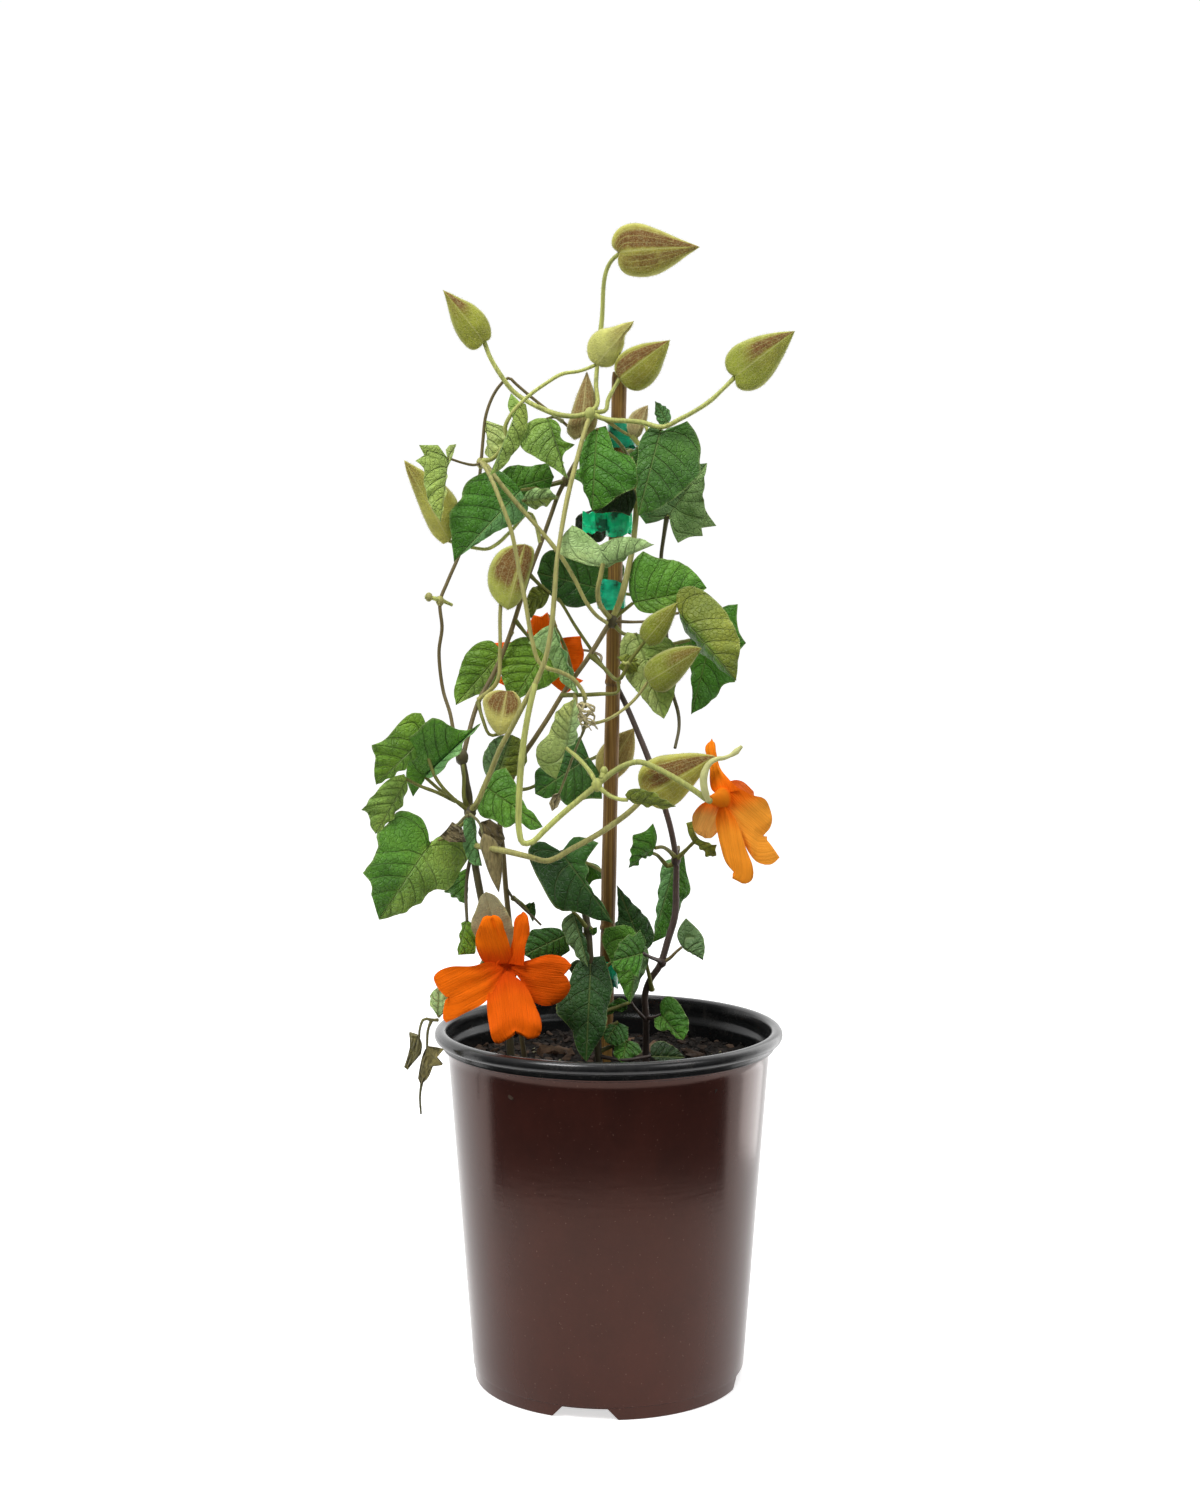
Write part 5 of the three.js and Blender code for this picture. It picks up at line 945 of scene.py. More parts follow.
STAKE_VINE = vine(
    stem(1.7, "brown", (529, 1085, 4), (522, 1040, 2), (514, 985, 0), (510, 930, -2),
        (506, 890, -4), (503, 850, -5), (500, 822, -5), (508, 790, -4), (519, 762, -3),
        (533, 741, -3), (548, 718, -3), (562, 695, -4), (573, 679, -5), (590, 655, -6),
        (606, 629, -5), (612, 620, -4)),
    stem(1.6, "straw", (612, 620, -4), (621, 598, -8), (628, 570, -6), (633, 545, -4),
        (636, 515, -2), (637, 492, 0), (634, 470, 2), (630, 458, 4)),
    stem(0.6, "bark", (506, 888, -4), (513, 898, -5), (521, 906, -6), (533, 917, -7),
        (541, 925, -9)),
    stem(1.3, "straw", (612, 620, -5), (604, 611, -10), (599, 602, -16), (598, 588, -22),
        (601, 574, -24.5), (603, 563, -25.5)),
    stem(0.7, "olive", (636, 500, -1), (635, 492, -4), (631, 489, -6)),
    stem(0.8, "olive", (612, 620, -5), (622, 612, -5), (633, 603, -6)),
    stem(0.9, "brown", (612, 621, -5), (635, 622, -10), (655, 620, -14), (668, 615, -16),
        (679, 613, -16.5)),
    stem(0.8, "olive", (614, 624, -4), (622, 633, -8), (630, 635, -9), (637, 634, -10.5)),
    stem(0.8, "olive", (636, 500, -1), (650, 497, 6), (664, 508, 8), (668, 517, 7)),
    stem(0.9, "bark", (667, 516, 7), (664, 535, 8), (661, 560, 9), (663, 600, 10), (668, 650, 8),
        (672, 690, 2), (678, 712, -4), (679, 728, -12), (675, 748, -20)),
    stem(0.8, "olive", (636, 480, 1), (644, 455, -6), (652, 437, -13), (661, 429, -16.5)),
    stem(0.8, "olive", (631, 462, 4), (620, 444, -7), (608, 433, -10), (596, 429, -10.3)),
    stem(0.8, "olive", (663, 600, 10), (685, 608, 10), (716, 622, 5)),
    stem(0.9, "olive", (590, 655, -6), (604, 668, -8), (618, 680, -12), (630, 661, -16),
        (646, 640, -20)),
    stem(0.9, "olive", (562, 695, -4), (580, 695, -10), (600, 694, -12), (618, 692, -13),
        (618, 680, -12)),
    stem(0.9, "straw", (575, 694, -8), (578, 715, -18), (592, 723, -22), (606, 720, -22),
        (620, 712, -21), (635, 699, -20), (649, 680, -20)),
    stem(0.8, "olive", (508, 790, -4), (530, 788, 2), (560, 770, 5), (588, 758, 4)),
    stem(0.8, "olive", (573, 679, -5), (566, 650, -12), (558, 632, -17), (553, 624, -18.5)),
    stem(0.8, "olive", (663, 600, 10), (640, 596, 16), (613, 592, 17)),
    stem(0.8, "olive", (636, 500, -1), (640, 494, 8), (637, 488, 13), (632, 488, 14)),
    stem(0.8, "olive", (637, 470, 2), (650, 440, -2), (662, 428, 0), (668, 424, 1.5)),
    stem(0.7, "fresh", (630, 662, -16), (625, 664, -15), (622, 662, -15)),
    stem(0.8, "olive", (513, 898, -5), (522, 904, 1), (529, 912, 3.5)),
    knots=[(612, 621, -5, 3)],
    knot_tone="bark",
    front_of_stake=leaf("green", (597, 428, -10), (592, 511, -16), [(590, 433), (582, 446),
        (579, 463), (581, 481), (587, 497)], [(606, 426), (611, 440), (616, 452), (630, 456),
        (638, 470), (637, 485), (618, 496), (602, 508)], rise=(3, -3), arch=-3),
    bright_right=leaf("ivy", (661, 429, -16.5), (638, 516, -24), [(650, 427), (642, 437),
        (638, 452), (637, 476), (637, 500)], [(668, 432), (687, 421), (696, 433), (701, 448),
        (700, 462), (701, 473), (689, 486), (668, 503), (655, 510)], rise=(3, 3), arch=-3),
    gray_behind=leaf("gray mist", (668, 517, 7), (707, 463, 1), [(656, 522), (646, 524), (640, 516),
        (648, 504), (668, 484), (690, 466)], [(671, 522), (673, 533), (678, 543), (690, 537),
        (703, 536), (702, 528), (717, 526), (705, 508), (704, 488)], rise=(3, -6)),
    # A leaf in painted shade, in front of the cane.
    dark_before_stake=leaf("ink shade", (632, 487, -6), (594, 513, -8), [(620, 490), (609, 499),
        (600, 506)], [(636, 497), (633, 509), (630, 516), (617, 512), (605, 513)], rise=(1, 1)),
    dark_behind_stake=leaf("ink", (632, 488, 14), (584, 541, 17), [(612, 491), (595, 508),
        (577, 517), (576, 530)], [(632, 502), (630, 514), (612, 530), (599, 542)], rise=(2, 2)),
    pale_across=leaf("milk mist", (602, 567, -24.5), (654, 545, -38), [(590, 563), (572, 560),
        (560, 554), (562, 537), (572, 525), (582, 530), (600, 545), (616, 538), (638, 538)],
        [(608, 567), (620, 561), (632, 552), (642, 548)], rise=(0, 2)),
    bright_under=leaf("grass spring", (633, 603, -6), (707, 588, -11), [(629, 590), (630, 572),
        (634, 560), (643, 551), (658, 558), (673, 560), (690, 568), (700, 579)], [(640, 611),
        (655, 613), (672, 606), (690, 600)], rise=(4, -2), arch=-3),
    light_right=leaf("olive grass", (679, 613, -16.5), (736, 681, -28), [(676, 601), (679, 590),
        (690, 586), (703, 591), (715, 600), (726, 612), (734, 627), (740, 642), (738, 662)],
        [(683, 625), (694, 641), (709, 658), (724, 671)], rise=(3, 16), arch=-4),
    dark_right=leaf("green", (716, 622, 5), (691, 714, -3), [(701, 624), (692, 640), (690, 665),
        (692, 690)], [(723, 607), (738, 604), (737, 620), (740, 634), (746, 643), (739, 652),
        (738, 668), (735, 682), (724, 685), (716, 697), (704, 707)], rise=(4, -3), arch=3),
    pale_under=leaf("light pale", (637, 634, -10.5), (664, 719, -15), [(627, 632), (621, 642),
        (621, 660), (629, 682), (642, 697), (653, 711)], [(650, 634), (671, 640), (678, 660),
        (676, 685), (671, 705)], rise=(2, 2)),
    folded=leaf("mist mint", (553, 624, -18.5), (579, 695, -21), [(545, 627), (536, 634),
        (528, 643), (541, 651), (553, 664), (562, 682)], [(557, 634), (564, 650), (571, 668),
        (575, 684)], rise=(4, -4)),
    dark_low=leaf("dark ivy", (589, 757, 4), (535, 794, -1), [(580, 736), (564, 748), (545, 763),
        (536, 772)], [(600, 775), (602, 799), (587, 799), (569, 806), (556, 797), (545, 798)],
        rise=(3, 2), arch=-3),
    dark_upper=leaf("ivy dark", (615, 592, 17), (537, 573, 12), [(622, 580), (624, 566),
        (608, 553), (585, 548), (560, 549), (545, 553)], [(606, 598), (590, 604), (575, 608),
        (556, 600), (545, 590)], rise=(0, 2)),
    tiny_top=leaf("mint", (668, 424, 1.5), (655, 401, 0), [(660, 425), (656, 418)], [(671, 418),
        (668, 409)], rise=(1, 1)),
    tiny_curl=leaf("olive", (622, 662, -15), (640, 662, -12), [(617, 657), (626, 654), (635, 657)],
        [(618, 668), (629, 674), (638, 671)], rise=(1, 1)),
    small_dark=leaf("ivy", (528, 912, 4), (534, 902, 1), [(521, 906), (526, 904)], [(533, 922),
        (536, 912)], rise=(1, 1)),
)
RIGHT_VINE = vine(
    stem(1.6, "purple", (646, 1090, 8), (646, 1050, 8), (646, 1018, 4), (645, 995, 0),
        (650, 980, -2), (660, 965, -3), (668, 940, -3), (675, 915, -2), (676, 885, 0),
        (676, 860, 0), (671, 830, -2), (664, 805, -3), (656, 780, -2), (649, 760, 0), (636, 728, 4),
        (626, 705, 8), (617, 687, 12)),
    stem(0.8, "olive", (618, 689, 12), (604, 668, 13), (588, 645, 13), (574, 624, 13),
        (564, 607, 14), (558, 598, 14.5)),
    stem(0.8, "purple", (646, 1018, 4), (652, 1018, 1), (661, 1015, -1)),
    stem(0.8, "purple", (646, 1020, 4), (640, 1014, -3), (634, 1007, -9), (631, 1002, -12.5)),
    stem(0.9, "brown", (663, 962, -3), (670, 958, -4), (676, 952, -5), (682, 947, -5)),
    stem(0.9, "purple", (662, 962, -3), (655, 959, -10), (650, 957, -17), (643, 953, -22)),
    stem(0.9, "olive", (676, 858, 0), (668, 850, -6), (662, 847, -10), (655, 848, -13)),
    stem(0.9, "olive", (676, 860, 0), (682, 854, -3), (688, 848, -8), (693, 843, -10)),
    stem(0.9, "olive", (676, 862, 0), (668, 866, 2), (662, 860, 0), (657, 855, -4), (652, 853, -9)),
    stem(0.8, "brown", (676, 850, 0), (679, 847, 4), (677, 858, 7)),
    stem(0.9, "olive", (652, 990, -2), (649, 975, -6), (644, 955, -8), (640, 938, -9)),
    stem(0.9, "brown", (600, 664, 13), (600, 655, 30), (582, 650, 44), (560, 651, 48),
        (545, 652, 46), (541, 652, 42)),
    knots=[(676, 860, 0, 2.6), (662, 962, -3, 2.4), (646, 1018, 4, 2.2)],
    low_right=leaf("green grass", (661, 1015, -1), (683, 1040, -8), [(660, 1005), (665, 997),
        (672, 997), (684, 1011), (689, 1024), (687, 1034)], [(654, 1019), (655, 1027), (660, 1031),
        (668, 1030), (675, 1037)], rise=(2, -2)),
    outer_right=leaf("gray", (682, 947, -5), (703, 960, -9), [(677, 936), (680, 926), (686, 918),
        (700, 932), (705, 945)], [(686, 951), (694, 955)], rise=(4, 0)),
    inner=leaf("ivy green", (643, 953, -22), (613, 961, -28), [(646, 942), (640, 930), (633, 936),
        (629, 934), (619, 944)], [(642, 966), (638, 978), (628, 971), (619, 971)], rise=(3, -3)),
    gray_outer=leaf("grass gray", (640, 940, -9), (630, 1004, -13), [(630, 926), (605, 928),
        (602, 940), (609, 958), (617, 976), (624, 993)], [(648, 950), (648, 964), (641, 979),
        (636, 992)], rise=(3, 0)),
    toothed=leaf("green", (655, 848, -13), (629, 868, -18), [(657, 836), (653, 823), (645, 831),
        (633, 835), (631, 850)], [(650, 857), (642, 858), (638, 864)], rise=(-2, 2)),
    three_lobed=leaf("olive", (693, 843, -10), (716, 856, -14), [(690, 833), (686, 823), (693, 821),
        (697, 836), (706, 842), (716, 845)], [(702, 850), (708, 856)], rise=(-3, 2)),
    behind_stem=leaf("mint green", (677, 858, 7), (652, 943, 3), [(664, 862), (660, 880),
        (657, 905), (655, 925)], [(684, 854), (686, 870), (690, 891), (681, 904), (676, 922),
        (667, 935)], rise=(3, 3), arch=3),
)
YOUNG_SHOOT = vine(
    stem(1.3, "straw", (472, 809, -22), (478, 801, -26), (484, 787, -29), (491, 771, -31),
        (500, 749, -34), (512, 727, -36), (525, 702, -37), (535, 684, -37), (545, 660, -36),
        (551, 630, -35), (554, 600, -33), (557, 560, -30), (562, 527, -26), (568, 495, -23),
        (575, 467, -20), (583, 437, -16), (590, 415, -12)),
    stem(1.35, "fresh", (535, 684, -37), (528, 715, -40), (522, 755, -42), (519, 800, -44),
        (519, 830, -45), (523, 843, -46), (532, 842, -46), (545, 830, -46), (560, 816, -46),
        (580, 799, -45), (597, 785, -44), (613, 772, -44), (628, 764, -45), (640, 762, -46),
        (656, 768, -47), (680, 781, -48), (698, 793, -49), (706, 799, -48), (710, 801, -46)),
    stem(1, "fresh", (597, 785, -44), (590, 772, -40), (578, 758, -35), (566, 748, -32)),
    stem(0.9, "fresh", (597, 785, -44), (607, 794, -46), (618, 799, -48), (628, 800, -49)),
    stem(1.1, "fresh", (590, 413, -12), (575, 416, -12), (560, 415, -11), (545, 410, -9),
        (525, 400, -6), (512, 390, -5), (500, 374, -5), (490, 357, -5), (484, 341, -5)),
    stem(1.1, "fresh", (590, 413, -12), (605, 419, -13), (640, 422, -17), (663, 427, -21),
        (680, 419, -21), (695, 411, -20), (710, 401, -18), (724, 388, -15), (736, 376, -12)),
    stem(1, "fresh", (590, 413, -12), (599, 412, -11), (606, 410, -9), (608, 400, -8),
        (613, 390, -7), (620, 378, -6)),
    stem(1.05, "fresh", (590, 413, -12), (597, 405, -10), (596, 385, -2), (597, 368, 5),
        (599, 345, 6), (602, 318, 5), (604, 282, 3), (607, 269, 2), (612, 260, 1), (620, 253, 0)),
    stem(0.9, "straw", (592, 416, -12), (587, 426, -9), (581, 435, -5)),
    stem(0.8, "straw", (605, 419, -13), (620, 430, -11), (635, 438, -8.2)),
    stem(0.9, "fresh", (602, 778, -44), (604, 770, -43)),
    stem(0.9, "fresh", (632, 436, -9), (642, 446, -10), (648, 436, -13), (646, 426, -12)),
    knots=[(590, 414, -12, 2.8), (597, 785, -44, 2.8), (604, 771, -43, 1.9)],
    knot_tone="fresh",
    pale_fold=leaf("light milk", (566, 748, -32), (575, 698, -35), [(560, 760), (556, 779),
        (546, 773), (537, 762), (537, 746), (549, 734), (553, 721), (558, 710)], [(575, 744),
        (578, 728), (578, 712)], rise=(-4, 3)),
    olive_fold=leaf("olive", (628, 800, -49), (676, 807, -50), [(625, 795), (629, 790), (640, 789),
        (652, 792), (665, 800)], [(640, 805), (655, 806), (667, 808)], rise=(-2, 2)),
)
LOW_TUFT = vine(
    stem(1.7, "bark", (600, 1090, -16), (598, 1050, -16), (594, 1000, -16), (590, 955, -14),
        (588, 930, -12), (582, 900, -8), (570, 870, -12), (561, 852, -17)),
    stem(0.9, "olive", (588, 930, -12), (580, 919, -14), (573, 912, -17)),
    stem(0.8, "olive", (588, 935, -12), (576, 934, -10), (566, 935, -10)),
    stem(0.8, "olive", (597, 1035, -16), (608, 1027, -15), (618, 1022, -14)),
    stem(0.8, "olive", (598, 1052, -16), (612, 1046, -15), (627, 1040, -14)),
    stem(0.8, "purple", (598, 1056, -16), (622, 1060, -19), (640, 1058, -20), (651, 1056, -20.5)),
    stem(0.8, "olive", (592, 980, -15), (600, 972, -7), (612, 962, -3.5), (626, 952, -2.5),
        (645, 951, -3)),
    stem(0.7, "olive", (588, 932, -12), (592, 928, -14)),
    stem(0.8, "olive", (596, 1014, -16), (608, 1010, -12), (629, 1003, -8)),
    knots=[(588, 930, -12, 2.6)],
    big=leaf("deep dark", (561, 852, -17.5), (613, 923, -27), [(554, 850), (545, 842), (534, 843),
        (528, 851), (533, 869), (541, 884), (553, 904), (561, 911), (573, 911), (592, 918)],
        [(566, 846), (574, 837), (586, 838), (599, 843), (589, 856), (585, 863), (589, 870),
        (586, 880), (593, 891), (603, 904)], rise=(4, -3), arch=-4),
    lowest=leaf("deep", (591, 957, -14), (586, 1062, -30), [(578, 963), (568, 985), (556, 1008),
        (571, 1030), (578, 1050)], [(604, 956), (609, 972), (612, 988), (608, 1010), (603, 1035),
        (594, 1049)], rise=(4, 3), arch=-5),
    dark_left=leaf("dark ivy", (566, 935, -10), (524, 955, -14), [(560, 929), (546, 928),
        (530, 932)], [(570, 950), (556, 960), (538, 962)], rise=(3, 3)),
    upright=leaf("gray deep", (573, 912, -17), (588, 967, -23), [(563, 920), (563, 932), (571, 947),
        (580, 960)], [(581, 925), (586, 942), (589, 956)], rise=(3, 1)),
    behind_stake=leaf("deep", (644, 952, -3), (617, 885, -6), [(630, 950), (619, 938), (618, 915)],
        [(652, 944), (653, 930), (646, 917), (632, 902)], rise=(0, 3)),
    foot=leaf("dark", (618, 1022, -14), (606, 1042, -20), [(610, 1024), (603, 1033)], [(628, 1027),
        (628, 1040), (616, 1046)], rise=(1, 1)),
    foot_right=leaf("green ivy", (627, 1040, -14), (622, 1063, -20), [(616, 1044), (614, 1055)],
        [(638, 1044), (642, 1052), (633, 1058)], rise=(1, 2)),
    on_mix=leaf("shade", (651, 1056, -20.5), (685, 1057, -23), [(651, 1046), (660, 1041),
        (673, 1046)], [(660, 1062), (674, 1062)], rise=(3, -1)),
    small=leaf("green", (592, 928, -14), (593, 936, -15), [(589, 927), (590, 932)], [(597, 927),
        (597, 932)]),
    hook=leaf("green", (628, 1002, -8), (606, 1016, -6), [(620, 998), (608, 1006)], [(627, 1010),
        (616, 1012)], rise=(1, 1)),
)
BACK_VINE = vine(
    stem(1.6, "bark", (606, 1080, 22), (608, 1000, 18), (610, 900, 16), (611, 800, 17),
        (613, 700, 17), (614, 600, 22), (616, 500, 22), (618, 440, 20)),
    stem(0.9, "olive", (617, 460, 21), (628, 452, 28), (640, 445, 34)),
    stem(0.9, "olive", (617, 480, 21), (606, 476, 30), (590, 470, 34)),
    stem(0.9, "olive", (614, 610, 22), (600, 600, 32), (580, 592, 38)),
    stem(0.9, "olive", (613, 660, 19), (640, 652, 27), (690, 640, 30)),
    stem(0.9, "olive", (612, 750, 17), (598, 756, 26), (585, 762, 32)),
    stem(0.9, "olive", (610, 880, 16), (600, 870, 26), (585, 862, 30)),
    stem(0.9, "olive", (609, 940, 17), (618, 930, 26), (630, 925, 32)),
    stem(0.9, "olive", (608, 990, 18), (598, 975, 28), (590, 968, 34)),
    one=arrow_leaf("ivy dark", (640, 445, 34), (668, 492, 44), 24),
    two=arrow_leaf("green ivy", (590, 470, 34), (612, 505, 46), 18),
    three=arrow_leaf("ivy green", (580, 592, 38), (560, 560, 48), 18),
    four=arrow_leaf("grass dark", (690, 640, 30), (716, 672, 44), 22),
    five=arrow_leaf("green dark", (585, 762, 32), (556, 780, 46), 20),
    six=arrow_leaf("dark green", (585, 862, 30), (556, 890, 46), 24),
    seven=arrow_leaf("deep", (630, 925, 32), (636, 960, 44), 18),
    eight=arrow_leaf("shade deep", (590, 968, 34), (590, 1015, 46), 22),
)
BUDS = dict(
    bud_top=leaf((619, 253, 0), (700, 247, -2), [(612, 246), (613, 236), (622, 226), (637, 223),
        (657, 229), (680, 239)], [(618, 263), (624, 273), (638, 277), (656, 275), (673, 266),
        (688, 255)], plump=5),
    bud_upper_left=leaf((484, 342, -5), (443, 290, -8), [(490, 339), (491, 330), (486, 317),
        (474, 305), (460, 298), (452, 294)], [(479, 348), (472, 350), (462, 342), (453, 326),
        (449, 312), (446, 300)], plump=4.5),
    bud_left_of_stake=leaf((597, 365, -3), (634, 321, -6), [(590, 360), (587, 349), (590, 338),
        (599, 330), (612, 327), (624, 323)], [(602, 367), (612, 366), (619, 357), (624, 345),
        (625, 336), (631, 328)], plump=4.5),
    bud_over_stake=leaf((620, 379, -6), (670, 340, -10), [(615, 372), (616, 360), (626, 350),
        (641, 344), (653, 342), (663, 341)], [(626, 387), (637, 391), (649, 386), (659, 374),
        (664, 361), (668, 349)], plump=5),
    bud_beside_stake=leaf((581, 437, -5), (587, 371, -2), [(574, 440), (567, 432), (570, 417),
        (575, 400), (580, 387), (584, 378)], [(587, 441), (594, 432), (598, 415), (596, 398),
        (592, 385), (589, 377)], plump=4),
    bud_right_of_stake=leaf((635, 439, -8), (648, 405, -8), [(629, 434), (627, 424), (631, 414),
        (640, 408)], [(640, 436), (644, 428), (647, 420), (648, 412)], plump=2.5),
    bud_right=leaf((735, 377, -12), (795, 331, -16), [(728, 372), (725, 360), (732, 348),
        (746, 340), (762, 335), (780, 332)], [(737, 387), (746, 391), (759, 388), (771, 377),
        (781, 361), (789, 345)], plump=5),
    bud_outer_left=leaf((450, 541, -8), (404, 460, -14), [(443, 544), (433, 535), (424, 518),
        (416, 498), (410, 482), (406, 470)], [(453, 535), (457, 520), (458, 503), (448, 488),
        (430, 475), (415, 466)], plump=4.5),
    bud_hairy=leaf((508, 610, -9), (525, 544, -9), [(497, 602), (489, 589), (488, 573), (493, 559),
        (501, 550), (513, 545)], [(517, 605), (525, 591), (530, 574), (534, 558), (533, 548)],
        plump=5),
    bud_right_upper=leaf((645, 641, -20), (678, 602, -24), [(640, 636), (641, 626), (648, 617),
        (658, 611), (666, 607), (673, 604)], [(650, 646), (660, 643), (668, 632), (673, 620),
        (676, 612), (677, 606)], plump=4.5),
    bud_right_lower=leaf((648, 681, -20), (702, 648, -25), [(644, 675), (646, 664), (656, 655),
        (672, 648), (684, 646), (694, 646)], [(653, 689), (664, 692), (676, 684), (687, 671),
        (694, 661), (699, 653)], plump=5),
    bud_brown=leaf((499, 736, -13), (507, 691, -12), [(494, 731), (488, 722), (484, 710),
        (483, 699), (488, 693), (498, 690)], [(506, 733), (514, 725), (519, 713), (521, 701),
        (518, 695), (513, 691)], plump=4.5),
    bud_long=leaf((646, 796, -37), (715, 756, -39), [(641, 790), (638, 776), (643, 765), (656, 757),
        (674, 754), (697, 753)], [(653, 806), (665, 809), (678, 803), (690, 790), (700, 777),
        (708, 765)], plump=5),
    bud_behind_stake=leaf((602, 778, 14), (634, 728, 14), [(597, 772), (596, 758), (602, 746),
        (616, 735)], [(611, 781), (622, 775), (632, 762), (635, 745)], plump=3.5),
)
FLOWERS = dict(
    flower_front=dict(throat=(508, 968, -42), root=(500, 958, -24), radius=7.5, lobes=[
        lobe((492, 918, -50), [(484, 962), (479, 955), (476, 944), (484, 920)],
            [(512, 956), (511, 950), (505, 932), (500, 919)], rise=(-2, 0)),
        lobe((521, 912, -44), [(509, 959), (512, 942), (515, 917)], [(524, 966),
            (525, 950), (527, 918)], rise=(2, -3)),
        lobe((563, 976, -46), [(522, 962), (533, 959), (550, 955), (563, 959),
            (571, 966)], [(526, 988), (534, 1002), (548, 1006), (561, 1002), (570, 988)],
            rise=(-1, 3)),
        lobe((515, 1030, -53), [(492, 982), (487, 1000), (489, 1022), (492, 1037),
            (497, 1044), (504, 1042)], [(524, 984), (534, 1002), (541, 1020), (541, 1032),
            (535, 1039), (527, 1036)], rise=(-2, 1)),
        lobe((450, 998, -55), [(493, 962), (472, 966), (447, 968), (435, 978),
            (437, 987)], [(496, 986), (486, 1001), (462, 1015), (446, 1023), (443, 1019)],
            rise=(-2, 0)),
    ]),
    flower_right=dict(throat=(724, 798, -38), root=(710, 800, -44), radius=6.5, lobes=[
        lobe((710, 738, -28), [(712, 790), (709, 772), (706, 755), (705, 744)], [(740, 790),
            (728, 778), (719, 766), (716, 752), (714, 742)], rise=(3, -2)),
        lobe((764, 836, -40), [(732, 784), (752, 795), (765, 799), (772, 814),
            (771, 827)], [(732, 820), (742, 838), (757, 861), (772, 864), (781, 857), (773, 845)],
            rise=(2, -4)),
        lobe((734, 874, -50), [(716, 818), (720, 846), (724, 862)], [(736, 820),
            (746, 850), (751, 867), (750, 881), (741, 884)], rise=(2, -3)),
        lobe((704, 839, -34), [(705, 802), (695, 811), (691, 822), (696, 834)],
            [(722, 810), (719, 827), (711, 838)], rise=(3, -2)),
        lobe((752, 815, -14), [(724, 786), (735, 780), (752, 790), (760, 803)],
            [(724, 808), (730, 822), (742, 830), (753, 826)], rise=(3, 3)),
    ]),
    flower_middle=dict(throat=(540, 654, 22), root=(541, 652, 40), radius=7, lobes=[
        lobe((489, 660, 18), [(530, 643), (510, 642), (483, 644)], [(530, 664),
            (510, 674), (488, 674)]),
        lobe((542, 618, 20), [(531, 646), (527, 632), (533, 616)], [(549, 646),
            (552, 632), (548, 613)]),
        lobe((583, 655, 18), [(548, 643), (562, 638), (580, 636)], [(550, 663),
            (564, 672), (580, 672)]),
        lobe((574, 686, 18), [(553, 658), (566, 672), (583, 680)], [(540, 668),
            (552, 684), (566, 692)]),
        lobe((508, 686, 18), [(527, 658), (510, 670), (496, 680)], [(541, 669),
            (530, 680), (513, 690)]),
    ]),
)
BRACTS = dict(
    bracts_front=dict(pair=[
        leaf((499, 958, -25), (486, 892, -33), [(486, 955), (477, 940), (471, 925), (477, 907),
            (481, 896)], [(510, 950), (514, 938), (511, 920), (503, 905), (494, 895)],
            rise=(-2, -2), arch=-2),
        leaf((499, 958, -25), (520, 928, -24), [(498, 946), (502, 935), (510, 927)], [(508, 962),
            (521, 956), (526, 942)], rise=(-2, -2)),
    ]),
    bracts_right=dict(pair=[], rolled=[(708, 801, -48.6), (704, 787, -50.6), (704, 775, -51),
        (709, 764, -50), (717, 759, -49), (724, 758, -48), (733, 754, -47), (739, 749, -46),
        (742, 746, -46)]),
    bracts_middle=dict(pair=[
        leaf((541, 653, 41), (548, 614, 36), [(533, 652), (528, 636), (534, 620)], [(550, 652),
            (557, 634), (555, 620)], rise=(-3, -3)),
        leaf((541, 651, 41), (532, 692, 36), [(550, 653), (556, 670), (546, 686)], [(532, 653),
            (524, 668), (525, 684)], rise=(-3, -3)),
    ]),
)
WITHERED = dict(
    withered_pods=vine(
        stem(0.7, "dry", (469, 814, -25.5), (464, 818, -28), (458, 824, -29), (448, 830, -29)),
        stem(0.7, "dry", (468, 814, -25.5), (474, 817, -28), (480, 824, -31), (483, 836, -31)),
        knots=[(468, 814, -25.5, 1.4)],
        bit=leaf((447, 829, -29), (466, 842, -29), [(452, 822), (462, 828)], [(440, 836),
            (450, 842)]),
        husk=leaf((481, 822, -30), (499, 848, -30), [(478, 833), (486, 845)], [(490, 819),
            (501, 827), (505, 839)]),
        pod=leaf((483, 833, -31), (499, 893, -30), [(480, 843), (484, 859), (490, 876)],
            [(493, 838), (502, 852), (502, 873)]),
    ),
    withered_flower=vine(
        stem(0.7, "dry", (584, 696, -28), (585, 702, -28.5), (586, 708, -28.5)),
        stem(0.7, "dry", (586, 722, -28.5), (583, 732, -27), (577, 746, -25), (567, 773, -22),
            (558, 797, -20)),
        head=leaf((585, 703, -28.5), (589, 731, -28.5), [(577, 708), (576, 716), (579, 726)],
            [(594, 707), (598, 716), (596, 727)]),
        tail=leaf((559, 793, -20), (552, 811, -20), [(553, 795), (549, 803)], [(561, 799),
            (558, 807)]),
    ),
    withered_over_lip=vine(
        stem(0.7, "dry", (438, 1020, -38), (432, 1020, -39.5), (424, 1019, -40), (420, 1028, -40),
            (419, 1039, -39)),
        stem(0.7, "dry", (432, 1019, -39), (428, 1030, -40), (427, 1050, -39)),
        stem(0.6, "dry", (422, 1081, -38), (420, 1096, -37.5), (421, 1114, -36)),
        outer=leaf((419, 1036, -39), (408, 1069, -38), [(409, 1033), (410, 1045), (407, 1058),
            (404, 1067)], [(422, 1044), (421, 1054), (414, 1062)]),
        inner=leaf((427, 1046, -39), (421, 1084, -38), [(423, 1054), (420, 1066), (418, 1078)],
            [(436, 1047), (444, 1049), (437, 1057), (443, 1064), (433, 1066), (428, 1078)]),
    ),
)

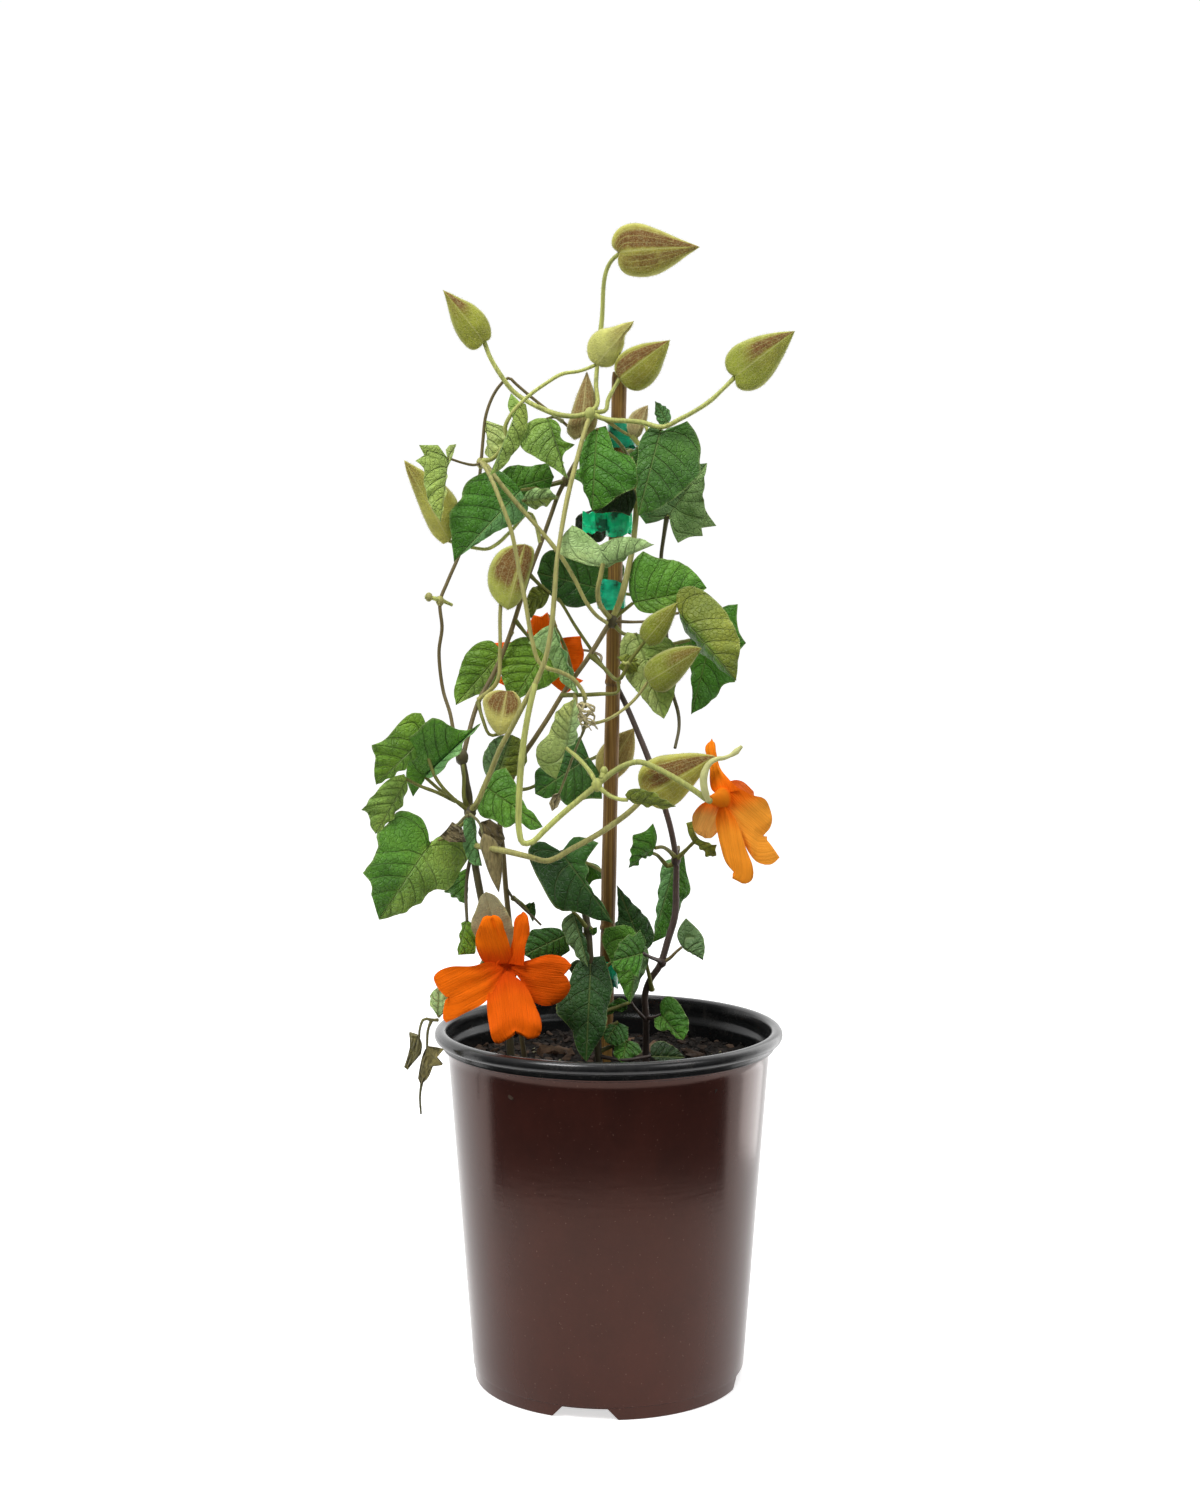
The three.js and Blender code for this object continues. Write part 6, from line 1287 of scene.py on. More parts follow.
STEM_TONES = dict(bark="#564f30", brown="#766840", purple="#54443c", olive="#7b7d36",
                  straw="#aeaa62", fresh="#b8be66", dry="#8a8758")
# Leaf tones. The darkest, ink, shade and deep, are painted shade for the leaves that lie low, deep
# in the plant or behind the cane.
LEAF_TONES = dict(ink="#232f18", shade="#243f16", deep="#28521a", dark="#366822",
                  ivy="#447526", green="#4d8a22", grass="#5c952c", moss="#6d9926",
                  spring="#70a138", lime="#8cb04a", pale="#9ab654", light="#b7ca74",
                  gray="#6c8f58", mint="#72aa62", mist="#a0c67a", milk="#c2e496",
                  olive="#869332")
VINES = dict(vine_left_lower=LEFT_LOWER, vine_left_outer=LEFT_OUTER, vine_middle=MIDDLE,
             vine_stake=STAKE_VINE, vine_right=RIGHT_VINE, low_tuft=LOW_TUFT,
             vine_back=BACK_VINE, young_shoot=YOUNG_SHOOT)
DOWNY = ("straw", "fresh")
SLIMMER = dict(straw=0.88, brown=0.75, purple=0.95, dry=0.8)
STEM_STEP, THIN_STEM, STOUT_STEM = 0.0017, 0.00095, 0.00125
# Painted shade: a stem's tone is darkened where it runs low towards the mix.
PAINTED_FOOT_SHADE = [0.155, 0.19], [0.4, 1]  # heights over the floor, and a stem's light at them
SMALL_LEAF = 45  # in the front view, from base to tip


def grow_stem(clay, spec, seed):
    """One stem or petiole: a little uneven, thicker at its foot, and darker towards it in painted
    shade where it runs low near the mix.
    """
    rng = np.random.default_rng(seed)
    path = along_curve(seen(spec["places"]), STEM_STEP)
    count = len(path)
    way = np.linspace(0, 1, count)
    radius = spec["radius"] * SLIMMER.get(spec["finish"], 1) * MM
    slow = np.interp(way * 9, np.arange(10), rng.normal(1, 0.05, 10))
    radii = radius * slow * (1.08 - 0.14 * way)
    if radius < THIN_STEM:
        radii = radii * (1 + 0.5 * np.exp(-way * count * 0.35))
    tone = paint(STEM_TONES[spec["finish"]])
    shade = np.interp(way * 6, np.arange(7), rng.normal(1, 0.09, 7))[:, None]
    # painted shade, darker the lower the stem runs
    shade = shade * np.interp(path[:, 2], *PAINTED_FOOT_SHADE)[:, None]
    tube(clay, path, radii, tone * shade, 10 if radius > STOUT_STEM else 8)


def build_vine(name, vine, order):
    """The stems and the leaves of one vine, in place of its solid."""
    stems, leaves, down = Clay(), Clay(), Clay()
    for k, spec in enumerate(vine["stems"]):
        for clay in (stems, down)[:1 + (spec["finish"] in DOWNY)]:
            grow_stem(clay, spec, order * 100 + k)
    main = vine["knot_tone"] or vine["stems"][0]["finish"]
    for k, (across, down_by, behind, radius) in enumerate(vine["knots"]):
        ball(stems, seen([(across, down_by, behind)])[0], radius * MM * 0.92,
             paint(STEM_TONES[main], 0.95), seed=order * 10 + k)
    young = name == "young_shoot"
    piece = stems.fire(name + "_stems", YOUNG_STEM if young else OLD_STEM)
    dress(piece, "young_stem" if young else "stem", name)
    for k, spec in enumerate(vine["leaves"].values()):
        tone, other = (paint(LEAF_TONES[spec["tones"].split()[side]]) for side in (0, -1))
        under = tone * 0.45 + paint("#a3ba84") * 0.55

        # Painted light and shade: a leaf's two tones go to its two halves, either side of the
        # midrib, one half lit and the other shaded.
        def tint(first, share, t, other=other):
            turn = smooth(-0.04, 0.04, t)[:, None]
            return first * (1 - turn) + other * turn

        size = np.hypot(*np.subtract(spec["tip"], spec["base"])[:2])
        veins = 5 if size < SMALL_LEAF else 7
        blade(leaves, spec, tone, under, leaf_lift(order * 50 + k, veins=veins), half=7,
              spacing=0.0015, blunt=62, tint=tint, veins=veins, ragged=0.0002)
    if leaves.count:
        dress(leaves.fire(name + "_leaves", LEAF), "leaf", name)
    return down


def build_buds():
    """Every closed bud, each in place of its own solid, and their down."""
    down = Clay()
    for name, spec in BUDS.items():
        one = Clay()
        tone, brown = BUD_TONES[name]
        for clay in (one, down):
            bud(clay, spec, paint(tone), brown)
        dress(one.fire(name + "_bracts", BUD, 80), "bud", name)
    return down


def petal_lift(seed):
    """A lobe's fine ridges, waved and curled margins, and crease."""
    rng = np.random.default_rng(seed)
    phase = rng.random(3) * TURN

    def lift(share, t, _):
        ridge = 0.35 * MM * np.sin(9 * t + phase[0] + 3 * share) * np.sin(math.pi * share)
        wave = 0.7 * MM * np.abs(t) ** 2 * np.sin(11 * share + phase[1])
        curl = -1.1 * MM * (np.abs(t) ** 4 + smooth(0.75, 1, share)) * smooth(0.2, 0.6, share)
        crease = -0.5 * MM * np.exp(-(t / 0.12) ** 2) * smooth(0, 0.3, share)
        return ridge + wave * smooth(0.2, 0.5, share) + curl + crease
    return lift


def turned_ring(clay, middle, axis, profile, tone, sides=32):
    """A closed shape turned round an axis: profile is (radius, height) from pole to pole."""
    axis = unit(np.asarray(axis))
    side = unit(np.cross(axis, [0.3, 0.1, 1.0]))
    other = np.cross(axis, side)
    turn = around_turn(sides)[:, None]
    ring = np.cos(turn) * side + np.sin(turn) * other
    points = np.concatenate([middle + axis * z + (ring if r else ring[:1]) * r
                             for r, z in profile])
    tone = np.asarray(tone)
    if tone.ndim == 2:
        tone = np.concatenate([tone[:1], np.repeat(tone[1:-1], sides, 0), tone[-1:]])
    clay.add(points, pole_faces(len(profile) - 2, sides), tone)


def build_flower(name, spec, tones, throat_tone, slot):
    """A corolla: five lobes round a throat, on a tube."""
    clay = Clay()
    throat, root = seen([spec["throat"]])[0], seen([spec["root"]])[0]
    r = spec["radius"] * MM
    axis = throat - root
    size = np.linalg.norm(axis)
    deep, first = paint(throat_tone), paint(tones[0])
    profile = [(0, 0), (0.3 * r, 0), (0.36 * r, 0.2 * size), (0.48 * r, 0.5 * size),
               (0.68 * r, 0.8 * size), (0.8 * r, 0.94 * size), (0.7 * r, size - 0.0006),
               (0.5 * r, size - 0.0018), (0.3 * r, size - 0.0034), (0, size - 0.0042)]
    turned_ring(clay, root, axis, profile, np.array([first * 0.9] * 5 + [deep] * 5))
    way = unit(axis)
    for k, lobe in enumerate(spec["lobes"]):
        tip = seen([lobe["tip"]])[0]
        reach = tip - throat
        out = unit(reach - way * np.dot(reach, way))
        base = read_off(throat + out * r * 0.25 - way * 0.0016)
        tone = paint(tones[k % len(tones)])

        # Deeper orange into the throat, partly the corolla's own colour and partly painted shade in
        # its hollow; a little lighter at the lobes' ends.
        def tint(first, share, t):
            inner = (1 - smooth(0.02, 0.45, share))[:, None]
            edge = 1 + 0.05 * smooth(0.6, 1, share)[:, None]
            return (first * (1 - inner) + deep * inner) * edge

        blade(clay, dict(lobe, base=base), tone, tone * 0.85 + paint("#f0b070") * 0.1,
              petal_lift(k + len(name)), half=7, spacing=0.0016, thickness=0.0005, blunt=75,
              tint=tint, veins=3)
    dress(clay.fire(name + "_corolla", PETAL, 70), slot, name)


def build_bracts(down):
    """The bracts that hold the flowers; only those of the front one carry down."""
    for name, (first, second, under) in BRACT_TONES.items():
        clay = Clay()
        roll = BRACTS[name].get("rolled", [])
        if roll:
            path = along_curve(seen(roll), 0.0012)
            way = np.linspace(0, 1, len(path))[:, None]
            wide = np.interp(way[:, 0], [0, 0.1, 0.35, 0.55, 0.8, 0.9, 1],
                             [1.2, 1.7, 1.8, 1.2, 0.9, 1.5, 0.7]) * MM
            tube(clay, path, wide, paint(first) * (1 - way) + paint(second) * way, 12)
        for k, spec in enumerate(BRACTS[name]["pair"]):
            for one in (clay, down)[:1 + (name == "bracts_front")]:
                blade(one, spec, paint((first, second)[k]), paint(under),
                      leaf_lift(k + 7, 0.25, 0.3), blunt=70, thickness=0.0006, veins=4)
        dress(clay.fire(name + "_blades", BRACT), "bract", name)


def crumple(seed):
    """The lift of a dried skin: six waves, each with its own way and start."""
    rng = np.random.default_rng(seed)
    waves = rng.normal(0, 1, (6, 3))

    def lift(share, t, _):
        height = sum(math.cos(3 * c) * np.sin(8 * a * share + 6 * b * t + c)
                     for a, b, c in waves)
        return 0.6 * MM * height
    return lift


def curled_threads(clay, spec, tone, seed):
    """What is left of a flower: dry threads curled round each other."""
    rng = np.random.default_rng(seed)
    top, low = seen([spec["base"]])[0], seen([spec["tip"]])[0]
    middle, reach = (top + low) / 2, (top - low) / 2
    out = np.array([0.0045, 0.0035, 0])
    for k in range(9):
        turn = np.linspace(0, 3.5 + 2.5 * rng.random(), 9) + TURN * rng.random()
        up = np.linspace(1, -1, 9) * (0.5 + 0.5 * rng.random()) + rng.normal(0, 0.12, 9)
        wide = 0.55 + 0.45 * rng.random(9)
        path = (middle + up[:, None] * reach + (wide * np.cos(turn))[:, None] * out * [1, 0, 0]
                + (wide * np.sin(turn))[:, None] * out * [0, 1, 0])
        path = along_curve(np.concatenate([[top], path]), 0.0008)
        tube(clay, path, np.linspace(0.0006, 0.0003, len(path)),
             tone * (0.75 + 0.5 * rng.random()), 6)


def build_withered():
    """The dried remains: pods, threads and crumpled skins, each skin in three layers."""
    for name, spec in WITHERED.items():
        clay = Clay()
        for k, one in enumerate(spec["stems"]):
            grow_stem(clay, one, k + 5)
        for across, down, behind, radius in spec["knots"]:
            ball(clay, seen([(across, down, behind)])[0], radius * MM, paint("#6a6040"))
        for k, (part, one) in enumerate(spec["leaves"].items()):
            tone = paint(WITHERED_TONES[part])
            if part == "pod":
                bud(clay, dict(one, plump=2.0), tone, (0, 0, 0), around=20)
            elif part == "head":
                curled_threads(clay, one, tone, 3)
            else:
                for turn in range(3):
                    blade(clay, one, tone * (1 - 0.15 * turn), tone * 0.7,
                          crumple(k * 3 + turn + len(name)), blunt=30, spacing=0.0012, veins=4)
        dress(clay.fire(name + "_bits", WITHERED_SKIN), "withered", name)


# Pot

# Radii and heights in millimetres over the floor that the pot stands on.
POT_WALL, SKIRT_RADIUS, WALL_TOP, WALL_FOOT = 1.6, 63.9, (76.1, 156.5), (64.7, 6.4)
INNER_FLOOR = 7.0
NOTCH = dict(count=4, first=-100, bottom=33, top=21, height=5.4, depth=12)
POT_CREASE = 32  # degrees; a sharper fold shows as an edge
MIX_LEVEL = 150


def pot_profile():
    """(radius, height, finish): 2 for the brown wall, 1 for the black lip, 0 for the inside."""
    outer = [(0, 0, 0), (29.4, 0, 0), (30.2, 0.1, 0), (32.8, 5.2, 0), (33.6, 5.4, 0),
             (53.6, 5.4, 0), (54.4, 5.2, 0), (56.4, 0.2, 0), (57.0, 0, 2), (63.2, 0, 2),
             (63.75, 0.25, 2), (63.95, 0.9, 2), (64.05, 5.2, 2), (64.15, 5.9, 2),
             (64.65, 6.3, 2), (64.8, 7.0, 2)]
    wall = [(64.8 + 11.1 * w, 7 + 147 * w, 2) for w in np.linspace(0, 1, 15)[1:]]
    lip = [(76.0, 155.4, 2), (76.3, 157.2, 2), (76.9, 158.9, 2), (77.9, 159.4, 2),
           (78.6, 159.7, 2), (78.8, 160.2, 2), (78.4, 160.8, 1), (78.4, 162.2, 1),
           (79.3, 163.0, 1), (81.2, 163.3, 1), (82.0, 163.8, 1), (82.4, 164.6, 1),
           (82.5, 165.6, 1), (82.25, 166.9, 1), (81.6, 167.9, 1),
           (80.6, 168.55, 1), (79.4, 168.7, 1), (78.2, 168.45, 1), (77.35, 167.7, 1),
           (76.9, 166.6, 0), (76.6, 163.5, 0), (76.4, 160.4, 0), (76.1, 159.3, 0),
           (75.2, 158.2, 0), (74.7, 157.2, 0), (74.5, 156.2, 0)]
    return outer + wall + lip + [(63.1, 10, 0), (61.2, INNER_FLOOR, 0), (34, INNER_FLOOR, 0),
                                 (29, POT_WALL, 0), (0, POT_WALL, 0)]


def build_pot():
    """A fine turned pot, with its four drainage notches cut out of the base edge."""
    profile, sides = pot_profile(), 192
    clay = Clay()
    turned_ring(clay, np.zeros(3), (0, 0, 1), [(r * MM, z * MM) for r, z, _ in profile],
                (1, 1, 1), sides)
    pot = clay.fire("pot_shell", POT_WALL_BROWN, POT_CREASE)
    pot.data.materials.append(POT_LIP_BLACK)
    pot.data.materials.append(POT_INSIDE)
    marks = np.repeat([mark for _, _, mark in profile],
                      [1] + [sides] * (len(profile) - 2) + [1])
    for face in pot.data.polygons:
        face.material_index = 2 - int(marks[list(face.vertices)].min())
    cutter = Clay()
    for k in range(NOTCH["count"]):
        turn = math.radians(NOTCH["first"] + k * 360 / NOTCH["count"])
        out = np.array([math.cos(turn), math.sin(turn), 0])
        along = np.array([-out[1], out[0], 0])
        near, far = SKIRT_RADIUS - NOTCH["depth"], SKIRT_RADIUS + NOTCH["depth"]
        spots = [out * deep + along * half * side + np.array([0, 0, z])
                 for deep in (near, far)
                 for half, z in ((NOTCH["bottom"] / 2, -1), (NOTCH["top"] / 2, NOTCH["height"]))
                 for side in (-1, 1)]
        cutter.add(np.array(spots) * MM, [(0, 1, 3, 2), (4, 6, 7, 5), (0, 4, 5, 1),
                                          (2, 3, 7, 6), (0, 2, 6, 4), (1, 5, 7, 3)], (0, 0, 0))
    blocks = cutter.fire("notch_blocks", POT_WALL_BROWN)
    modifier = pot.modifiers.new("notches", "BOOLEAN")
    modifier.operation, modifier.solver, modifier.object = "DIFFERENCE", "EXACT", blocks
    evaluated = pot.evaluated_get(bpy.context.evaluated_depsgraph_get())
    mesh = bpy.data.meshes.new_from_object(evaluated)
    pot.modifiers.remove(modifier)
    pot.data = mesh
    mesh.set_sharp_from_angle(angle=math.radians(POT_CREASE))
    bpy.data.objects.remove(blocks)
    dress(pot, "pot_plastic", "pot")


def lump(x, y):
    """The slow rise and fall of the mix, in millimetres."""
    return 0.9 * np.sin(x * 0.21 + 1) * np.cos(y * 0.19) + 0.6 * np.sin(x * 0.4 - y * 0.33)


def build_mix():
    """The mix: a rough top with crumbs and bark strewn over it, and a plain body below."""
    foot, side, edge = (
        np.interp(z, (WALL_FOOT[1], WALL_TOP[1]), (WALL_FOOT[0], WALL_TOP[0])) - POT_WALL - 0.3
        for z in (11, MIX_LEVEL - 4, MIX_LEVEL))
    sides, rings = 160, 52
    profile = [(0, 2.0), (28, 2.0), (34, 7.4), (60, 7.4), (foot, 11.0), (side, MIX_LEVEL - 4)]
    profile += [((edge - 0.2) * w, MIX_LEVEL) for w in np.linspace(1, 0, rings)]
    clay = Clay()
    turned_ring(clay, np.zeros(3), (0, 0, 1), [(r * MM, z * MM) for r, z in profile],
                (1, 1, 1), sides)
    points = clay.points[0]
    x, y = points[:, 0] / MM, points[:, 1] / MM
    rng = np.random.default_rng(4)
    rough = np.zeros(len(points))
    for _ in range(40):
        a, b = rng.normal(0, 0.55, 2)
        rough += 0.16 * np.sin(a * x + b * y + rng.random() * TURN)
    top = points[:, 2] > (MIX_LEVEL - 1) * MM
    points[:, 2] += top * (lump(x, y) + rough - 0.4 + 0.8 * smooth(66, 73, np.hypot(x, y))) * MM
    dress(clay.fire("mix_body", MIX, 80), "potting_mix", "potting_mix")
    skin, count = Clay(), (rings - 1) * sides
    skin.points, skin.faces = [points[top][:count]], grid_faces(rings - 1, sides, True)
    skin.tones, skin.lies = [np.ones((count, 3))], [np.zeros((count, 4))]
    bed = skin.fire("mix_bed", MIX)
    if normals_of(skin.points[0], skin.faces)[:, 2].sum() < 0:
        bed.data.flip_normals()
    for name, sizes in STREWN.items():
        dress(strewn(bed, name, CRUMBS, **sizes), "potting_mix")
    bpy.data.objects.remove(bed)
    bark = Clay()
    for k, (x, y, length, width, height, turn) in enumerate(BARK):
        chip(bark, x, y, length, width, height, turn, k)
    dress(bark.fire("bark_chips", BARK_CRUMB, 35), "potting_mix")


def chip(clay, x, y, length, width, height, turn, seed):
    """A flat broken piece of bark lying on the mix."""
    rng = np.random.default_rng(seed)
    nx, ny = 9, 6
    u, v = np.meshgrid(np.linspace(-1, 1, nx), np.linspace(-1, 1, ny), indexing="ij")
    ragged = 1 + rng.normal(0, 0.09, (nx, ny))
    outline = (1 - 0.35 * u ** 4) * ragged
    flat = np.stack([u * length / 2 * ragged, v * width / 2 * outline], -1)
    rise = height * (0.55 + 0.25 * np.cos(2.2 * v) + rng.normal(0, 0.08, (nx, ny)))
    lean = 0.18 * np.sin(x) * flat[..., 0] + 0.2 * np.cos(y) * flat[..., 1]
    c, s = math.cos(turn), math.sin(turn)
    px = x + c * flat[..., 0] - s * flat[..., 1]
    py = y + s * flat[..., 0] + c * flat[..., 1]
    sheets = [np.stack([px, py, MIX_LEVEL + z + lean], -1).reshape(-1, 3)
              for z in (rise - 1.2, -2.5)]
    faces = walled([(a, d, c, b) for a, b, c, d in grid_faces(nx, ny)], nx * ny)
    tone = paint(("#54402f", "#6e5743", "#3c2e24")[seed % 3])
    clay.add(np.concatenate(sheets) * MM, faces, tone)


# Cane and ties

STAKE_RADIUS, STAKE_FOOT, STAKE_TOP = 3.5, (-4.4, 5, 22), (5, 5, 476.6)


def stake_at(z):
    t = (np.asarray(z, float) - STAKE_FOOT[2]) / (STAKE_TOP[2] - STAKE_FOOT[2])
    return np.stack([low + (high - low) * t for low, high in zip(STAKE_FOOT, STAKE_TOP)], -1)


def build_cane():
    """The cane, with its joints: a low ridge over a narrow groove."""
    clay = Clay()
    z = np.unique(np.concatenate([np.linspace(STAKE_FOOT[2], STAKE_TOP[2], 150)] + [
        np.linspace(joint - 5, joint + 5, 21) for joint in CANE_JOINTS]))
    radius = np.full(len(z), STAKE_RADIUS)
    tone = np.ones((len(z), 3))
    for joint in CANE_JOINTS:
        radius += 0.45 * np.exp(-((z - joint - 0.9) / 1.3) ** 2)
        radius -= 0.3 * np.exp(-((z - joint + 0.6) / 0.5) ** 2)
        tone *= 1 - 0.45 * np.exp(-((z - joint + 0.5) / 0.9) ** 2)[:, None]
    radius += 0.08 * np.sin(z * 0.11)
    radius[-1] -= 0.35
    tube(clay, stake_at(z) * MM, radius * MM, tone, 28)
    dress(clay.fire("cane", CANE, 50), "bamboo", "bamboo_stake")


def band(clay, path, z, height, tone, seed, closed=True, thickness=0.25):
    """A crumpled strip of tape along a level path, in millimetres."""
    rng = np.random.default_rng(seed)
    path = np.asarray(path, float)
    count, rows = len(path), 11
    way = np.roll(path, -1, 0) - np.roll(path, 1, 0) if closed else np.gradient(path, axis=0)
    out = unit(np.stack([way[:, 1], -way[:, 0]], 1))
    v = np.linspace(-0.5, 0.5, rows)[:, None]
    turn = np.linspace(0, 2 * math.pi, count, endpoint=not closed)
    waves = [(rng.integers(1, 9), rng.normal(0, 7), rng.random() * TURN) for _ in range(7)]
    rough = sum(np.sin(a * turn + b * v + c) for a, b, c in waves) * 0.12
    lean = 0.6 * np.sin(turn + rng.random() * 6)
    pinch = 1 + 0.12 * np.cos(3 * turn + 1)
    sheets = [np.concatenate([path + out * (rough + 0.35 - back)[..., None],
                              (z + v * height * pinch * low + lean)[..., None]], -1)
              for back, low in ((0, 1), (thickness, 0.98))]
    points = np.concatenate([sheet.reshape(-1, 3) for sheet in sheets]) * MM
    faces = walled(grid_faces(rows, count, closed), count * rows)
    clay.add(points, faces, tone)


def build_ties():
    """Each tie: a closed band round the cane and the stem, and an end of two strips."""
    half = STAKE_RADIUS + 0.3
    for name, (z, height, reach, turn, length, tone) in TIES.items():
        clay = Clay()
        x, y = stake_at(z)[:2]
        ends = []
        for centre, start in ((reach[1] - STAKE_RADIUS, -90), (STAKE_RADIUS - reach[0], 90)):
            for angle in np.radians(np.linspace(start, start + 180, 17)):
                ends.append((x + centre + (half + 0.15) * math.cos(angle),
                             y + (half + 0.15) * math.sin(angle)))
        band(clay, ends, z, height, paint(tone), len(name))
        c, s = math.cos(turn), math.sin(turn)
        for side in (-0.35, 0.35):
            flap = [(x + c * d - s * (side + 0.25 * math.sin(d * 1.3)),
                     y + s * d + c * (side + 0.25 * math.sin(d * 1.3)))
                    for d in np.linspace(half + 0.2, half + length, 12)]
            band(clay, flap, z, height * 0.8, paint(tone, 1.15), len(name) + 3, False, 0.2)
        dress(clay.fire(name + "_tape", TAPE, 60), "tape", name)


# The finishes of each bud: its tone, and where its brown begins and how strong it is on
# either side of the keel.
BUD_TONES = dict(
    bud_top=("#c0c050", (-0.15, 1.3, 0.9)),
    bud_upper_left=("#aab03c", (0.35, 1.2, 0.45)),
    bud_left_of_stake=("#cfd070", (0.3, 0.5, 0.7)),
    bud_over_stake=("#a9b03a", (-0.2, 1.3, 0.35)),
    bud_beside_stake=("#ab9d65", (-0.1, 0.8, 0.8)),
    bud_right_of_stake=("#b4a674", (0.1, 0.7, 0.6)),
    bud_right=("#a9b340", (0.1, 1.15, 0.3)),
    bud_outer_left=("#c0be54", (0.5, 0.7, 0.6)),
    bud_hairy=("#c0c858", (0.14, 1.7, 1.4)),
    bud_right_upper=("#858f22", (0.3, 0.25, 0.25)),
    bud_right_lower=("#8c962e", (0.25, 0.7, 0.3)),
    bud_brown=("#d0c96c", (0.3, 1.5, 1.6)),
    bud_long=("#bcbc48", (-0.1, 1.3, 0.4)),
    bud_behind_stake=("#b8a85c", (0.1, 0.5, 0.6)),
)
BRACT_TONES = dict(
    bracts_front=("#a39c78", "#8f8466", "#a9aa70"),
    bracts_right=("#c6cb84", "#c6cb84", "#c6cb84"),
    bracts_middle=("#8a9a50", "#8a9a50", "#8a9a50"),
)
WITHERED_TONES = dict(pod="#96895c", bit="#8a7d58", head="#bdb184", tail="#cbbd92",
                      outer="#8a8450", inner="#857c4c", husk="#6f6240")
# Each chip's place across and back, its length, width and height, and its turn.
BARK = [
    (-26, 24, 16, 9, 6, 0.35), (20, 34, 12, 6, 4, 1.2), (42, 22, 10, 5, 4, -0.5),
    (-48, 6, 12, 7, 4, 0.9), (6, 52, 14, 6, 4, 0.1), (-34, -26, 11, 6, 4, 2.2),
    (38, -30, 13, 6, 4, -0.9), (-8, -46, 12, 7, 4, 0.7),
]
STREWN = dict(
    fine_crumbs=dict(Density=150000.0, Least=0.0011, Most=0.0026, Seed=3,
                     Dark=(0.004, 0.003, 0.0025), Light=(0.022, 0.015, 0.011)),
    bark_crumbs=dict(Density=17000.0, Least=0.003, Most=0.0062, Seed=8,
                     Dark=(0.008, 0.006, 0.005), Light=(0.075, 0.045, 0.028)),
    pale_crumbs=dict(Density=2200.0, Least=0.0014, Most=0.0034, Seed=5,
                     Dark=(0.1, 0.09, 0.05), Light=(0.42, 0.4, 0.26)),
)
CANE_JOINTS = (92, 214, 331, 438)  # heights over the floor
# Each tie's height over the floor, its width, its reach to either side of the cane, the turn
# and length of its end, and its tone.
TIES = dict(
    tape_tie_top=(447, 11, (4.1, 7.4), 0.5, 6, "#0a8a6a"),
    tape_tie_upper=(407, 12, (4.1, 6.4), 3.5, 13, "#08cf90"),
    tape_tie_middle=(373, 13, (7.4, 4.1), 3.7, 5, "#0ca47c"),
    tape_tie_low=(192, 12, (4.1, 4.6), 0.4, 4, "#12b48a"),
)

# Building: the clays gathered in downs carry the stems, buds and bracts that have down.
downs = [build_vine(name, vine, k + 1) for k, (name, vine) in enumerate(VINES.items())]
downs.append(build_buds())
# Each lobe has its own tone, lighter or darker by how light falls on it: painted light and shade;
# the right flower's paler lobes are partly the backs of its petals.
build_flower("flower_front", FLOWERS["flower_front"],
             ["#fb7405", "#ee6504", "#ea5d04", "#f06404", "#f97006"], "#dc4a00", "petal")
build_flower("flower_right", FLOWERS["flower_right"],
             ["#f68614", "#f69e32", "#f29226", "#f1aa54", "#f67406"], "#fb6c02",
             "petal_amber")
build_flower("flower_middle", FLOWERS["flower_middle"], ["#fc6604"], "#dc4c00", "petal")
build_bracts(downs[-1])
build_withered()
build_pot()
build_mix()
build_cane()
build_ties()

for name, slot, clays, density in (
    ("stem_down", "young_stem", [d for d in downs[:-1] if d.count], 1300000.0),
    ("bud_down", "bud", downs[-1:], 1400000.0),
):
    whole = Clay()
    for one in clays:
        whole.add(np.concatenate(one.points), one.faces, np.ones(3))
    base = whole.fire(name + "_base", YOUNG_STEM)
    dress(strewn(base, name, HAIRS, Density=density, Seed=11, Dark=(0.3, 0.3, 0.11),
                 Light=(0.55, 0.55, 0.3)), slot)
    bpy.data.objects.remove(base)


# Stage, light and camera

def build_stage():
    """A pale floor, round in front: the pot's upper wall mirrors the dimmer room below it."""
    mesh = bpy.data.meshes.new("floor")
    edge = [(0.31 * math.cos(a), 0.31 * math.sin(a), 0) for a in np.linspace(-math.pi, 0, 33)]
    edge += [(9, 0, 0), (9, 9, 0), (-9, 9, 0), (-9, 0, 0)]
    mesh.from_pydata(edge, [], [tuple(range(len(edge)))])
    pale = bpy.data.materials.new("pale floor")
    pale.use_nodes = True
    surface = pale.node_tree.nodes["Principled BSDF"].inputs
    for key, value in {"Base Color": (0.9, 0.9, 0.9, 1), "Emission Color": (1, 1, 1, 1),
                       "Emission Strength": 0.62, "Roughness": 0.9,
                       "Specular IOR Level": 0.1}.items():
        surface[key].default_value = value
    mesh.materials.append(pale)
    placed("floor", mesh)


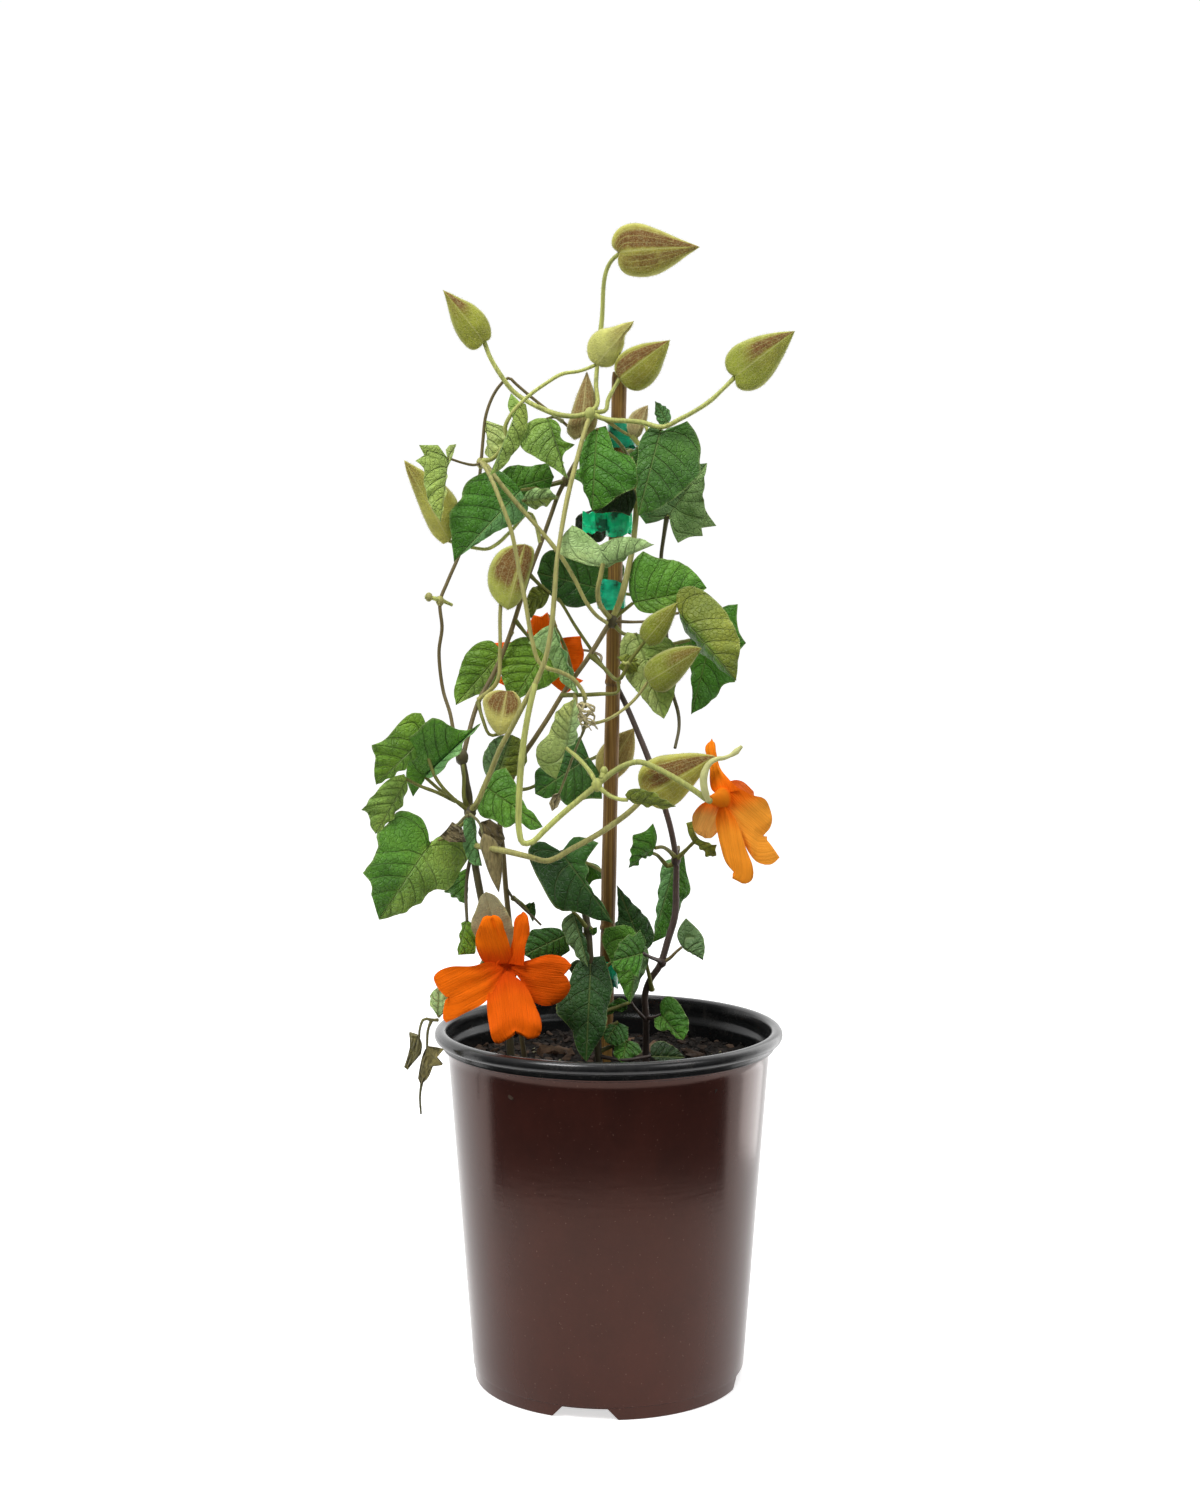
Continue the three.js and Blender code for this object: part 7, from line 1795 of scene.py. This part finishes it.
def build_room():
    """A white room behind the plant, and a dimmer one on the viewer's side."""
    world = bpy.data.worlds.new("room")
    bpy.context.scene.world = world
    world.use_nodes = True
    tree = world.node_tree
    tree.nodes.clear()
    _, behind, above = parts_of(Value(node(tree, "ShaderNodeTexCoord").outputs["Generated"]))
    rear = ramp(behind * 0.5 + 0.5, (0.54, 0.0), (0.61, 1.0))
    upper = ramp(above * 0.5 + 0.5, (0.45, 0.08), (0.75, 0.55))
    rays = node(tree, "ShaderNodeLightPath").outputs
    light = mixed(rear, upper, mixed(Value(rays["Is Glossy Ray"]), 0.42, 1.6))
    shade = node(tree, "ShaderNodeBackground", dict(Color=light, Strength=0.95))
    white = node(tree, "ShaderNodeBackground", dict(Color=1.0, Strength=1.02))
    both = node(tree, "ShaderNodeMixShader", {
        0: rays["Is Camera Ray"], 1: shade.outputs[0], 2: white.outputs[0]})
    node(tree, "ShaderNodeOutputWorld", dict(Surface=both.outputs[0]))


def softbox(name, place, aim, size, power, only_gloss=False):
    """A lamp of a given size that faces the place it aims at, itself unseen."""
    light = bpy.data.lights.new(name, "AREA")
    light.shape, light.size, light.size_y, light.energy = "RECTANGLE", *size, power
    lamp = placed(name, light)
    lamp.location = place
    way = np.subtract(aim, place)
    flat = math.hypot(way[0], way[1])
    lamp.rotation_euler = (math.atan2(flat, -way[2]), 0, math.atan2(-way[0], way[1]))
    lamp.visible_camera = False
    lamp.visible_diffuse = not only_gloss


build_stage()
build_room()
softbox("key", (-0.8, -0.9, 1.7), (0, 0, 0.28), (0.7, 0.7), 22)
softbox("fill", (1.2, -1.0, 1.2), (0, 0, 0.28), (0.8, 0.8), 6)
softbox("top", (0.1, 0.2, 1.7), (0, 0, 0.2), (1.0, 1.0), 8)
softbox("right strip", (0.29, 0.17, 0.25), (0, 0, 0.2), (0.22, 0.5), 0.6, True)

camera = bpy.data.cameras.new("front view")
camera.sensor_width, camera.lens = 36, 36 * EYE["reach"] / HIGH
viewer = placed("front view", camera)
viewer.location = (EYE["x"] * MM, EYE["y"] * MM, EYE["z"] * MM)
viewer.rotation_euler = (math.pi / 2 - EYE["tilt"], 0, 0)
bpy.context.scene.camera = viewer
bpy.context.scene.view_settings.view_transform = "Standard"
